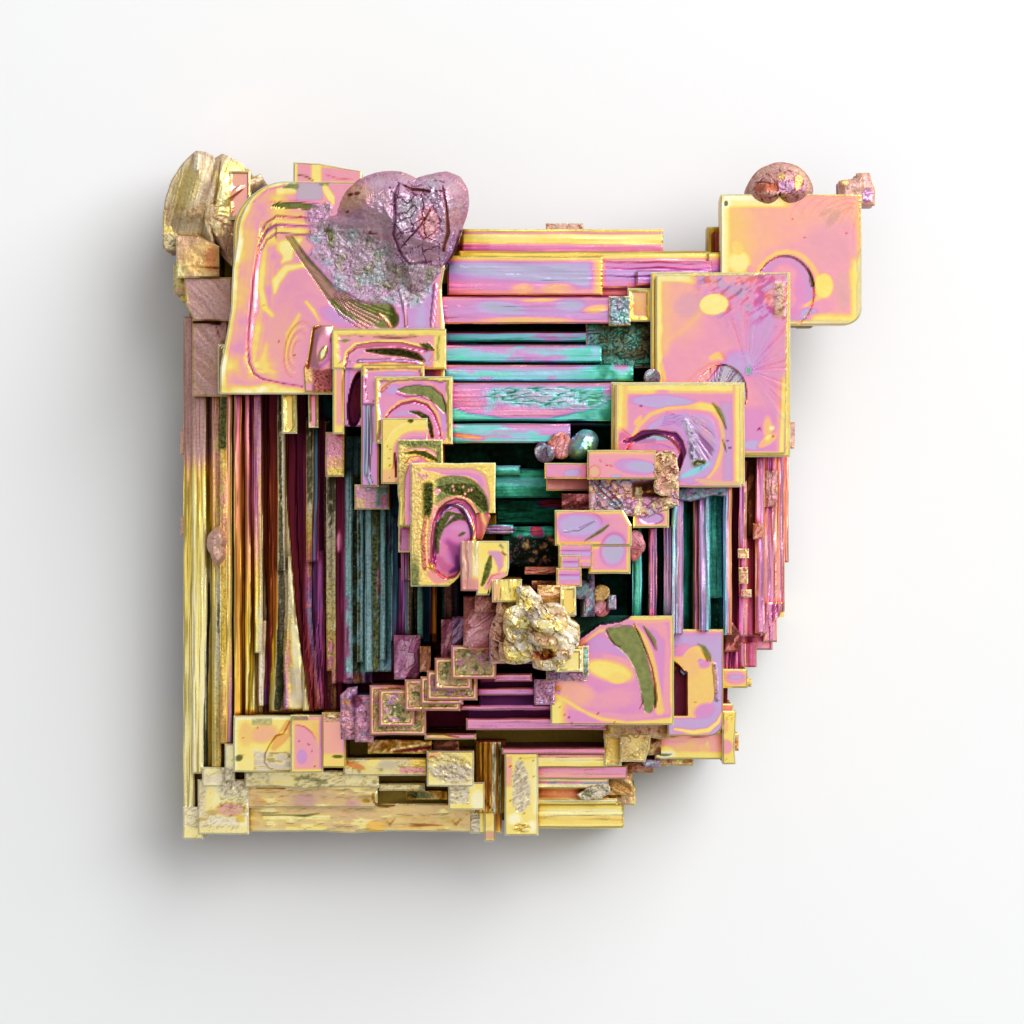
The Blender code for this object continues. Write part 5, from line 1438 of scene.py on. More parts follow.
def arch_step(face):
    """The large step below: its hollow is a tall arch of many thin shells."""
    x, y = face.x, face.y
    face.film = 0.20 + 0.03 * cloud(x, y, .8, 98)
    face.grain += .25
    face.put(ease(x, -6.6, -7.0), film=.21, grain=.45, dull=.15)
    face.put(ease(x, -6.9, -7.1) * ease(y, -3.5, -5.2), film=-.06)
    face.line([(-6.7, 1.9, .08), (-5.0, 1.75, .22), (-3.3, 1.72, .25), (-2.6, 1.3, .28), (-2.25, .2, .2),
        (-2.2, -1, .1)], film=0.44, grain=0, soft=.08)
    face.line([(-5.5, 1.6, .05), (-3.6, 1.55, .12), (-2.9, 1.3, .22), (-2.6, .8, .15)], film=0.57, grain=0,
        soft=.12)
    face.line([(-7.1, 1.6, .1), (-6.7, 1.3, .2), (-6.4, 1.5, .12)], film=0.36, grain=.4, dull=.25)
    shell = np.hypot((x + 4.55) / 2.45, (y + .7) / 2.2)
    olive = ease(shell, 1.02, .94) * ease(y, -1.6, -1.2)
    face.put(olive * ease(x, -6.2, -5.6), film=-.06, grain=.35, rise=-.05)
    face.put(ease(x, -6.9, -6.5) * ease(x, -5.9, -6.1) * ease(y, 1.2, .8) * ease(y, -1.8, -1.2), film=-.12,
        grain=.9, deep=.35)
    face.line([(-5.6, .6, .1), (-5.0, .5, .35), (-4.0, .45, .45), (-3.3, .3, .5), (-2.7, -.3, .42),
        (-2.4, -.9, .2)], film=.99, deep=.3, grain=.8, rise=-.06)
    for px, py in ((-4.6, .75), (-3.9, .7), (-4.55, .45), (-3.5, .45), (-3.3, .5), (-3.75, .2), (-5.6, .35)):
        face.spot(px, py, .09, .13, film=.40, deep=0, grain=.2)
    face.spot(-5.7, .35, .28, .22, 30, film=.42, deep=0, grain=.1)
    face.line([(-5.9, -2.2, .10), (-5.9, -1.2, .12), (-5.5, -.45, .13), (-4.9, -.12, .12), (-4.0, 0, .10),
        (-3.4, -.35, .13), (-3.0, -.9, .10), (-2.5, -1.9, .10)], film=.36, grain=.2, deep=.15)
    face.line([(-6.3, -4.6, .15), (-6.25, -3, .15), (-6.1, -1.6, .14), (-5.9, -.6, .1)], film=.40, grain=.35,
        deep=.1, soft=.1)
    face.line([(-6.6, -5, .16), (-6.7, -3, .16), (-6.5, -1.4, .1)], film=.36, grain=.8, deep=.3)
    arch = [(-6.0, -4.6), (-6.0, -3.0), (-5.85, -1.9), (-5.5, -1.0), (-5.0, -.55), (-4.4, -.3), (-3.9, -.4),
        (-3.5, -.8), (-3.2, -1.4), (-3.0, -2.1), (-2.9, -2.9)]
    hollow = stroke(face, [(-4.8, -1.6, 1.0), (-4.6, -2.6, 1.3), (-4.85, -4.0, 1.15), (-5.0, -4.8, .9)], .1)
    face.put(hollow, film=.53, grain=0, rise=-.45, dull=0, deep=.1)
    face.line([(px, py, .16) for px, py in arch], film=.50, deep=.45, grain=0, rise=-.1)
    face.line([(px + (.10 if px > -4.4 else .06), py - .12, .05) for px, py in arch], film=.60, deep=.6,
        grain=0)
    face.line([(-5.75, -1.8, .06), (-5.2, -.95, .10), (-4.5, -.62, .10), (-3.9, -.75, .09),
        (-3.5, -1.5, .07), (-3.3, -2.6, .06)], film=.70, deep=0, grain=0, rise=.06)
    face.line([(-4.2, -.95, .03), (-3.7, -1.3, .05), (-3.45, -2.4, .04), (-3.35, -3, .03)], deep=.9, film=.8)
    face.line([(-5.7, -3.9, .1), (-5.75, -2.9, .22), (-5.5, -2.0, .32), (-4.9, -1.45, .42),
        (-4.2, -1.4, .22), (-3.85, -1.6, .08)], film=-.06, deep=.35, grain=.4, dull=.35, soft=.08)
    face.line([(-5.1, -1.9, .02), (-4.75, -1.45, .10), (-4.55, -1.35, .03)], film=.55, deep=0, grain=0)
    face.line([(-4.6, -2.2, .15), (-3.9, -2.2, .3), (-3.8, -2.9, .2)], film=.55, deep=0, grain=0, dull=0,
        soft=.15)
    face.line([(-4.2, -2.75, .08), (-3.95, -2.6, .12), (-3.8, -2.55, .05)], film=-.06, dull=.4, deep=.3)
    face.line([(-5.0, -3.2, .2), (-4.4, -3.8, .5), (-4.35, -4.5, .35)], film=.56, deep=.5, soft=.3)
    face.line([(-5.6, -4.4, .3), (-5.2, -5.0, .35), (-4.6, -5.1, .3)], film=.50, deep=.35, soft=.2)
    face.line([(-4.35, -4.2, .1), (-4.3, -5.0, .2), (-4.8, -5.3, .1)], film=.62, deep=.75, soft=.15)
    for k in range(4):
        face.line([(-5.7 + .2 * k, -3.0 - .15 * k, .02), (-5.4 + .12 * k, -3.5, .035),
            (-5.5 + .1 * k, -4.2, .02)], film=.46, deep=.2)
    face.line([(-6.4, -5.0, .05), (-6.0, -5.35, .10), (-5.3, -5.45, .12), (-4.5, -5.6, .08)], film=.42,
        deep=.3, grain=0)
    face.line([(-6.3, -5.5, .2), (-5.8, -5.8, .35), (-5.2, -5.8, .2)], film=.40, deep=.1, grain=0, soft=.12)
    face.line([(-6.3, -4.4, .03), (-6.2, -5.0, .06), (-5.6, -5.3, .03)], deep=.85)
    face.hem(0.06, 0.10, 0.04)
    # the notch drops 8 mm and is painted dark as shade
    notch = np.minimum(x - np.interp(y, [-6.3, -5.6, -3.2, -1.1], [-4.9, -4.2, -3.0, -2.95]), -1.15 - y)
    face.put(ease(notch, 0.0, 0.06), rise=-8.0, deep=1.0)


def right_claw(face):
    """The red claw at the arch's right foot."""
    x, y = face.x, face.y
    face.film = 0.44 + 0.05 * cloud(x, y, .5, 99)
    face.deep += .35
    face.line([(-2.6, -1.0, .12), (-2.5, -1.6, .10), (-2.3, -2.0, .05)], film=.2, deep=0)
    face.line([(-2.9, -1.0, .06), (-2.7, -2.0, .12), (-2.7, -2.8, .15)], film=.40, deep=.6)
    face.hem(0.3, 0.08, 0.03)


def brown_wall(face):
    x, y = face.x, face.y
    face.film = 0.36 + 0.04 * cloud(x, y, .8, 100)
    face.dull += .6
    striped(face, 0, .22, .3, 101, .06)
    face.put(ease(x, -3.35, -3.15), film=.06, dull=.3)
    face.put(ease(y, -5.4, -6.0), film=.40, dull=.4, deep=.2)


def last_plate(face):
    x, y = face.x, face.y
    face.film = 0.15 + 0.03 * cloud(x, y, .6, 102)
    face.line([(-2.05, -3.9, .1), (-1.5, -4.1, .3), (-1.3, -4.8, .2), (-1.4, -5.2, .06)], film=.56, dull=.3,
        soft=.08)
    face.line([(-1.15, -3.7, .05), (-1.1, -4.2, .09), (-1.15, -4.8, .05)], film=.38)
    face.line([(-1.2, -3.85, .03), (-1.05, -4.0, .06), (-.85, -4.1, .03)], film=-.12, deep=.5)
    face.line([(-2.0, -4.2, .10), (-2.15, -4.9, .24), (-2.3, -5.5, .22), (-2.6, -6.2, .1)], film=.96,
        deep=.25, grain=.5, rise=-.05)
    face.line([(-1.3, -3.4, .1), (-1.1, -3.6, .05)], film=.92)
    face.line([(-1.0, -5.5, .25), (-1.8, -5.7, .3), (-2.3, -6.4, .12)], film=.42, soft=.1)
    face.line([(-1.3, -5.35, .02), (-1.9, -5.55, .04), (-2.2, -6.1, .03)], deep=.6)
    face.put(ease(x, -2.75, -2.9), film=.05, dull=.3)
    face.hem(0.05, 0.10, 0.04)


def small_speckled(face):
    x, y = face.x, face.y
    face.film = 0.47 + 0.04 * cloud(x, y, .6, 103)
    face.grain += .45
    face.put(ease(y, 2.4, 1.9), film=.18)
    face.put(ease(y, 3.0, 2.6) * ease(y, 1.9, 2.3), film=.34)
    face.put(ease(x, -13.35, -13.5), film=.62, dull=.3)
    face.hem(0.1, 0.08, 0.03)


grow_group("north_west_steps", [
    ((-13.1, -5.1, 8.9, 11.75, 15.7, 9.0), step_look(.46, .17, .5, 105, first_step), dict(step=.085)),
    ((-13.05, -12.25, 4.35, 11.2, 15.5, 5.2), first_bar, dict(step=.08, along=.16)),
    ((-12.3, -10.9, 4.9, 10.2, 15.3, 8.2), hollow_floor, dict(step=.09)),
    ((-11.0, -6.6, 6.4, 9.25, 16.7, 8.8), step_look(.52, .2, .3, 106, second_step), dict(step=.09)),
    ((-11.05, -9.8, 0.7, 9.1, 16.5, 6.1), second_bar, dict(step=.08, along=.14)),
    ((-11.5, -9.1, -0.9, 0.85, 16.2, 8.3), bar_foot, dict(step=.1)),
    ((-10.1, -4.65, 3.7, 8.4, 17.7, 9.6), step_look(.5, .18, .3, 107, third_step), CLOSE),
    ((-9.65, -6.4, 0.9, 5.5, 18.7, 8.0), fourth_step, dict(step=.09)),
    ((-8.5, -5.35, -2.1, 4.0, 19.7, 9.1), fifth_step, dict(step=.09,
        sides={"W": [(-2.1, 0), (-.5, .1), (.2, .0)]})),
    ((-7.6, -1.65, -6.3, 2.35, 21.0, 10.2), arch_step, dict(step=.075)),
    ((-3.1, -2.1, -3.0, -.9, 20.6, 12.0), right_claw, dict(step=.1,
        sides={"E": [(-3, -.5), (-2, -.1), (-1.4, .1), (-.9, 0)]})),
    ((-4.1, -2.85, -6.6, -3.1, 22.3, 12.0), brown_wall, dict(step=.1)),
    ((-3.0, -0.7, -6.9, -3.1, 21.8, 11.5), last_plate, dict(step=.09,
        sides={"E": [(-6.9, -1.4), (-6.0, -1.0), (-5.5, -.1), (-5, 0)]})),
    ((-16.6, -15.55, 4.4, 8.0, 11.7, 3.2), plate_look(.2, .12, .25, seed=108), FINE),
    ((-14.75, -14.05, 4.8, 8.1, 12.1, 3.8), plate_look(.45, .3, .15, seed=109), FINE),
    ((-13.55, -12.25, 1.4, 4.5, 13.4, 5.0), small_speckled, dict(step=.09)),
    ((-8.45, -7.6, -3.9, -2.1, 17.9, 9.0), plate_look(.54, .6, .1, seed=110, grain=.3), dict(step=.1)),
])

# %% [markdown]
# ### Plates of the north-east arm
#
# The outermost plate is nearly smooth, with a gold corner and one bowed hollow. The
# one inside it is frosted where its surface froze in feathers. The third carries a
# ring of frost: a hollow that filled late, with a fan of fine ribs in it.

# %% The outer plate and its clot


def feathers(face, cx, cy, strength, seed, turns=40.0):
    """Frost that radiates from one place: fine ribs whose colour wanders, with painted shade between them."""
    angle = np.arctan2(face.y - cy, face.x - cx)
    far = np.hypot(face.x - cx, face.y - cy)
    rib = cloud(angle * turns / 6.0 + 0.4 * cloud(face.x, face.y, 1.2, seed), far * 0.25, 1.0, seed + 1, 3)
    face.film += strength * 0.045 * rib
    face.rise += strength * 0.012 * rib
    face.deep += strength * 0.22 * ease(rib, -0.2, -0.5)
    face.dull += strength * 0.2 * ease(rib, 0.1, 0.5)


def outer_look(face):
    x, y = face.x, face.y
    face.film = 0.38 + 0.028 * cloud(x, y, 2.5, 121)
    face.put(ease(x + 0.4 * (y - 18), 19.5, 16.0) * ease(y, 16.5, 17.8), film=0.33)
    face.put(ease(x + 0.15 * y, 19.6, 18.0) * ease(y, 15.5, 16.5), film=0.27)
    face.put(ease(x, 14.9, 14.5) + ease(y, 20.1, 20.45) * ease(x + 0.5 * (y - 20), 19.6, 18.4), film=0.10)
    face.put(ease(x, 14.42, 14.3) + ease(y, 20.6, 20.8) * ease(x, 18.6, 17.6), film=0.03)
    face.put(ease(y + 0.25 * x, 25.55, 25.75) * ease(x, 19.8, 18.4), film=0.12)
    face.spot(15.4, 16.4, .75, .75, 0, .5, film=0.12)
    face.spot(15.3, 17.4, .4, .5, 20, .5, film=0.22)
    face.spot(16.2, 15.9, .25, .3, 0, .5, film=0.42)
    rose = ease(y - 0.35 * (x - 18), 17.8, 17.0) * ease(x, 16.8, 17.6)
    face.put(rose, film=0.43)
    face.spot(21.8, 17.6, 1.8, 1.6, 0, .9, film=0.44, dull=.15)
    # the bowed hollow
    face.arc(18.75, 14.4, 2.3, 2.75, -60, 175, .16, 0, 1, film=0.24, soft=.12)
    inside = ease(np.hypot((x - 18.6) / 2.05, (y - 14.3) / 2.55), 1.04, .96)
    face.put(inside, film=0.58, dull=.12, rise=-0.09)
    face.spot(18.6, 14.6, 1.2, 1.75, 0, .5, film=0.45, dull=0)
    face.put(disc(face, 19.7, 14.2, .35, 1.3, 10, .6) + disc(face, 19.5, 13.1, .7, .35, 35, .6), film=0.53,
        dull=0)
    face.arc(18.6, 14.3, 2.06, 2.56, -40, 150, .03, 0, 1, deep=0.35)
    face.line([(20.25, 15.95, .03), (20.42, 15.4, .10), (20.55, 14.9, .13), (20.62, 14.7, .06)], film=-.06)
    face.line([(20.2, 16.1, .02), (20.5, 15.5, .04), (20.66, 14.8, .04), (20.45, 14.7, .03),
        (20.3, 15.3, .02)], deep=.85)
    # gold spot, rose field, gold corner
    face.spot(21.35, 14.75, .65, .85, 0, .25, film=0.16)
    face.line([(20.9, 13.9, .12), (20.3, 13.5, .16), (19.9, 13.3, .05)], film=0.24)
    face.spot(21.2, 13.3, .95, .5, 8, .4, film=0.47)
    face.spot(20.35, 12.75, .65, .45, 0, .6, film=0.70, dull=.1)
    face.spot(22.7, 14.4, .55, 1.35, 0, .3, film=0.42, dull=.3)
    east = 24.0 - x + 0.12 * cloud(x, y, .7, 122)
    low = y - 12.0 + 0.10 * cloud(x, y, .7, 123)
    corner = np.minimum(east, low * 1.05)
    face.put(ease(corner, 1.0, .7) * ease(y, 17.5, 15.5) * ease(x, 20, 21), film=0.25)
    face.put(ease(corner, .75, .5) * ease(y, 17.0, 16.0) * ease(x, 20, 21), film=0.16)
    face.put(ease(corner, .40, .2) * ease(y, 18.0, 16.5), film=-.06, dull=.35)
    face.put(ease(corner, .40, .2) * ease(y, 18.0, 16.5), film=0.12)
    face.put(ease(east, .6, .3) * ease(y, 16.8, 17.4), film=0.30)
    # frost in the far corner
    frost = ease(x + 0.9 * (y - 20), 20.8, 22.6)
    for k in range(6):
        face.arc(23.4 - .15 * k, 19.2 - .1 * k, 1.1 + .55 * k, 1.0 + .42 * k, 70, 165, .035, 0, deep=.28)
    feathers(face, 23.6, 20.7, frost * .8, 124, 60)
    face.put(disc(face, 22.0, 19.5, .3, .8, -35, .7) + disc(face, 21.5, 19.9, .5, .15, 30, .7), dull=.5,
        deep=.1)
    face.spot(19.15, 19.45, .07, .05, deep=.9)
    for px, py in ((20.0, 18.1), (22.9, 18.4), (18.05, 20.5)):
        face.spot(px, py, .07, .06, deep=.6)
    face.hem(0.05, 0.12, 0.05)


def round_clot(face):
    x, y, e = face.x, face.y, face.edge
    face.rise += 1.2 * ease(e, -.3, 1.5) + 0.10 * cloud(x, y, .5, 125, 4)
    face.film = 0.36 + 0.05 * cloud(x, y, .6, 126)
    face.dull += 0.6
    face.grain += 0.45
    mid = ease(e, .35, .55)
    rock = cells(x, y, 0.55, 127)
    face.put(mid * ease(rock, .10, .03), deep=.8)
    face.put(mid, film=0.40, dull=.45)
    face.area(18.1, 19.9, 21.2, 22.0, .2, film=.58, dull=.4)
    face.area(16.5, 18.0, 21.25, 21.8, .15, film=.36, deep=.45, dull=.1)
    face.line([(16.5, 21.9, .03), (17.0, 21.95, .05), (18.0, 21.7, .04), (18.05, 21.3, .06)], deep=.95)
    face.spot(19.5, 21.9, .3, .6, -15, .7, film=.13, dull=.2)
    face.spot(18.3, 22.3, .25, .2, film=.20, dull=.1)
    # painted shade round the foot of the clot
    face.deep += .25 * ease(e, .3, .0)


def small_lump(face):
    x, y = face.x, face.y
    face.film = 0.38 + 0.06 * cloud(x, y, .6, 128)
    face.dull += 0.5
    face.grain += 0.45
    face.rise += 0.12 * cloud(x, y, .6, 129, 4) + 0.2 * ease(face.edge, 0, .5)
    face.spot(24.35, 21.0, .35, .5, 0, .6, film=.60, dull=.1, grain=0)
    face.spot(24.5, 21.75, .3, .15, film=.40, dull=0)
    face.spot(22.8, 21.9, .3, .15, film=.12, dull=.1)
    face.put(ease(face.edge, .15, .05), dull=.35, film=.3)


grow_group("north_east_plate", [
    ((14.1, 24.0, 12.0, 21.15, 10.1, 8.5), outer_look, dict(step=0.1, corner=((1, -1), 1.2), layer=0.3)),
    ((14.6, 23.1, 12.8, 20.5, 8.8, 7.3), under_sheet, COARSE),
    ((14.0, 23.5, 12.3, 20.8, 7.5, 6.4), under_sheet, COARSE),
    ((14.4, 22.4, 12.9, 20.0, 6.6, 5.3), under_sheet, COARSE),
    ((13.2, 20.6, 11.9, 18.9, 5.5, 3.1), under_sheet, COARSE),
    ((15.8, 20.6, 20.4, 23.4, 9.7, 7.3), round_clot, dict(step=.08, outline=[
        (18.2, 21.2), (20.6, 21.4), (20.45, 22.0), (20.1, 22.6), (19.5, 23.1), (18.8, 23.35), (18.1, 23.4),
            (17.4, 23.2), (16.7, 22.8),
        (16.2, 22.2), (15.9, 21.6), (15.9, 21.0), (18.2, 20.8), (20.5, 21.1)])),
    ((22.4, 24.1, 20.6, 22.2, 9.2, 6.9), small_lump, dict(step=.1,
        sides={"N": [(22.4, -.1), (23.6, .1), (24.1, .3)]})),
    ((23.6, 24.95, 20.35, 22.65, 8.9, 6.2), small_lump, dict(step=.1,
        sides={"E": [(20.3, 0), (21.6, 0), (21.9, -.2), (22.7, -.4)]})),
])

# %% The frosted plate


def frosted_look(face):
    x, y = face.x, face.y
    x0, x1, y0, y1 = face.block[:4]
    face.film = 0.46 + 0.03 * cloud(x, y, 2.4, 131)
    face.put(ease(y - 0.25 * (x - 12), 10.2, 12.0) * ease(x, 13.6, 12.0), film=0.37)
    face.spot(12.0, 13.4, 1.15, .85, 20, .6, film=0.45, dull=.35)
    # western rim
    west = x - x0 + 0.10 * cloud(x, y, .9, 132)
    face.put(ease(west, 1.3, .8) * ease(y, 9.5, 11.0), film=0.32)
    face.put(ease(west, .55, .38), film=0.14)
    face.line([(9.95, 9.2, .15), (10.2, 8.2, .12)], film=0.26, soft=.1)
    face.line([(10.2, 9.9, .1), (10.3, 10.9, .22), (11.0, 11.3, .16), (11.9, 12.0, .16), (12.6, 12.8, .2)],
        film=0.30, soft=.3)
    # northern rim
    north = y1 - y
    face.put(ease(north + 0.10 * cloud(x, y, .8, 133) - 0.12 * (x - 15), 1.15, .9) * ease(x, 16.2, 15.2),
        film=0.20)
    face.put(ease(north, .55, .45) * ease(x, 16.9, 16.2), film=0.11, dull=.15)
    face.put(ease(north - .1, .35, .2) * ease(x, 16.4, 17.0), film=0.28)
    face.spot(14.9, 14.4, .4, .25, 20, .6, film=.30)
    # frost
    frost = ease(x + 0.55 * (y - 11) + 0.5 * cloud(x, y, 1.4, 134), 13.9, 15.6)
    face.put(frost * .8, film=0.515, dull=.12)
    face.put(frost * disc(face, 17.0, 12.0, .9, 3.2, -8, .9), film=.60)
    face.spot(15.5, 9.3, 1.3, .9, 0, .9, film=.64)
    feathers(face, 16.05, 8.8, frost * ease(y, 13.0, 11.5), 135, 70)
    u, v = turned(face, 0, 0, 35)
    rib = cloud(u * .35, v, .22, 136, 3)
    upper = frost * ease(y, 11.5, 12.8)
    face.film += upper * .08 * rib
    face.rise += upper * .015 * rib
    face.put(upper * ease(rib, -.05, -.35), deep=.4)
    face.put(upper * ease(cloud(x, y, .7, 137), .15, .4), dull=.45, film=.62)
    face.area(17.9, 18.6, 12.6, 15.0, .3, film=.3, dull=.65, grain=.5)
    face.spot(17.7, 13.9, .55, .6, 0, .5, film=.42)
    for k in range(7):
        face.arc(17.9, 13.7, .25 + .09 * k, .3 + .12 * k, 20 + 40 * k, 150 + 40 * k, .03, 0, deep=.55)
    face.spot(13.65, 13.45, 1.02, .74, 8, .12, film=0.135, deep=0, dull=0)
    face.arc(13.7, 13.4, 1.1, .8, -60, 90, .04, 8, deep=.3)
    face.spot(16.05, 8.8, .2, .26, 0, .3, film=.88, dull=.35)
    face.arc(16.05, 8.8, .24, .3, 0, 360, .025, 0, 1, deep=.5)
    # half-round fan that the next plate partly hides
    fan = ease(np.hypot((x - 14.2) / 1.75, (y - 7.2) / 2.0), 1.03, .97)
    face.put(fan, film=.70, dull=.3, rise=-.1)
    angle = np.arctan2(y - 6.6, x - 13.6)
    ribs = cloud(angle * 3.2, 0 * x, .16, 138, 2)
    face.film += fan * .04 * ribs
    face.rise += fan * .02 * ribs
    face.put(fan * ease(ribs, -.1, -.4), deep=.6)
    face.put(fan * ease(x - .7 * (y - 8), 13.5, 13.1), film=.44, dull=.1)
    face.line([(11.7, 8.0, .02), (12.6, 8.8, .03), (13.4, 9.3, .03), (14.0, 9.35, .04)], film=.30, deep=.5)
    face.line([(13.2, 8.1, .02), (13.8, 8.8, .03), (14.1, 9.25, .04), (14.5, 9.2, .05)], deep=.95)
    face.line([(14.6, 9.2, .02), (15.3, 8.6, .04), (15.75, 7.9, .03), (15.95, 7.2, .02), (15.7, 6.0, .02)],
        deep=.6)
    face.line([(13.5, 9.7, .2), (13.9, 9.85, .28), (14.2, 9.6, .1)], film=.25, soft=.08)
    face.line([(14.1, 10.1, .03), (14.4, 9.8, .05), (14.5, 9.5, .03)], film=.26, deep=.5)
    # lower right
    face.area(15.5, 18.0, 3.2, 6.2, .8, film=.55)
    face.spot(16.5, 3.6, .9, .35, 0, .8, film=.68)
    face.put(disc(face, 17.4, 3.9, .8, .3, 35, .6) + disc(face, 17.4, 4.8, .3, .8, 0, .8), film=.30)
    face.spot(17.7, 4.8, .18, .18, 0, .4, film=.05, dull=.3)
    face.line([(16.7, 4.65, .03), (16.85, 4.8, .06), (16.95, 4.65, .03)], deep=.9)
    face.spot(17.8, 4.2, .10, .10, dull=.5, deep=.5)
    east = x1 - x
    face.put(ease(east, .85, .6) * ease(y, 9.0, 7.5), film=.40)
    face.put(ease(np.abs(east - .35 + .04 * (y - 5)), .2, .1) * ease(y, 9.0, 7.8), film=.15)
    face.put(ease(east, .2, .1) * ease(y, 12.8, 11.5), film=.33)
    face.put(ease(y - y0, .25, .12), film=.20)
    face.hem(0.05, 0.10, 0.04)


grow_group("east_plate", [
    ((9.55, 18.8, 2.95, 15.55, 13.1, 12.1), frosted_look, dict(step=.09, layer=.3,
        sides={"N": [(9.5, 0), (14, .0), (18.8, .15)], "E": [(3, -.1), (15, .05)]})),
    ((9.2, 19.0, 2.75, 15.7, 12.5, 11.2), under_sheet, COARSE),
    ((9.8, 18.6, 3.3, 15.2, 11.5, 10.0), under_sheet, COARSE),
    ((9.4, 18.9, 2.9, 15.5, 10.3, 9.1), under_sheet, COARSE),
    ((9.9, 18.3, 3.5, 14.8, 9.3, 4.0), under_sheet, COARSE),
    ((18.0, 19.3, 3.35, 5.2, 8.9, 5.2), small_lump, FINE),
])

# %% The plate with the ring of frost


def ring_look(face):
    x, y = face.x, face.y
    x0, x1, _, y1 = face.block[:4]
    face.film = 0.49 + 0.02 * cloud(x, y, 2.0, 141)
    face.spot(10.2, 6.6, 2.3, .45, -4, .5, film=.70)
    face.spot(9.6, 6.8, 1.3, .3, 4, .6, film=.66)
    face.area(14.1, 14.9, .8, 6.6, .3, film=.62, dull=.2)
    face.area(13.0, 14.3, .7, 3.0, .4, film=.44)
    face.line([(8.3, 5.2, .25), (8.5, 5.6, .1)], film=.27, soft=.1)
    band = [(8.0, 4.2), (8.4, 5.0), (9.2, 5.75), (10.3, 6.15), (11.6, 6.25), (12.7, 6.35), (13.6, 6.2),
        (14.1, 5.4), (14.3, 4.3), (14.2, 3.2), (13.9, 2.2), (13.3, 1.4)]
    face.line([(px, py, .14 + .16 * (px > 12 and py > 5.5)) for px, py in band], film=.25, soft=.1)
    face.spot(13.2, 6.25, .9, .25, -10, .5, film=.20)
    face.line([(13.6, 6.55, .05), (14.0, 6.1, .15), (14.3, 5.5, .12), (14.5, 4.8, .04)], film=-.06)
    face.line([(13.5, 6.55, .02), (13.95, 5.9, .04), (14.3, 5.2, .03), (14.5, 4.7, .03)], deep=.8)
    face.line([(14.25, 4.0, .02), (14.4, 3.5, .05), (14.5, 3.1, .02)], film=-.06, deep=.6)
    # the ring
    ring = stroke(face, [(9.2, 4.7, .3), (10.3, 5.3, .45), (11.6, 5.1, .75), (12.6, 4.6, 1.15),
        (12.9, 3.6, 1.15), (12.6, 2.4, 1.1), (12.0, 1.7, .8)], .07)
    face.put(ring, film=.645, dull=.05, rise=.01)
    face.line([(9.6, 4.75, .1), (10.6, 4.95, .3), (11.3, 4.6, .3), (11.7, 3.8, .25)], film=.60, soft=.15)
    fan = stroke(face, [(11.9, 5.5, .2), (12.6, 4.9, .55), (13.0, 4.0, .75), (13.0, 3.2, .7)], .15)
    angle = np.arctan2(y - 6.6, x - 10.6)
    ribs = cloud(angle * 4.0, 0.1 * x, .13, 142, 2)
    face.put(fan, film=.66, dull=.3)
    face.film += fan * .04 * ribs
    face.rise += fan * .02 * ribs
    face.put(fan * ease(ribs, -.05, -.35), deep=.5)
    face.put(fan * ease(ribs, .15, .4) * ease(y, 3.2, 4.2), film=.36, dull=.3)
    frost = stroke(face, [(11.7, 5.2, .2), (12.2, 4.2, .35), (12.4, 3.0, .5), (12.6, 2.4, .5)],
        .2) * (1 - .6 * fan)
    face.put(frost, film=.72, dull=.3, grain=.6)
    face.put(frost * ease(cloud(x, y, .22, 143), .1, .3), deep=.6)
    face.spot(12.6, 2.35, .55, .22, 10, .6, film=-.06, dull=.4)
    face.put(stroke(face, [(11.3, 1.3, .15), (12.2, 1.75, .25), (13.3, 2.3, .12)], .1), film=.79, dull=0,
        grain=0)
    face.spot(12.0, 1.15, .8, .2, 0, .6, film=.62, dull=0)
    # shadowed lip and the pocket beneath it
    lip = [(7.4, 3.85, .10), (8.1, 4.05, .20), (8.7, 4.35, .28), (9.4, 4.5, .16), (10.2, 4.42, .13),
        (10.9, 4.3, .15), (11.3, 3.8, .16), (11.5, 3.1, .18), (11.3, 2.5, .16), (11.15, 1.9, .12)]
    pocket = ease(np.hypot((x - 9.4) / 2.0, (y - 2.6) / 1.75), 1.05, .95)
    face.put(pocket, film=.50, rise=-.25, dull=0, deep=.05)
    face.put(pocket * ease(y, 3.85, 4.0), film=.76, dull=.2)
    face.put(pocket * patch(face, 8.0, 9.6, 3.75, 4.1, .15), film=.62, dull=.3, deep=.3)
    face.line([(8.8, 3.45, .05), (9.8, 3.55, .08), (10.8, 3.4, .08)], film=.60)
    face.line([(8.8, 3.62, .02), (10.0, 3.66, .03), (10.9, 3.3, .02)], deep=.5)
    face.line(lip, film=.60, deep=.9, rise=-.12, soft=.06)
    face.line([(7.0, 3.9, .10), (7.2, 4.3, .2), (7.5, 4.1, .2)], film=.50, deep=.3)
    face.line([(7.0, 4.9, .02), (7.5, 4.5, .06), (7.9, 4.2, .02)], film=.46, deep=.5)
    face.put(patch(face, 6.7, 9, 3.25, 3.75, .15) * ease(x, 8.3, 7.6), film=.50, deep=.25)
    for px, py in ((8.55, 6.35), (10.8, 5.75), (14.6, 3.9), (14.75, 3.4)):
        face.spot(px, py, .12, .07, deep=.6)
    for k in range(7):
        face.line([(10.0 + .05 * k, 4.95 + .16 * k, .02), (10.9, 5.1 + .10 * k, .02),
            (11.3 + .05 * k, 4.9 + .12 * k, .015)], deep=.45)
    # rims
    rim = y1 - y + .12 * cloud(x, y, 1.1, 144)
    face.put(ease(rim, .80, .62) * ease(x, 9.9, 9.4), film=.24)
    face.put(ease(rim, .75, .60) * ease(x, 10.2, 10.6), film=.30)
    face.put(ease(rim, .55, .42), film=.155)
    west = x - x0 + .10 * cloud(x, y, .9, 145)
    face.put(ease(west, 1.05, .75) * ease(y, 4.4, 5.0), film=.26)
    face.put(ease(west, .62, .42) * ease(y, 4.4, 5.0), film=.16)
    face.put(ease(west, .3, .15), film=.20, dull=.4)
    east = x1 - x
    face.put(ease(east, .62, .5), film=.34)
    face.put(ease(east, .45, .36), film=.155)
    face.line([(12.4, 1.2, .1), (13.4, .95, .2), (15.2, .85, .2)], film=.30, dull=.35)
    face.hem(.05)


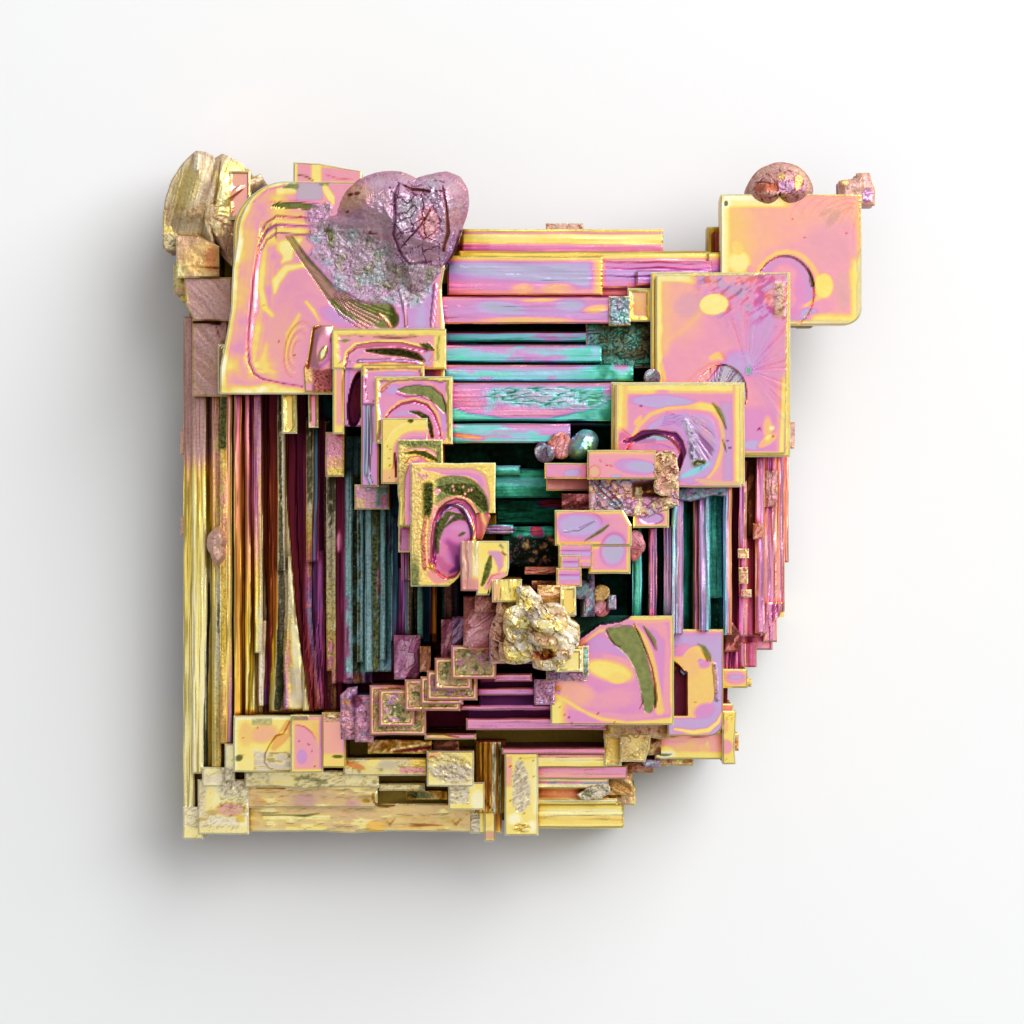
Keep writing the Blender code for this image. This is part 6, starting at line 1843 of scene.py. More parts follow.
def blush_plate(face):
    x, y = face.x, face.y
    face.film = .44 + .02 * cloud(x, y, 1.0, 146)
    face.put(ease(y, 2.85, 3.05), film=.30)
    face.spot(8.2, 2.1, 1.5, .55, -6, .4, film=.62)
    face.spot(8.6, 2.1, 1.1, .35, -6, .6, film=.71)
    face.spot(5.3, 1.75, .4, .4, 0, .4, film=.33, dull=.3)
    face.arc(5.3, 1.75, .42, .42, 0, 360, .03, 0, 1, deep=.5)
    face.spot(6.8, 1.4, .4, .12, film=.74)
    for px, py, turn in ((5.7, 2.5, -50), (6.15, 2.2, -35), (6.45, 2.15, -35)):
        face.spot(px, py, .14, .04, turn, deep=.7)
    face.hem(.08)


def petal_plate(face):
    """Small plates near the peak: pink with a blue-grey leaf."""
    x, y = face.x, face.y
    face.film = .46 + .03 * cloud(x, y, .8, 147)
    face.hem(.24, .34, .22)
    face.spot(4.2, -2.0, 1.7, .85, 0, .9, film=.69, rise=-.02)
    face.arc(4.3, -1.75, 1.5, .72, -10, 110, .04, 0, deep=.35, soft=.08)
    face.line([(3.0, -2.5, .03), (4.2, -2.3, .08), (5.3, -1.7, .03)], film=.66, rise=.03)
    for k in range(3):
        face.line([(4.6 + .2 * k, -3.1 + .1 * k, .05), (5.4 + .2 * k, -2.6 + .1 * k, .09),
            (6.2 + .05 * k, -2.0, .04)], film=-.06, deep=.1 * k)
    face.spot(6.6, -3.7, .85, 1.15, -12, .7, film=.70, rise=-.02, dull=.1)
    face.arc(6.6, -3.7, .9, 1.15, 20, 250, .05, -12, film=.50, deep=.3, soft=.08)
    face.spot(7.4, -1.3, .3, .2, film=.3)
    face.hem(.06)


def banded_strip(face):
    x, y = face.x, face.y
    t = face.block[3] - y
    face.film = listed(t + .04 * cloud(x, y, .6, 148), [(0, .3), (.12, .48), (.35, .58), (.6, .66),
        (.85, .50), (1.1, .34), (1.3, .48)], .05)[:, 0]
    face.put(ease(x - face.block[0], .25, .12), film=.18)
    face.line([(face.block[0], face.block[3] - .5, .02), (face.block[1], face.block[3] - .45, .03)], deep=.6)
    face.hem(.06, .08, .03)


def pocket_plate(face):
    x, y = face.x, face.y
    face.film = .45 + .03 * cloud(x, y, .8, 149)
    face.hem(.27, .3, .2)
    face.spot(9.3, -1.55, .8, .4, 0, .35, film=.62, rise=-.05)
    face.hem(.06)


def magenta_step(face):
    x, y = face.x, face.y
    face.film = .50 + .03 * cloud(x, y, .8, 150)
    face.spot(3.75, 1.65, .6, .25, 8, .4, film=.68)
    face.put(ease(y, 1.35, 1.2), film=.42, dull=.4)
    face.put(ease(y, 2.2, 2.3), film=.30)
    face.hem(.06)


def rough_mass(face):
    """The clot of small blocks between the ring plate and the peak."""
    x, y = face.x, face.y
    face.film = .66 + .06 * cloud(x, y, .8, 151)
    face.dull += .5
    face.grain += .35
    rock = cells(x + .3 * cloud(x, y, .5, 152), y + .3 * cloud(x, y, .5, 156), .9, 153)
    face.rise += .35 * terraces(x, y, 1.1, 154, 3) - .06 * ease(rock, .12, .02)
    face.blotches(1.1, 157, .0, .3, film=.34, dull=.6)
    face.blotches(.9, 158, .2, .45, film=.74, dull=.35)
    face.put(ease(rock, .05, .01), deep=.55)
    face.area(8.0, 10.3, 0, .95, .3, deep=.75, film=.30, rise=-.4)
    face.spot(9.4, .35, .5, .12, 5, .6, film=.28, deep=.1, dull=0)
    for k in range(3):
        face.line([(4.8 + .5 * k, 1.1 - .1 * k, .06), (5.6 + .5 * k, .2, .10), (6.6 + .4 * k, -.7, .08)],
            film=.78, dull=.1, grain=.2, rise=.08)
        face.line([(5.0 + .5 * k, 1.2 - .1 * k, .02), (5.8 + .5 * k, .35, .04), (6.8 + .4 * k, -.5, .03)],
            deep=.8)
    face.area(5.0, 8.0, .95, 1.4, .2, film=.72, dull=.3)
    face.spot(8.5, -.4, .9, .5, 0, .6, film=.55, dull=.3)
    face.spot(10.3, -.5, .5, .6, 0, .6, film=.28, dull=.5)
    face.blotches(.5, 155, .3, .45, film=.04, dull=.4, deep=0)


grow_group("north_east_steps", [
    ((6.7, 15.55, 0.65, 7.9, 15.7, 14.1), ring_look, dict(step=.08, layer=.3)),
    ((6.45, 15.8, 0.75, 8.0, 14.9, 9.2), under_sheet, COARSE),
    ((4.8, 9.6, 1.2, 3.25, 17.7, 9.3), blush_plate, dict(step=.09)),
    ((8.0, 10.5, -2.2, -0.9, 16.4, 8.9), pocket_plate, dict(step=.09)),
    ((2.5, 7.9, -3.45, -0.95, 19.6, 10.1), petal_plate, dict(step=.085,
        sides={"E": [(-3.4, 0), (-2, 0), (-1, -.6)]})),
    ((4.9, 7.8, -5.4, -3.4, 19.5, 9.5), petal_plate, dict(step=.085)),
    ((2.75, 5.15, -5.0, -3.3, 20.4, 10.7), banded_strip, CLOSE),
    ((2.85, 4.3, -5.6, -4.1, 21.1, 11.2), banded_strip, CLOSE),
    ((2.6, 4.4, -6.3, -5.0, 21.7, 11.9), banded_strip, CLOSE),
    ((1.8, 4.9, 1.25, 2.35, 15.9, 5.4), magenta_step, dict(step=.09)),
    ((1.9, 5.1, 0.4, 1.4, 14.7, 4.8), magenta_step, dict(step=.09)),
    ((9.35, 11.1, 0.0, 3.2, 17.9, 11.0), rough_look(.32, seed=189, grain=.5, lumps=.5, spread_film=.10,
        size=.5, dull=.45), dict(step=.08, outline=[
        (10.2, 1.6), (9.5, 2.9), (10.1, 3.2), (10.9, 3.1), (11.1, 2.2), (10.9, 1.0), (10.8, .2), (10.1, 0),
            (9.5, .3), (9.6, 1.3), (9.35, 2.1)])),
    ((4.9, 11.2, -1.3, 1.4, 16.7, 8.2), rough_mass, dict(step=.085,
        sides={"S": [(4.9, .2), (7, 0), (9, -.2), (11, .6)]})),
])

# %% [markdown]
# ### South-east arm
#
# The large plate has a deep bowed hollow filled with an olive film, and a bitten
# corner beside the peak. The plate next to it has a long dark slot. Below them lies
# tan rubble with a few red shards.

# %% Plates of the south-east arm


def crescent_look(face):
    x, y, e = face.x, face.y, face.edge
    face.film = .52 + .025 * cloud(x, y, 1.8, 161)
    face.spot(4.0, -13.8, 1.5, .8, -20, .7, film=.37)
    face.spot(6.6, -14.2, 1.6, .7, 10, .8, film=.46)
    face.spot(6.3, -10.8, 1.9, .75, -28, .6, film=.60)
    face.spot(7.2, -11.6, 1.6, .35, -20, .7, film=.44)
    face.spot(6.35, -12.2, 1.75, .75, -14, .35, film=.28)
    face.spot(6.35, -12.2, 1.55, .58, -14, .3, film=.165)
    face.spot(6.9, -12.7, .7, .4, 0, .4, film=.20)
    face.line([(3.0, -14.6, .15), (5.0, -15.2, .2), (7.5, -15.45, .22), (9.3, -15.3, .1)], film=.45, soft=.12)
    face.area(1.9, 3.2, -16.4, -14.1, .9, film=.15)
    face.line([(2.4, -13.9, .15), (3.6, -14.5, .14), (4.6, -15.1, .12), (5.8, -15.6, .14),
        (7.6, -15.85, .12), (9.5, -15.75, .15), (10.6, -15.75, .3)], film=.20, soft=.1)
    face.spot(4.2, -15.45, .75, .4, -15, .5, film=.53)
    face.spot(2.7, -13.45, .3, .22, film=.28, deep=.3)
    face.spot(2.8, -13.7, .12, .16, film=.62)
    for px, py in ((2.85, -14.75), (3.2, -15.3), (3.5, -15.5), (3.7, -15.9), (5.55, -15.2), (6.7, -15.8)):
        face.spot(px, py, .12, .07, 40, deep=.5)
    # eastern half
    face.line([(8.9, -8.9, .25), (10.0, -9.2, .35), (10.3, -11, .3), (10.3, -15, .25)], film=.44, soft=.1)
    face.line([(9.3, -9.4, .15), (9.95, -10.2, .3), (10.0, -11.5, .18), (9.95, -14.5, .10)], film=.56,
        soft=.15)
    face.line([(8.1, -9.0, .10), (8.7, -9.8, .18), (9.15, -10.9, .22), (9.5, -12.2, .2), (9.75, -13.6, .2),
        (9.85, -15, .3)], film=.25, soft=.1)
    leaf = [(6.35, -9.45, .30), (7.0, -9.7, .72), (7.6, -9.95, .92), (8.15, -10.8, .68), (8.55, -11.8, .52),
        (8.85, -12.8, .47), (9.05, -13.7, .46), (9.1, -14.4, .46), (9.05, -14.85, .3)]
    bowl = stroke(face, leaf, .1)
    face.put(bowl, film=-.05, rise=-.03, dull=.2)
    face.put(bowl * ease(y, -9.6, -11.5), film=-.035)
    face.put(bowl * ease(cloud(x, y, .25, 162), .25, .45), dull=.45)
    rim_dark = [(8.05, -8.95, .03), (8.45, -9.8, .03), (8.9, -10.9, .04), (9.28, -12.0, .05),
        (9.52, -13.2, .07), (9.58, -14.2, .09), (9.5, -14.8, .05)]
    face.line(rim_dark, deep=.8, rise=-.05)
    face.line([(6.1, -9.3, .03), (6.35, -9.9, .05), (6.7, -10.35, .06), (7.1, -10.55, .03)], deep=.8)
    face.line([(8.62, -13.9, .02), (8.68, -14.4, .05), (8.45, -14.85, .03)], deep=.7)
    face.line([(8.7, -9.05, .04), (9.1, -9.55, .13), (9.45, -10.1, .15), (9.65, -10.75, .03)], film=-.06,
        soft=.04)
    face.line([(8.72, -9.1, .02), (9.05, -9.75, .04), (9.35, -10.3, .05), (9.55, -10.75, .02)], deep=.85)
    # rims
    east = 10.85 - x + .06 * cloud(x, y, 1.0, 163)
    face.put(ease(east, .30, .2), film=.12)
    top = -8.35 - y + .06 * cloud(x, y, .8, 164)
    face.put(ease(top, .55, .4) * ease(x, 7.9, 8.3), film=.36)
    face.put(ease(np.minimum(top, east * 1.3), .3, .2), film=.19)
    face.put(ease(y, -15.85, -15.95), film=.12)
    # the bitten corner
    bite = y - np.interp(x, [2.2, 3.9, 4.4, 5.0, 5.6, 7.2, 7.7, 8.0],
        [-10.3, -10.2, -9.9, -9.45, -9.0, -8.75, -8.45, -8.2])
    face.put(ease(bite, -.35, -.25) * ease(x, 8.2, 7.2), film=.48, dull=.15)
    face.put(ease(bite, -.6, -.45) * ease(bite, -.2, -.35) * ease(x, 6.3, 5.8), film=.27)
    # beyond the bite the surface drops 1.25 mm to teal, darkened with painted shade
    face.put(ease(bite, .0, .07), film=.86, rise=-1.25, deep=.75)
    face.line([(3.4, -9.9, .03), (4.0, -9.75, .08), (4.5, -9.45, .03)], film=.80, deep=-.6)
    # painted highlight of the rounded lip over thin cream oxide: a near-white line along the edge
    face.put(ease(e, .08, .03) * (bite < 0), film=.06)


def slotted_look(face):
    x, y, e = face.x, face.y, face.edge
    face.film = .66 + .02 * cloud(x, y, 1.2, 165)
    face.dull += .1
    face.put(ease(y, -9.75, -9.6), film=.50)
    face.put(ease(y, -9.5, -9.42), film=.30)
    face.spot(11.3, -10.8, .75, .45, 20, .5, film=.52, dull=0)
    arch = np.maximum(disc(face, 12.45, -12.9, 1.38, 2.45, 0, .06),
        patch(face, 10.6, 12.45, -15.5, -11.2, .2))
    face.put(arch, film=.24, dull=0)
    face.put(arch * disc(face, 12.0, -11.6, .6, 1.0, 0, .9), film=.28)
    face.put(disc(face, 13.0, -11.75, .42, .28, 15, .5) + disc(face, 12.7, -11.5, .2, .16), film=.52, dull=0)
    face.spot(13.0, -15.0, .75, .5, 20, .6, film=.56, dull=0)
    face.line([(12.5, -10.3, .04), (12.95, -10.6, .16), (13.25, -11.1, .17), (13.4, -11.5, .10)], film=-.06,
        soft=.04)
    face.line([(12.75, -10.7, .02), (13.0, -11.1, .05), (13.2, -11.5, .06)], deep=.9)
    face.line([(13.65, -11.8, .12), (13.75, -12.6, .12), (13.8, -13.4, .10), (13.85, -14.2, .12)], dull=.6,
        grain=.8, deep=.2, soft=.08)
    face.line([(10.9, -16.3, .1), (12.2, -16.5, .16), (13.3, -16.35, .18), (13.95, -15.8, .14),
        (14.2, -15.2, .08)], film=.15, dull=0, soft=.08)
    face.put(ease(y, -16.65, -16.72), film=.07)
    face.spot(12.35, -14.4, .12, .04, 0, deep=.6)
    # the long slot: sunk 1.1 mm and darkened with painted shade
    long = patch(face, 10.4, 11.75, -15.35, -11.0, .03) * ease(y + .85 * (x - 10.9), -11.55, -11.7)
    bars = cloud(x, y * .04, .18, 166)
    face.put(long, film=.50, deep=.72, rise=-1.1, dull=.1)
    face.put(long * ease(bars, .1, .4), deep=.5, film=.58)
    face.spot(11.5, -12.3, .16, .28, 30, .2, film=.74, rise=.6, deep=0)
    face.line([(10.95, -12.2, .02), (11.1, -11.9, .03)], film=.04, deep=0)
    face.put(ease(e, .08, .03) * (1 - long), film=.12)


def salmon_look(face):
    x, y = face.x, face.y
    face.film = .38 + .03 * cloud(x, y, 1.0, 167) + .02 * cloud(x, y * 3, 1.0, 168)
    face.put(disc(face, 11.8, -17.5, .9, .4, 10, .7) + disc(face, 13.0, -17.6, .4, .3), film=.30)
    face.put(ease(y + .08 * cloud(x, y, 1, 169), -17.75, -18.0) + disc(face, 10.2, -17.9, .7, .4, 0, .5),
        film=.165)
    face.line([(10.2, -17.1, .03), (10.9, -17.2, .10), (11.8, -17.15, .03)], film=.47)
    face.line([(11.85, -16.88, .03), (12.4, -16.84, .05), (13.2, -16.85, .02)], deep=.95)
    face.spot(13.2, -17.3, .12, .18, film=.15, dull=.2)
    face.hem(.06)


def corner_look(face):
    x, y = face.x, face.y
    face.film = .17 + .03 * cloud(x, y, .6, 170)
    face.spot(14.5, -17.5, .45, .5, 20, .5, film=.42)
    face.spot(14.4, -16.1, .25, .5, 0, .6, film=.30)
    for px, py, turn in ((14.8, -15.3, 0), (14.9, -15.6, 60), (14.6, -15.5, 80), (14.5, -18.4, 30)):
        face.spot(px, py, .16, .04, turn, deep=.55)
    face.hem(.04)


def streaked_look(face):
    x, y = face.x, face.y
    x0, x1, y0, y1 = face.block[:4]
    u, v = (x - x0) / (x1 - x0), (y - y0) / (y1 - y0)
    face.film = .24 + .02 * cloud(x, y, .6, 171)
    face.put(ease(np.hypot((u - .5) / .5, (v - .55) / .42), 1.0, .75), film=.46)
    face.put(ease(np.hypot((u - .5) / .38, (v - .58) / .15), 1.0, .6), film=.68)
    face.hem(.08)


def upright_look(face):
    """Pink block whose face is cut by upright slits, purple and darkened by painted shade."""
    x, y = face.x, face.y
    leaf = cloud(x, y * .04, .14, 172, 2)
    face.film = .48 + .06 * leaf
    face.rise += .07 * leaf
    face.put(ease(leaf, -.12, -.35), deep=.75, film=.54)
    face.hem(.28)


def tan_look(face):
    x, y = face.x, face.y
    face.film = .29 + .07 * cloud(x, y, .7, 173) + .04 * cloud(x, y, .25, 174)
    face.dull += .35 + .2 * cloud(x, y, .8, 175)
    face.grain += .4
    face.rise += .10 * cloud(x, y, .5, 176, 4)
    face.blotches(.5, 177, .28, .4, film=.14, dull=.1)
    face.blotches(.35, 178, .3, .42, deep=.45)
    face.put(ease(face.edge, .1, .05), film=.16, dull=.2)


def shard_look(film=.30, deep=.4, turn=20, pitch=.16):
    def look(face):
        x, y = face.x, face.y
        u, v = turned(face, 0, 0, turn)
        fold = .6 * terraces(u * .4, v, pitch * 3, 179, 3) + .4 * cloud(u * .3, v, pitch * 2, 179, 3)
        face.film = film + .12 * fold
        face.dull += .35 + .2 * cloud(x, y, .5, 180)
        face.grain += .4
        face.rise += .30 * fold
        # painted shade in the low folds
        face.deep += deep * ease(fold, .25, -.2)
        face.put(ease(fold, .25, .4), film=max(film - .1, .02), deep=0)
        face.put(ease(face.edge, .09, .04) * .6, film=max(film - .12, .02))

    return look


brown_look = rough_look(0.24, seed=18, grain=0.3, lumps=0.14, spread_film=0.10, size=0.9)
grow_group("south_east_plates", [
    ((2.2, 10.85, -16.0, -8.35, 14.6, 13.1), crescent_look, dict(step=.08, layer=.3)),
    ((2.6, 10.5, -15.6, -10.2, 13.3, 12.0), under_sheet, COARSE),
    ((2.3, 10.75, -15.9, -9.7, 12.2, 10.6), under_sheet, COARSE),
    ((2.7, 10.3, -15.4, -8.7, 10.8, 3.3), under_sheet, COARSE),
    ((10.4, 14.3, -16.8, -9.3, 11.4, 9.9), slotted_look, dict(step=.08, layer=.3, corner=((1, -1), 1.0))),
    ((10.3, 14.0, -16.4, -9.6, 10.1, 8.6), under_sheet, COARSE),
    ((10.1, 14.25, -16.7, -9.4, 8.8, 3.6), under_sheet, COARSE),
    ((9.5, 15.0, -18.4, -14.5, 8.6, 4.2), salmon_look, FINE),
    ((14.25, 15.2, -18.75, -15.0, 9.5, 5.1), corner_look, dict(step=.08,
        sides={"E": [(-18.8, .0), (-17.5, -.1), (-16, 0), (-15, .05)]})),
    ((14.9, 15.4, -17.8, -16.6, 8.3, 5.4), tan_look, FINE),
    ((9.8, 12.2, -18.85, -17.9, 7.9, 4.5), tan_look, FINE),
    ((14.3, 16.0, -13.4, -12.05, 7.9, 4.3), streaked_look, CLOSER),
    ((14.2, 15.6, -12.4, -10.3, 7.2, 3.8), upright_look, CLOSER),
    ((15.5, 16.25, -13.3, -12.7, 7.1, 4.9), tan_look, FINE),
    ((3.55, 4.5, -12.3, -10.5, 17.4, 9.7), plate_look(.16, .10, .1, seed=181), CLOSER),
    ((4.45, 4.9, -12.6, -10.45, 15.6, 9.8), rough_look(.90, seed=182, grain=.6), CLOSE),
    ((2.5, 3.5, -12.3, -11.1, 16.6, 9.7), plate_look(.07, .10, .1, seed=183),
        dict(step=.07, sides={"W": [(-12.3, 0), (-11.7, 0), (-11.1, .5)]})),
    ((1.9, 4.75, -12.95, -12.2, 15.4, 9.6), rough_look(.60, seed=184, grain=.5, lumps=.2, size=.4), CLOSE),
])
grow_group("south_east_rubble", [
    ((5.9, 11.2, -16.95, -15.4, 10.3, 3.9), tan_look, dict(step=.08,
        sides={"S": [(5.9, 0), (9, .1), (9.9, -.05), (11.2, .1)]})),
    ((5.95, 7.2, -18.9, -16.2, 9.7, 3.7), plate_look(.22, .15, .2, seed=186, grain=.3), CLOSE),
    ((7.05, 9.15, -18.6, -16.6, 10.5, 4.4), brown_look, dict(step=.08,
        sides={"E": [(-18.6, -.3), (-17.5, 0), (-16.6, .1)]})),
    ((8.9, 9.95, -18.1, -16.7, 9.2, 4.0), shard_look(.30, .9, 60), CLOSE),
    ((7.2, 9.4, -19.35, -18.2, 8.1, 3.5), shard_look(.32, .55, 12), CLOSE),
    ((8.6, 9.9, -18.95, -18.45, 8.9, 3.9), shard_look(.72, .3, 20),
        dict(step=.07, sides={"W": [(-19, .3), (-18.4, -.2)]})),
    ((5.8, 7.95, -20.9, -19.2, 7.7, 3.2), shard_look(.26, .35, -25), CLOSE),
    ((6.3, 8.15, -21.6, -20.2, 6.9, 3.0), tan_look, CLOSE),
])

# %% Caps and lumps on the eastern flank


def frosted_cap(face):
    x, y = face.x, face.y
    face.film = .76 + .05 * cloud(x, y, .5, 187)
    face.dull += .25
    face.grain += .5
    face.rise += .08 * cloud(x, y, .35, 188, 4)
    face.put(ease(cloud(x * .5, y, .3, 189), .2, .4), film=.64, dull=0)
    face.put(ease(cloud(x * .5, y, .25, 190), -.2, -.4), deep=.6)
    face.put(ease(face.edge, .12, .05), film=.70, deep=.3)


orange_lump = rough_look(.28, seed=191, grain=.4, lumps=.25, spread_film=.12, size=.4)
grow_group("east_caps", [
    ((11.0, 14.5, -.35, .72, 13.9, 12.3), frosted_cap, dict(step=.08,
        sides={"S": [(11, .1), (12, 0), (13.2, .3), (13.6, .45), (14.4, .35)]})),
    ((15.35, 16.1, -4.3, -3.65, 9.7, 6.2), orange_lump, CLOSER),
    ((15.4, 16.05, -6.1, -4.95, 9.9, 6.2), orange_lump, CLOSER),
    ((15.55, 16.3, -7.05, -6.5, 9.4, 6.2), orange_lump, CLOSER),
    ((14.4, 15.45, -10.85, -9.05, 9.0, 4.2), shard_look(.40, .9, 50, .3),
        dict(step=.07, sides={"N": [(14.4, -.1), (14.9, .25), (15.5, -.5)]})),
    ((16.0, 16.5, -2.8, 2.6, 7.2, 4.4), shard_look(.30, .9, 80, .25), CLOSER),
    ((16.4, 17.1, -3.0, -1.9, 8.8, 4.6), shard_look(.36, .5, 60, .3), CLOSER),
    ((17.2, 18.1, -.75, 1.8, 7.8, 4.6), shard_look(.42, .25, 90, .16), CLOSER),
    ((16.7, 18.4, -9.9, -7.4, 7.9, 4.6), upright_look, dict(step=.07,
        sides={"S": [(16.7, 0), (18.4, .8)], "E": [(-10, -.9), (-8.5, -.2), (-7.4, .1)]})),
])


# %% [markdown]
# ### South-west arm
#
# Here the crystal first froze, thin and fast: a stair of small plates climbs to the
# peak, salmon outside and mauve inside, its interiors mottled olive and tan. In front
# of it lie pale yellow ledges, scratched and frosted like old paint.

# %% Frost scribbles and the outer plates


def gold_leaf_look(face):
    x, y = face.x, face.y
    face.film = .15 + .03 * cloud(x, y, 1.2, 201)
    face.spot(-17.9, -16.6, 1.0, .65, 10, .6, film=.32)
    face.spot(-19.1, -16.6, .5, .8, 0, .6, film=.25)
    face.put(ease(x, -19.6, -19.85), film=.06)
    face.area(-20, -15.8, -15.62, -15.3, .1, film=.05)
    face.put(patch(face, -18.7, -17.3, -16.0, -15.55, .12) * .8, film=-.06)
    scribbles(face, patch(face, -18.7, -17.3, -16.0, -15.55, .12) * .4, 202)
    face.line([(-16.1, -15.9, .3), (-16.35, -16.5, .42), (-16.7, -17.0, .36), (-17.15, -17.6, .2)], film=.27,
        deep=.15, soft=.08)
    face.line([(-16.2, -16.4, .05), (-16.6, -16.55, .12), (-16.3, -16.5, .1)], film=.22, deep=-.1)
    grey = patch(face, -18.55, -15.9, -19.15, -17.85, .15)
    face.put(grey, film=.08, dull=.35)
    face.put(grey * ease(cloud(x * .25, y, .16, 203), .02, .2), film=.03, dull=.65)
    face.put(grey * ease(cloud(x * .25, y, .16, 203), -.12, -.3), deep=.5)
    face.line([(-16.05, -15.75, .03), (-16.5, -16.6, .05), (-17.0, -16.75, .07), (-17.45, -17.4, .05),
        (-17.75, -18.0, .06), (-17.8, -18.6, .05), (-17.5, -19.0, .04), (-16.9, -19.2, .05),
            (-16.0, -19.2, .06)], deep=.75)
    face.spot(-18.75, -18.9, .45, .75, 5, .2, film=.14)
    face.spot(-19.6, -18.3, .28, .22, 30, .4, film=-.07, dull=.3, deep=.2)
    for px, py in ((-19.8, -16.4), (-19.3, -16.9), (-18.3, -16.2), (-19.3, -18.1)):
        face.spot(px, py, .06, .06, deep=.6)
    face.hem(.04)


def salmon_arch_look(face):
    x, y = face.x, face.y
    face.film = .37 + .03 * cloud(x, y, 1.0, 204)
    face.spot(-14.9, -17.2, .75, 1.9, 0, .7, film=.435)
    face.put(ease(x, -15.65, -15.85), film=.09, dull=.15)
    face.put(ease(y, -15.75, -15.6) * ease(x, -14.7, -14.8) * .7, film=-.06, grain=.3)
    arch = ease(y - np.interp(x, [-16, -15.5, -15.0, -14.5, -14.2, -14.0],
        [-15.95, -15.95, -16.1, -16.5, -17.0, -17.6]), -.02, .06)
    face.put(arch * ease(y, -15.6, -15.7), film=.24)
    face.line([(-15.6, -15.98, .02), (-15.0, -16.12, .04), (-14.5, -16.5, .04), (-14.2, -17.0, .02)], deep=.6)
    face.put(arch * ease(x, -14.5, -14.4) * ease(y, -15.75, -15.85), film=.25, deep=.05)
    face.area(-13.98, -13.7, -19.1, -15.5, .06, film=.54)
    face.spot(-15.2, -18.2, .35, .5, film=.60)
    face.put(ease(y, -19.0, -19.15), film=.18)
    for px, py in ((-15.4, -17.1), (-14.8, -17.3), (-14.7, -17.35), (-14.5, -17.8), (-14.3, -18.9)):
        face.spot(px, py, .07, .06, deep=.55)
    face.hem(.05)


def salmon_look_west(face):
    x, y = face.x, face.y
    face.film = .37 + .03 * cloud(x, y, .8, 205)
    face.put(ease(x, -12.45, -12.3), film=.52)
    face.put(ease(y, -17.8, -18.2), film=.20)
    scribbles(face, patch(face, -13.6, -12.4, -15.75, -15.2, .15), 206, film=.30, dull=.6)
    face.spot(-12.7, -18.2, .4, .12, 0, .5, film=-.09, deep=.2)
    face.hem(.16)


def mauve_lump(face):
    x, y = face.x, face.y
    face.film = .50 + .10 * cloud(x, y, .6, 207) + .05 * cloud(x, y, .25, 208)
    face.dull += .35
    face.grain += .45
    face.rise += .22 * cloud(x, y, .6, 209, 4)
    face.blotches(.4, 210, .2, .4, film=.68, dull=.1)
    face.spot(-12.1, -14.4, .4, .2, 0, .5, film=.30, deep=.15)
    face.spot(-11.4, -14.3, .4, .5, 0, .6, film=.52, deep=.6)
    face.put(ease(np.abs(cloud(x, y, .35, 211)), .05, .01), deep=.6)
    face.area(-13, -9, -17.2, -16.9, .1, film=.44)
    face.hem(.60)


def stair_look(seed, film=.48):
    """A step of the stair: bright outlines in a row along its edge, then a mottled inside."""

    def look(face):
        x, y, e = face.x, face.y, face.edge
        near = e + .07 * cloud(x, y, .45, seed)
        bands = [(0, .30), (.07, .50), (.15, .42), (.23, .03), (.30, .33)]
        face.film = listed(near, bands, .025)[:, 0]
        inside = ease(near, .28, .36)
        mottle = cloud(x, y, .3, seed + 1, 3)
        face.put(inside, film=.20, dull=.5, grain=.5)
        face.film += inside * .18 * np.clip(mottle, -.6, 1)
        face.put(inside * ease(mottle, -.08, -.25), film=-.045, dull=.4)
        face.put(inside * ease(cloud(x, y, .45, seed + 2), .12, .3), film=film, dull=.3)
        face.rise += .08 * mottle * inside + .12 * ease(near, .34, .24)
        face.put(ease(np.abs(near - .26), .03, .01) * ease(cloud(x, y, .8, seed + 3), -.2, .2), deep=.65)
        face.put(inside * ease(cloud(x, y, .25, seed + 4), .3, .42), film=.02, dull=.1)

    return look


grow_group("south_west_steps", [
    ((-20.0, -15.8, -19.3, -15.35, 10.0, 3.1), gold_leaf_look, CLOSE),
    ((-16.0, -13.7, -19.35, -15.3, 10.7, 3.4), salmon_arch_look, CLOSE),
    ((-13.8, -12.15, -19.0, -15.1, 11.3, 3.8), salmon_look_west, CLOSE),
    ((-12.5, -11.35, -17.0, -13.4, 12.2, 4.2), mauve_lump,
        dict(step=.08, sides={"N": [(-12.5, -.5), (-12, 0), (-11.3, .1)]})),
    ((-11.5, -10.2, -17.2, -13.9, 12.7, 4.6), mauve_lump, CLOSE),
    ((-10.45, -6.5, -16.7, -13.2, 13.3, 4.4), stair_look(212), CLOSE),
    ((-9.8, -7.3, -16.1, -13.5, 14.0, 5.3), stair_look(213, .60), CLOSE),
    ((-8.0, -4.1, -15.0, -12.8, 14.9, 4.8), stair_look(214, .30), CLOSE),
    ((-6.9, -3.9, -14.55, -12.6, 15.5, 5.7), stair_look(215), CLOSE),
    ((-6.45, -2.9, -14.25, -12.2, 16.2, 5.0), stair_look(216, .62), CLOSE),
    ((-5.9, -3.3, -13.5, -11.3, 17.1, 6.2), stair_look(217, .30), CLOSE),
    ((-4.75, -1.6, -12.75, -10.4, 18.3, 6.8), stair_look(218), CLOSE),
    ((-2.1, 1.05, -11.7, -9.6, 20.2, 7.4), mauve_lump, CLOSE),
    ((-8.75, -6.9, -12.8, -9.7, 13.9, 4.1), shard_look(.55, .5, 75, .25), CLOSE),
    ((-6.95, -6.2, -12.3, -10.5, 15.1, 5.2), shard_look(.34, .45, 80, .2), CLOSE),
    ((-5.45, -4.6, -12.0, -8.6, 16.4, 5.9), shard_look(.50, .6, 70, .2), CLOSE),
    ((-4.7, -3.7, -10.9, -8.4, 17.6, 6.4), shard_look(.64, .6, 50, .2), CLOSE),
    ((-3.9, -0.6, -10.6, -7.0, 19.8, 7.1), shard_look(.42, .6, 35, .3), CLOSE),
    ((-3.1, -1.5, -8.1, -6.9, 20.6, 12.0), shard_look(.40, .3, 60, .2), CLOSE),
    ((1.05, 2.5, -14.6, -12.8, 15.2, 5.1), mauve_lump, CLOSE),
])

# %% Ledges and posts of the southern edge


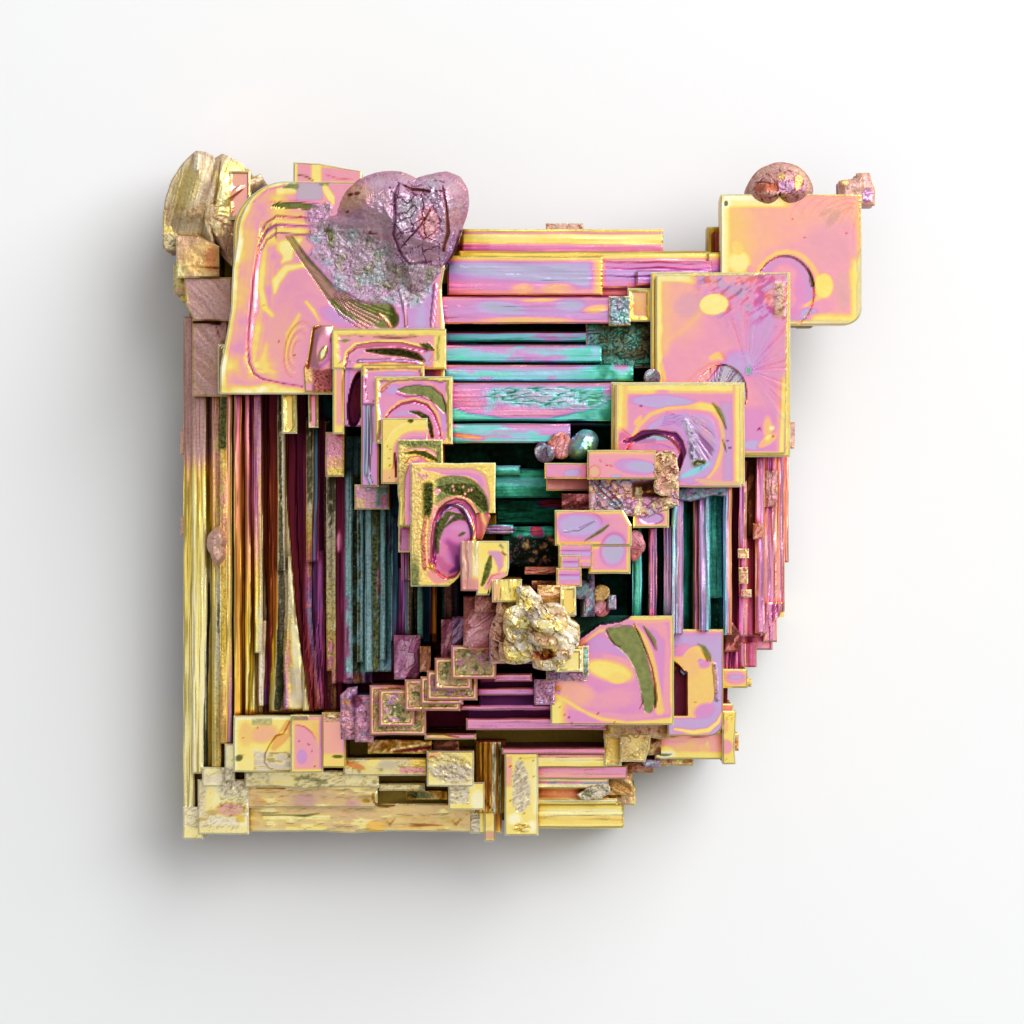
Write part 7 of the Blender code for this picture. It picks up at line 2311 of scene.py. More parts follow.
def pale_corner(face):
    x, y = face.x, face.y
    face.film = .065 + .03 * cloud(x, y, .9, 221)
    face.dull += .08
    face.spot(-21.75, -21.0, .42, .85, -15, .3, film=.12)
    face.spot(-21.3, -19.3, .5, .35, 20, .5, film=.14)
    face.spot(-21.9, -19.75, .45, .3, -10, .8, film=.05, dull=.5)
    face.area(-22.4, -21.9, -21.9, -19.9, .25, film=.10, dull=.35)
    scribbles(face, patch(face, -20.8, -18.9, -21.0, -19.0, .3), 222, turn=70)
    scribbles(face, patch(face, -23.6, -18.9, -23.3, -18.9, .5) * ease(cloud(x, y, 1.2, 220), -.1, .2) * .7,
        219, turn=20)
    scribbles(face, patch(face, -20.9, -19.0, -21.9, -21.0, .2) * .8, 223, turn=15, film=.06, dull=.2)
    face.spot(-20.2, -21.9, 1.0, .5, 0, .6, film=.34, dull=.4)
    face.put(disc(face, -21.5, -22.1, .5, .2, 0, .8) + disc(face, -22.2, -22.6, .4, .12, 0, .8), film=.16,
        dull=.5, deep=.25)
    face.area(-19.8, -19.2, -22.8, -22.3, .1, film=.18, deep=.2)
    face.put(ease(y, -22.9, -23.2), film=.10)
    crack = np.abs(cloud(x, y * 1.6, .7, 224))
    face.put(ease(crack, .03, .005), deep=.4)
    face.hem(.02)


def tan_ledge(face):
    x, y = face.x, face.y
    seam = cloud(x * .3, y, .4, 225, 4)
    face.film = .225 + .04 * seam + .06 * cloud(x, y, 1.2, 226)
    face.dull += .38 + .2 * cloud(x, y, 1.4, 227)
    face.rise += .06 * seam
    face.put(ease(seam, .18, .4), film=.10, dull=.1)
    face.put(ease(seam, -.2, -.4), deep=.15)
    face.area(-17.9, -13.2, -22.6, -22.35, .08, film=.10, dull=0)
    face.line([(-18, -22.3, .03), (-16, -22.3, .04), (-15, -22.35, .1), (-14, -22.2, .03)], film=.93,
        dull=.3, deep=.2)
    face.area(-16.3, -13.5, -23.35, -23.1, .08, film=.17, dull=0)
    face.put(ease(y, -23.2, -23.4), film=.09)
    face.spot(-10.0, -23.1, .75, .4, 0, .2, film=.24, dull=0, deep=.15)
    for px in (-9.0, -4.4):
        face.line([(px - .6, -22.6, .06), (px - .1, -22.95, .12), (px + .3, -22.6, .05)], film=.22, deep=.2)
        face.line([(px - .3, -22.6, .02), (px, -23.0, .05), (px + .3, -22.55, .02)], deep=.7)
    face.line([(-7.7, -22.9, .04), (-7.0, -23.0, .10), (-6.0, -23.0, .05), (-5.2, -22.98, .02)], film=.24,
        deep=.7)
    face.area(-8.6, -5.2, -23.3, -23.08, .06, film=.24, dull=.1)
    face.spot(-18.2, -21.4, .55, .35, 0, .7, film=.25, deep=.15)
    face.spot(-15.0, -21.3, .8, .5, 0, .9, film=.36, dull=.6)
    face.spot(-15.3, -21.7, .5, .15, -10, .5, film=.24, deep=.15)
    face.spot(-11.6, -21.5, .5, .3, 0, .7, film=.36, dull=.5)
    face.line([(-18.4, -20.42, .03), (-17.0, -20.40, .05), (-16.4, -20.44, .04)], film=.2, deep=.85)
    face.line([(-18.4, -20.7, .05), (-17.5, -20.68, .07), (-16.8, -20.7, .02)], film=.2, deep=.25)
    face.line([(-15.8, -20.7, .04), (-15.0, -20.68, .05)], film=.2, deep=.2)
    face.area(-13.3, -10.5, -20.45, -20.25, .1, film=.14, dull=0)
    face.put(disc(face, -10.7, -21.3, .3, .16) + disc(face, -10.2, -21.0, .12, .3), dull=.2, deep=.65)
    face.line([(-10.2, -21.3, .04), (-9.9, -21.6, .12), (-9.2, -21.65, .12), (-8.7, -21.6, .05)], film=.24,
        deep=.9)
    face.hem(.05)


def frosted_ledge(face):
    x, y = face.x, face.y
    face.film = .12 + .05 * cloud(x, y, .6, 228)
    face.dull += .2
    scribbles(face, .7 * ease(cloud(x, y, 1.0, 229), -.35, .1), 230, turn=5, film=.07, dull=.4)
    face.put(ease(cloud(x * .5, y, .4, 231), .22, .4) * .7, film=-.06, dull=.4, deep=.1)
    face.area(-18.6, -16.0, -19.8, -19.3, .2, film=.08)
    face.spot(-11.5, -18.85, .75, .22, -15, .4, film=.30, dull=0, deep=.35)
    face.spot(-10.2, -18.6, .5, .3, 0, .5, film=.15, dull=0)
    face.spot(-9.2, -18.8, .7, .3, 0, .8, film=.06, dull=.5)
    face.area(-8.35, -6.6, -19.4, -18.95, .05, film=.40, dull=.15)
    face.line([(-8.35, -18.93, .03), (-6.6, -18.93, .03)], deep=.5)
    face.area(-7.6, -6.5, -18.9, -18.3, .1, film=.19, dull=0)
    face.hem(.04)


def gully_look(face):
    """The broken ground behind the ledges, with painted shade in its hollows."""
    x, y = face.x, face.y
    rough = cloud(x, y, .5, 232, 4)
    face.film = .26 + .08 * rough
    face.grain += .5
    face.rise += .18 * rough
    face.deep += .55 * ease(rough, .25, -.2)
    face.line([(-9.0, -17.72, .05), (-7.6, -17.5, .06), (-6.1, -17.2, .05)], film=.04, deep=-.6)
    face.line([(-8.8, -17.9, .05), (-7.5, -17.72, .1), (-6.1, -17.5, .12)], film=.44, deep=.85)
    face.area(-8.2, -6.1, -17.1, -16.9, .08, film=.5, deep=.8)
    face.spot(-9.5, -18.0, .7, .14, -10, .4, film=.12, deep=-.5, dull=0)
    face.spot(-7.3, -18.0, .8, .12, 0, .5, film=.28, deep=.1)
    face.spot(-6.9, -20.9, .9, .25, 0, .8, film=-.06, dull=.3)
    face.hem(.18)


def leaf_slip(face):
    x, y = face.x, face.y
    face.film = .46 + .04 * cloud(x, y, .6, 233)
    face.line([(-6.2, -16.75, .1), (-5.5, -16.72, .12), (-5.0, -16.8, .05)], film=.17)
    face.line([(-5.4, -16.6, .03), (-4.9, -16.75, .05), (-4.2, -16.85, .03)], deep=.8)
    face.spot(-5.0, -16.9, .9, .12, -8, .5, film=.28)
    face.hem(.10)


def grey_gold_look(face):
    """Gold plate with a patch of grey frost that the flat middle of a plate grows last."""
    x, y = face.x, face.y
    face.film = .155 + .03 * cloud(x, y, .9, 234)
    scribbles(face, disc(face, -5.0, -18.9, 1.75, .95, -8, .3), 235, turn=-35, film=.12, dull=.3)
    scribbles(face, disc(face, -4.6, -19.4, 1.5, .7, -5, .4), 236, turn=-25, dull=.55)
    face.spot(-6.0, -18.1, .5, .2, film=.30, dull=.1)
    face.area(-6.5, -3.1, -20.4, -19.95, .12, film=.08)
    scribbles(face, patch(face, -4.95, -3.5, -21.5, -20.2, .15), 237, turn=10)
    face.spot(-2.9, -21.3, .45, .7, 0, .6, film=.04)
    face.line([(-3.9, -17.9, .03), (-3.2, -18.3, .03)], deep=.5)
    face.hem(.03)


def frost_oval_look(face):
    x, y = face.x, face.y
    face.film = .15 + .03 * cloud(x, y, 1.0, 238)
    face.area(-1.1, -.5, -20.3, -18.2, .2, film=.33)
    face.area(-1.1, -.5, -19.7, -19.0, .25, film=.37)
    scribbles(face, stroke(face, [(.05, -18.75, .3), (.1, -19.6, .55), (.2, -20.5, .6), (.15, -21.3, .62),
        (.1, -21.8, .35)], .12), 239, size=.2, turn=40, dull=.6)
    face.area(1.0, 1.4, -22.3, -18.3, .1, film=.09)
    face.put(disc(face, -.3, -22.6, .45, .4, 0, .8) + disc(face, .9, -23.1, .3, .4, 0, .8), film=.04)
    scribbles(face, disc(face, .2, -23.2, .6, .35, 0, .4), 240, film=.2, dull=.1)
    for px, py in ((.1, -18.35), (1.0, -18.5), (-.6, -18.9), (-.6, -21.3), (1.05, -19.6), (.35, -22.2)):
        face.spot(px, py, .12, .06, 30, deep=.65)
    face.line([(0, -18.3, .02), (.5, -18.33, .03), (1.1, -18.3, .02)], film=.2, deep=.6)
    face.line([(1.35, -18.0, .03), (1.3, -21.0, .03), (1.32, -23.6, .03)], film=.28, deep=.2)
    face.hem(.03)


POST = [(-3.2, .2, .8, .2), (-2.98, .24, .35, .2), (-2.86, .2, .8, 0), (-2.76, .22, .3, 0),
    (-2.58, .2, .75, 0), (-2.48, .25, .3, 0),
        (-2.2, .22, .6, 0), (-2.08, .26, .25, 0), (-1.9, .0, .0, 0), (-1.58, .30, .5, 0),
            (-1.45, -.03, .1, .2), (-1.2, .2, .75, .2)]


def post_look(face):
    """Upright leaves of yellow, olive and white between the two gold plates, the yellow darkened to brown by
    painted shade in the gaps.
    """
    x, y = face.x, face.y
    row = listed(x + .03 * cloud(x * .3, y, 1.2, 241), POST, .03)
    face.film = row[:, 0] + .03 * cloud(x, y * .1, .1, 242)
    face.deep = np.clip(row[:, 1] - .15 * ease(y, -19.5, -21), 0, 1)
    face.rise = -.15 * row[:, 1] + .05 * cloud(x, y * .1, .12, 243)
    face.line([(-3.1, -19.3, .03), (-2.7, -19.9, .05), (-2.4, -20.2, .03)], deep=.8)
    face.line([(-2.4, -21.3, .04), (-2.1, -21.7, .06), (-1.8, -22.0, .04)], deep=.9)
    face.put(ease(y, -17.25, -17.15), film=.40, deep=-.6)


def toe_look(face):
    x, y = face.x, face.y
    face.film = .13 + .04 * cloud(x, y, .7, 244)
    scribbles(face, patch(face, -3.5, -2.75, -23.5, -22.0, .15), 245)
    face.spot(-2.2, -22.6, .4, .6, 0, .4, film=.20)
    face.spot(-2.1, -23.7, .5, .3, 0, .5, film=.32, dull=.2)
    face.area(-1.75, -1.2, -23.4, -22.1, .05, film=.27, dull=0)
    face.hem(.02)


grow_group("front_ledges", [
    ((-23.55, -22.1, -24.0, -21.7, 6.5, 1.4), pale_corner, CLOSE),
    ((-22.5, -18.9, -23.65, -19.8, 7.2, 1.5), pale_corner, CLOSE),
    ((-22.2, -20.5, -20.3, -18.95, 8.0, 3.3), pale_corner, CLOSE),
    ((-20.6, -19.9, -19.9, -17.3, 8.6, 3.3), pale_corner, CLOSE),
    ((-19.4, -3.3, -23.5, -21.5, 6.2, 2.4), tan_ledge, dict(step=.08, along=.12,
        sides={"S": [(-19.4, 0), (-14, .05), (-12, -.08), (-9, .05), (-3.3, 0)]})),
    ((-19.3, -9.9, -21.8, -20.2, 6.9, 3.1), tan_ledge, dict(step=.08, along=.12)),
    ((-19.2, -9.8, -20.4, -19.2, 7.7, 3.9), frosted_ledge,
        dict(step=.08, along=.12, sides={"S": [(-19.2, 0), (-17, .1), (-15, -.1), (-12, .05), (-9.8, 0)]})),
    ((-12.3, -6.4, -19.55, -18.3, 8.3, 4.4), frosted_ledge, CLOSE),
    ((-10.6, -6.1, -18.0, -17.05, 9.1, 4.0), gully_look, CLOSE),
    ((-7.9, -5.0, -21.2, -20.6, 6.8, 3.2), gully_look, CLOSE),
    ((-9.8, -6.6, -20.6, -20.1, 6.9, 4.0), frosted_ledge, CLOSE),
    ((-6.6, -3.0, -17.0, -16.6, 9.9, 4.7), leaf_slip, CLOSER),
    ((-6.0, -4.2, -17.95, -17.0, 8.8, 4.7), shard_look(.34, .7, 10, .3), CLOSE),
    ((-6.45, -3.15, -20.3, -17.8, 9.7, 3.7), grey_gold_look, CLOSE),
    ((-4.95, -2.4, -21.95, -20.0, 8.6, 3.4), grey_gold_look, CLOSE),
    ((-1.0, 1.35, -23.75, -17.8, 9.8, 5.0), frost_oval_look, CLOSE),
    ((-0.8, 1.2, -23.3, -17.9, 5.4, 1.5), under_sheet, COARSE),
    ((-3.1, -0.9, -22.2, -17.1, 7.5, 3.3), post_look, dict(step=.05, along=.2)),
    ((-2.45, -1.65, -24.15, -21.6, 7.0, 1.9), toe_look, CLOSER),
    ((-3.45, -1.2, -23.6, -21.8, 6.2, 1.2), toe_look, CLOSER),
    ((4.0, 6.4, -21.15, -20.15, 8.2, 4.5), rough_look(.0, seed=246, grain=.6, lumps=.2, size=.4),
        dict(step=.08, outline=[
        (5.3, -20.65), (6.4, -20.3), (6.1, -20.15), (5.3, -20.3), (4.6, -20.6), (4.0, -20.9), (4.3, -21.1),
            (5.2, -21.15), (6.0, -21.0), (6.4, -20.8)])),
])

# %% [markdown]
# ## The middle
#
# Where the arms meet, the last of the melt froze as tumbled blocks and rough clots.

# %% Peak, core and rough blocks of the middle


def apex_look(face):
    """Milky cracked rock in slanting ledges, yellow in its hollows; along its cracks yellow film is darkened
    to brown by painted shade.
    """
    x, y, e = face.x, face.y, face.edge
    u, v = .65 * x - .76 * y, .76 * x + .65 * y
    ledge = terraces(u * .45, v, .8, 261, 2.5)
    net = cells(u * .7 + .3 * cloud(x, y, .7, 262), v + .3 * cloud(x, y, .7, 263), .95, 264)
    face.film = .01 + .03 * cloud(x, y, .8, 265)
    face.rise += .55 * ledge + .10 * cloud(x, y, .5, 260, 3) - .08 * ease(net, .12, .02) - .12 * ease(e, .25,
        0)
    face.dull += .35 + .35 * ease(cloud(x, y, 1.0, 266), -.1, .4)
    face.grain += .2
    face.put(ease(cloud(u * .4, v, .6, 258), .15, .35) * .8, film=.30, dull=.6, deep=.05)
    face.put(ease(cloud(x, y, .7, 259), .2, .35) * .8, film=.14, dull=.15)
    face.put(ease(net, .05, .01) * ease(cloud(x, y, 1.0, 267), -.2, .2), deep=.4, film=.2)
    face.spot(.1, -8.9, .75, .45, 0, .8, film=.09, dull=.1)
    face.put(disc(face, .7, -7.6, .35, .45, 0, .5) + disc(face, -.2, -11.2, .9, .4, 0, .5), film=.13, dull=.1)
    face.spot(1.75, -11.1, .8, .35, 5, .25, film=.27, deep=.4, dull=.1)
    face.line([(1.0, -10.85, .04), (1.4, -11.1, .14), (1.8, -11.35, .10), (2.6, -11.1, .05)], film=.4,
        deep=.85)
    face.line([(-.9, -9.15, .02), (.2, -9.25, .04), (1.0, -9.4, .03), (2.0, -9.7, .02)], deep=.6)
    face.line([(-1.0, -10.1, .02), (.3, -10.0, .03), (1.4, -10.5, .03), (2.6, -10.4, .02)], deep=.55)
    face.line([(1.4, -7.6, .03), (1.7, -8.3, .04), (2.4, -8.7, .04), (3.3, -9.1, .03)], film=.25, deep=.5)
    face.put(ease(x, -.3, -1.5), film=.33, dull=.5)


def gold_block_look(face):
    x, y = face.x, face.y
    face.film = .16 + .03 * cloud(x, y * .2, .2, 268)
    face.rise += .05 * cloud(x, y * .2, .2, 269)
    face.put(ease(x, -1.1, -1.5), film=.30)
    face.hem(.04, .12, .05)
    face.line([(-.35, -6.2, .03), (-.25, -6.6, .04), (-.35, -7.0, .03)], deep=.7)


def heart_look(face):
    """The green ground between the innermost steps, darkened by painted shade in its seams and in one band.
    """
    x, y = face.x, face.y
    seam = cloud(x * .14, y, .22, 271, 3)
    face.film = .85 + .04 * seam
    face.rise += .10 * seam
    face.deep += .05 + .25 * ease(seam, .1, -.3)
    face.put(ease(seam, .12, .4) * ease(y, -.5, .2), film=.80, deep=.0, dull=.15)
    face.put(ease(y, -.15, -.3) * ease(y, -2.0, -1.9), deep=.95)
    face.spot(2.6, -.4, 1.3, .35, 5, .4, film=.47, deep=.5)
    face.spot(-1.4, -2.3, 1.2, .33, 0, .15, film=.69, deep=0)
    face.spot(1.25, -2.5, .42, .62, 25, .25, film=.46, deep=.35)
    crumbs = patch(face, -.6, 2.9, -4.9, -2.8, .4)
    face.put(crumbs, film=.90, dull=.25, grain=.8, deep=.3)
    face.put(crumbs * ease(cloud(x, y, .3, 272), .15, .35), film=.04, deep=.1)
    face.put(ease(y, -4.9, -5.0), film=.40, deep=.5)


def splinter(film, deep, turn):
    return shard_look(film, deep, turn, .2)


grow_group("peak", [
    ((-2.1, 4.2, -12.0, -6.8, 22.3, 9.0), apex_look, dict(step=.08, outline=[
        (1.2, -9.6), (-1.6, -8.3), (-1.5, -7.3), (-.2, -7.2), (.1, -6.8), (1.5, -6.9), (1.7, -7.5),
            (3.2, -7.6), (3.6, -8.6), (4.2, -9.0), (4.1, -10.6), (3.3, -10.8), (3.2, -11.9), (1.0, -12.0),
                (.9, -11.5), (-1.3, -11.5), (-1.4, -10.2), (-2.1, -9.9)])),
    ((-1.9, 0.2, -7.4, -5.8, 22.6, 9.0), gold_block_look, CLOSER),
    ((-0.2, 1.5, -8.3, -6.3, 23.6, 9.9), apex_look, dict(step=.07,
        sides={"N": [(-.2, 0), (.8, 0), (1.5, -.8)]})),
    ((1.3, 3.9, -8.4, -6.2, 22.0, 9.4), splinter(.26, .45, 0), CLOSER),
    ((2.9, 4.0, -8.3, -6.3, 22.3, 9.4), plate_look(.17, .12, .15, seed=273), CLOSER),
    ((-1.1, 1.6, -11.5, -7.6, 24.0, 8.7), apex_look, dict(step=.08, outline=[
        (.2, -9.6), (-.9, -7.9), (.2, -7.6), (1.3, -7.8), (1.6, -8.8), (1.6, -10.4), (1.4, -11.4),
            (.2, -11.5), (-.8, -11.4), (-1.1, -10.6), (-.9, -9.8), (-1.1, -8.9)])),
    ((0.6, 3.2, -10.6, -7.5, 24.9, 9.8), apex_look, dict(step=.08, outline=[
        (1.9, -9.1), (1.0, -7.6), (1.7, -7.6), (2.2, -8.3), (2.9, -8.8), (3.2, -9.4), (3.1, -10.3),
            (2.4, -10.6), (1.4, -10.5), (.7, -10.2), (.7, -9.2), (.6, -8.3)])),
    ((1.0, 2.6, -9.5, -7.9, 26.0, 12.2), apex_look, dict(step=.06, outline=[
        (1.8, -8.7), (1.1, -8.1), (1.6, -7.9), (2.2, -8.4), (2.6, -8.9), (2.5, -9.4), (1.7, -9.5),
            (1.0, -9.2)])),
    ((2.3, 3.9, -11.7, -9.4, 22.6, 9.2), apex_look, dict(step=.07, outline=[
        (3.0, -10.5), (2.4, -9.5), (3.1, -9.4), (3.9, -10.2), (3.8, -10.9), (3.3, -11.6), (2.5, -11.7),
            (2.3, -10.8)])),
    ((1.0, 2.75, -11.8, -10.3, 21.4, 8.3), apex_look, CLOSER),
    ((2.6, 4.4, -12.3, -10.7, 18.9, 8.5), plate_look(.13, .09, .15, seed=274), CLOSER),
    ((-2.0, -1.0, -11.7, -9.6, 21.0, 9.0), apex_look, CLOSER),
])
grow_group("middle_blocks", [
    ((6.3, 7.8, 12.0, 14.05, 12.9, 4.9), rough_look(.78, seed=275, grain=.5, lumps=.25, spread_film=.14,
        size=.35), CLOSE),
    ((7.6, 9.3, 12.25, 14.6, 11.4, 3.3), plate_look(.30, .16, .3, seed=276), CLOSE),
    ((4.7, 9.6, 9.0, 12.3, 10.5, 3.0), rough_look(.87, seed=277, grain=.5, lumps=.3, spread_film=.14,
        size=.5), dict(step=.1)),
    ((1.4, 2.5, 2.4, 3.9, 15.2, 4.2), splinter(.74, .7, 70),
        dict(step=.07, outline=[(1.95, 3.1), (1.4, 3.8), (2.0, 3.6), (2.5, 3.1), (2.3, 2.5), (1.6, 2.4)])),
    ((2.2, 3.5, 2.6, 4.4, 14.6, 4.2), splinter(.42, .3, 60),
        dict(step=.07, outline=[(2.8, 3.4), (2.2, 4.1), (3.4, 4.4), (3.5, 3.4), (3.3, 2.7), (2.6, 2.7)])),
    ((3.0, 5.4, -1.2, 0.2, 15.6, 5.6), splinter(.46, .8, 20), CLOSE),
    ((-2.9, -0.4, -2.6, -1.95, 15.2, 6.0), heart_look, CLOSER),
    ((-1.6, 3.2, -1.9, -0.2, 11.6, 5.0), heart_look, dict(step=.09)),
    ((-1.2, 2.9, -4.9, -2.1, 14.0, 4.6), heart_look, CLOSE),
    ((0.4, 2.9, -5.45, -4.95, 18.2, 6.6), splinter(.38, .6, 8), dict(step=.06)),
    ((0.9, 2.8, -6.6, -5.9, 19.6, 7.2), splinter(.36, .7, 5), dict(step=.06)),
    ((4.3, 5.3, -8.4, -5.2, 15.8, 5.2), splinter(.76, .6, 80), CLOSER),
    ((3.9, 5.1, -7.1, -5.9, 16.6, 8.2), splinter(.74, .4, 50),
        dict(step=.07, outline=[(4.5, -6.5), (4.0, -5.9), (4.8, -6.0), (5.1, -6.6), (4.7, -7.1),
            (3.9, -7.0)])),
    ((5.2, 6.3, -7.3, -6.2, 15.6, 8.2), splinter(.22, .4, 40),
        dict(step=.07, outline=[(5.7, -6.8), (5.2, -6.6), (5.9, -6.2), (6.3, -6.4), (6.0, -7.2),
            (5.4, -7.3)])),
    ((5.0, 6.4, -8.3, -7.2, 15.0, 8.2), splinter(.44, .6, 65),
        dict(step=.07, outline=[(5.7, -7.8), (5.1, -7.3), (5.9, -7.2), (6.4, -7.7), (6.1, -8.3),
            (5.3, -8.2)])),
    ((6.2, 6.8, -7.9, -6.9, 15.2, 8.2), splinter(.73, .3, 75), CLOSER),
    ((7.8, 8.7, -4.6, -2.3, 15.8, 8.2), splinter(.50, .4, 80),
        dict(step=.07, outline=[(8.2, -3.4), (7.8, -2.4), (8.4, -2.4), (8.7, -3.0), (8.6, -4.0), (8.0, -4.6),
            (7.8, -3.8)])),
    ((8.8, 9.9, 7.8, 9.0, 13.6, 8.2), splinter(.74, .6, 30),
        dict(step=.07, outline=[(9.3, 8.4), (8.8, 8.1), (9.3, 8.9), (9.9, 8.3), (9.8, 7.9), (9.2, 7.9)])),
])
core = [
    (-17.6, 14.6, -16.2, 14.9, 5.9, 2.4), (-13.9, 11.3, -14.6, 11.9, 7.2, 5.5),
        (-9.9, 7.7, -12.4, 8.9, 8.6, 6.8),
    (-6.2, 4.9, -10.8, 4.6, 9.9, 8.2),
]


def core_look(face):
    """The heart below the walls: maroon to the west and south, green between the northern walls, and darkened
    all over by painted shade.
    """
    x, y = face.x, face.y
    face.film = .49 + .03 * cloud(x, y, 1.5, 23)
    face.put(ease(x + .3 * y, -13.0, -11.0) * ease(y, -9.5, -7.5), film=.88)
    face.put(ease(x, 13.0, 14.5), film=.44)
    face.deep += 0.65
    face.rise += .06 * cloud(x, y, .5, 24)


grow_group("core", [(b, core_look, dict(step=0.3)) for b in core])

# %% [markdown]
# ## The base
#
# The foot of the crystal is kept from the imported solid: the sheets it lies on, and
# the stepped hopper pits in its sides and underside. The rest of the copy, which the
# grown blocks replace, is cut off level. What is kept is what the copy shares with a
# large box. An exact Boolean finds it, because many faces of the solid lie in one
# plane, and cutting straight through them would leave open edges.

# %% Base sheets and pits from the solid
BASE_TOP = 4.9
WELL_BELOW = -10.0
WIDE_ENOUGH = 0.1
SAME_PLACE = 0.0000001
base = solid.copy()
base.data = solid.data.copy()
base.name = base.data.name = "base_sheets"
bpy.context.scene.collection.objects.link(base)
base.parent = None
base.matrix_world = Matrix.Identity(4)
bpy.ops.mesh.primitive_cube_add(size=1, location=(0, 0, (BASE_TOP + WELL_BELOW) / 2 * MM))
kept_space = bpy.context.object
kept_space.scale = (WIDE_ENOUGH, WIDE_ENOUGH, (BASE_TOP - WELL_BELOW) * MM)
pick(base)
bpy.ops.object.mode_set(mode="EDIT")
bpy.ops.mesh.select_all(action="SELECT")
bpy.ops.mesh.remove_doubles(threshold=SAME_PLACE)
bpy.ops.object.mode_set(mode="OBJECT")
cut = base.modifiers.new("level cut", "BOOLEAN")
cut.operation = "INTERSECT"
cut.solver = "EXACT"
cut.object = kept_space
bpy.ops.object.modifier_apply(modifier="level cut")
bpy.data.objects.remove(kept_space)
bpy.ops.object.mode_set(mode="EDIT")
bpy.ops.mesh.select_all(action="SELECT")
bpy.ops.mesh.dissolve_limited(angle_limit=math.radians(0.05))
bpy.ops.object.mode_set(mode="OBJECT")
base.data.materials.clear()
for polygon in base.data.polygons:
    polygon.use_smooth = False
level = np.array([v.co.z / MM for v in base.data.vertices])
sheet_film = 0.12 + 0.06 * np.sin(level * 2.6)
for key, value in (("film", sheet_film), ("grain", 0.15), ("deep", 0.1), ("dull", 0.1), ("leaf", 0.0)):
    base.data.attributes.new(key, "FLOAT", "POINT").data.foreach_set("value", level * 0 + value)
OXIDE_BITS["base_sheets"] = base
print("base sheets: faces", len(base.data.polygons))

# %% [markdown]
# ## A nodule
#
# A rounded clot froze near the middle. It is a fine ball, squashed and turned, with
# folds and cracks pushed into it.

# %% The rounded clot


def clot(name, centre, half, turn, film=0.4, grain=0.4, folds=0.18, size=0.9, seed=1, detail=6):
    bpy.ops.mesh.primitive_ico_sphere_add(subdivisions=detail, radius=1.0)
    obj = bpy.context.object
    obj.name = name
    mesh = obj.data
    co = points_of(mesh)
    a = math.radians(turn)
    hx, hy, hz = half
    px, py, pz = co[:, 0] * hx, co[:, 1] * hy, co[:, 2] * hz
    x = centre[0] + px * math.cos(a) - py * math.sin(a)
    y = centre[1] + px * math.sin(a) + py * math.cos(a)
    face = Canvas(x, y, np.full(len(co), 9.0))
    bump = cloud(x + 0.4 * pz, y - 0.3 * pz, size, seed, 4)
    crease = 1.0 - np.abs(cloud(x - 0.5 * pz, y + 0.5 * pz, size * 1.4, seed + 1, 3))
    face.rise = folds * (0.6 * bump - 0.8 * crease**6 - 0.3)
    face.film = film + 0.08 * bump + 0.1 * crease**8
    face.grain = np.clip(grain + 0.3 * cloud(x, y, size, seed + 2), 0, 1)
    k = 1.0 + face.rise / np.maximum(np.hypot(np.hypot(px, py), pz), 0.3)
    x, y = centre[0] + (x - centre[0]) * k, centre[1] + (y - centre[1]) * k
    X, Y = drawn(x, y, centre[2])
    Z = (centre[2] + pz * k) * MM
    mesh.vertices.foreach_set("co", np.clip(np.stack([X, Y, Z], 1), BOX_LOW, BOX_HIGH).ravel())
    coat(mesh, face)
    for polygon in mesh.polygons:
        polygon.use_smooth = True
    return obj


middle_clot = clot("middle_clots", (4.45, 3.6, 14.2), (1.3, 1.0, 1.5), 40.0, film=0.76, grain=0.2, seed=30,
    detail=5)
joined("middle_clots", [middle_clot])

# %% [markdown]
# ## Painted shade between the walls
#
# Light that reaches the floor of a slot has bounced off several coloured walls, and
# most of it has been lost. That shade is painted into the colour. How sunken each
# point lies is measured on a map of heights: from each point, how far up the
# surroundings reach in sixteen directions, and the more they hide, the darker the
# point is painted.

# %% Measure how sunken every point lies, and paint shade there
CELL = 0.15
REACH = 27.0
SIZE = int(2 * REACH / CELL)
DIRECTIONS = 16
OPEN_UP_TO = 0.34
DARKEST_PAINTED_SHADE = 0.75
heights = np.zeros((SIZE, SIZE))


def lay_down(mesh):
    """Raises the height map to the upward faces of this mesh."""
    co = points_of(mesh) * 1000
    mesh.calc_loop_triangles()
    tris = np.empty(len(mesh.loop_triangles) * 3, dtype=np.int32)
    mesh.loop_triangles.foreach_get("vertices", tris)
    a, b, c = (co[tris.reshape(-1, 3)[:, k]] for k in range(3))
    normal_z = (b[:, 0] - a[:, 0]) * (c[:, 1] - a[:, 1]) - (b[:, 1] - a[:, 1]) * (c[:, 0] - a[:, 0])
    for wa, wb in ((1 / 3, 1 / 3), (0.8, 0.1), (0.1, 0.8), (0.1, 0.1), (0.45, 0.45), (0.45, 0.1),
            (0.1, 0.45)):
        p = (a * wa + b * wb + c * (1 - wa - wb))[normal_z > 1e-9]
        i = np.clip(((p[:, 0] + REACH) / CELL).astype(int), 0, SIZE - 1)
        j = np.clip(((p[:, 1] + REACH) / CELL).astype(int), 0, SIZE - 1)
        np.maximum.at(heights, (j, i), p[:, 2])


for piece in OXIDE_BITS.values():
    lay_down(piece.data)


def sunken(co, normal):
    x = co[:, 0] + normal[:, 0] * 0.12
    y = co[:, 1] + normal[:, 1] * 0.12
    z = co[:, 2] + 0.05
    total = np.zeros(len(x))
    for k in range(DIRECTIONS):
        a = 2 * math.pi * k / DIRECTIONS
        best = np.zeros(len(x))
        for far in (0.2, 0.4, 0.65, 1.0, 1.5, 2.2, 3.2, 4.8, 7.0, 10.0):
            i = np.clip(((x + far * math.cos(a) + REACH) / CELL).astype(int), 0, SIZE - 1)
            j = np.clip(((y + far * math.sin(a) + REACH) / CELL).astype(int), 0, SIZE - 1)
            best = np.maximum(best, (heights[j, i] - z) / far)
        total += best**2 / (1 + best**2)
    return total / DIRECTIONS


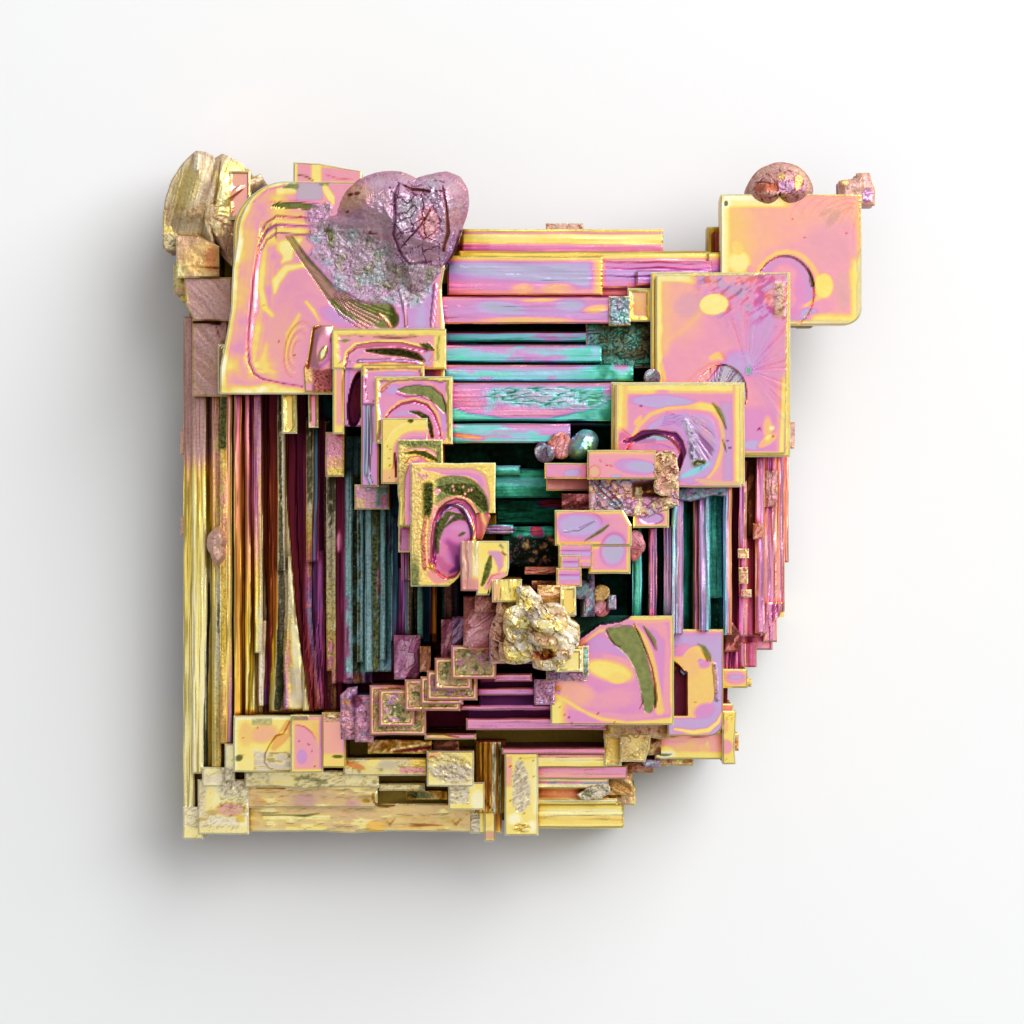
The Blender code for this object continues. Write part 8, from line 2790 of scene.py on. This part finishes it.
deepest = 0.0
for piece in OXIDE_BITS.values():
    mesh = piece.data
    hidden = sunken(points_of(mesh) * 1000, points_of(mesh, "normal"))
    deepest = max(deepest, float(np.max(hidden)))
    deep = np.empty(len(hidden))
    mesh.attributes["deep"].data.foreach_get("value", deep)
    # painted shade: the more of its surroundings hide a point, the darker its colour is painted
    deep = np.clip(deep + DARKEST_PAINTED_SHADE * ease(hidden, OPEN_UP_TO, 1.0), 0, 1)
    mesh.attributes["deep"].data.foreach_set("value", deep)
print("the most sunken point is hidden by", round(deepest, 2), "of its surroundings")

# %% [markdown]
# ## Handing the pieces over
#
# Each piece takes the oxide finish, rides on the crystal's one body and stands in for
# the solid.

# %% Finish and join to the frame
for piece in OXIDE_BITS.values():
    pick(piece)
    bpy.ops.object.mode_set(mode="EDIT")
    bpy.ops.mesh.select_all(action="SELECT")
    bpy.ops.mesh.normals_make_consistent(inside=False)
    bpy.ops.object.mode_set(mode="OBJECT")
    piece.data.materials.clear()
    piece.data.materials.append(oxide)
    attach(piece, "root")
    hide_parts("bismuth_crystal")
print("pieces:", len(OXIDE_BITS), "faces:", sum(len(p.data.polygons) for p in OXIDE_BITS.values()))

# %% [markdown]
# ## Floor, light and camera
#
# Metal shows what stands around it, so the crystal needs a bright, even room more
# than strong lamps. It lies on off-white paper in a white world, with one large soft
# light to the north-east for gentle shadows and a weaker panel overhead. The camera
# looks straight down, and its lens is worked out from the angle it has to see.

# %% Stage
floor_paint = bpy.data.materials.new("paper")
floor_paint.use_nodes = True
paper_skin = floor_paint.node_tree.nodes["Principled BSDF"]
paper_skin.inputs["Base Color"].default_value = (0.795, 0.80, 0.805, 1)
paper_skin.inputs["Roughness"].default_value = 0.9
bpy.ops.mesh.primitive_plane_add(size=1.6, location=(0, 0, 0))
floor = bpy.context.object
floor.name = "paper"
floor.data.materials.append(floor_paint)

world = bpy.data.worlds.new("soft white room")
bpy.context.scene.world = world
world.use_nodes = True
room = world.node_tree.nodes["Background"]
room.inputs["Color"].default_value = (1, 1, 1, 1)
room.inputs["Strength"].default_value = 0.31
LAMPS = (("window light", (0.37, 0.35, 0.45), 0.62, 6.6), ("panel overhead", (0.0, 0.0, 0.9), 0.75, 1.2))
for name, place, size, power in LAMPS:
    bpy.ops.object.light_add(type="AREA", location=place)
    lamp = bpy.context.object
    lamp.name = name
    lamp.data.shape = "SQUARE"
    lamp.data.size = size
    lamp.data.energy = power
    lamp.rotation_euler = (Vector((0, 0, 0)) - lamp.location).to_track_quat("-Z", "Y").to_euler()

SENSOR = 36.0
SEEN_ANGLE = 19.37
bpy.ops.object.camera_add(location=(-0.341 * MM, -1.131 * MM, CAMERA_HEIGHT * MM), rotation=(0, 0, 0))
camera = bpy.context.object
camera.data.sensor_width = SENSOR
camera.data.lens = SENSOR / 2 / math.tan(math.radians(SEEN_ANGLE / 2))
camera.data.clip_start = 0.01
bpy.context.scene.camera = camera
bpy.context.scene.view_settings.view_transform = "Standard"
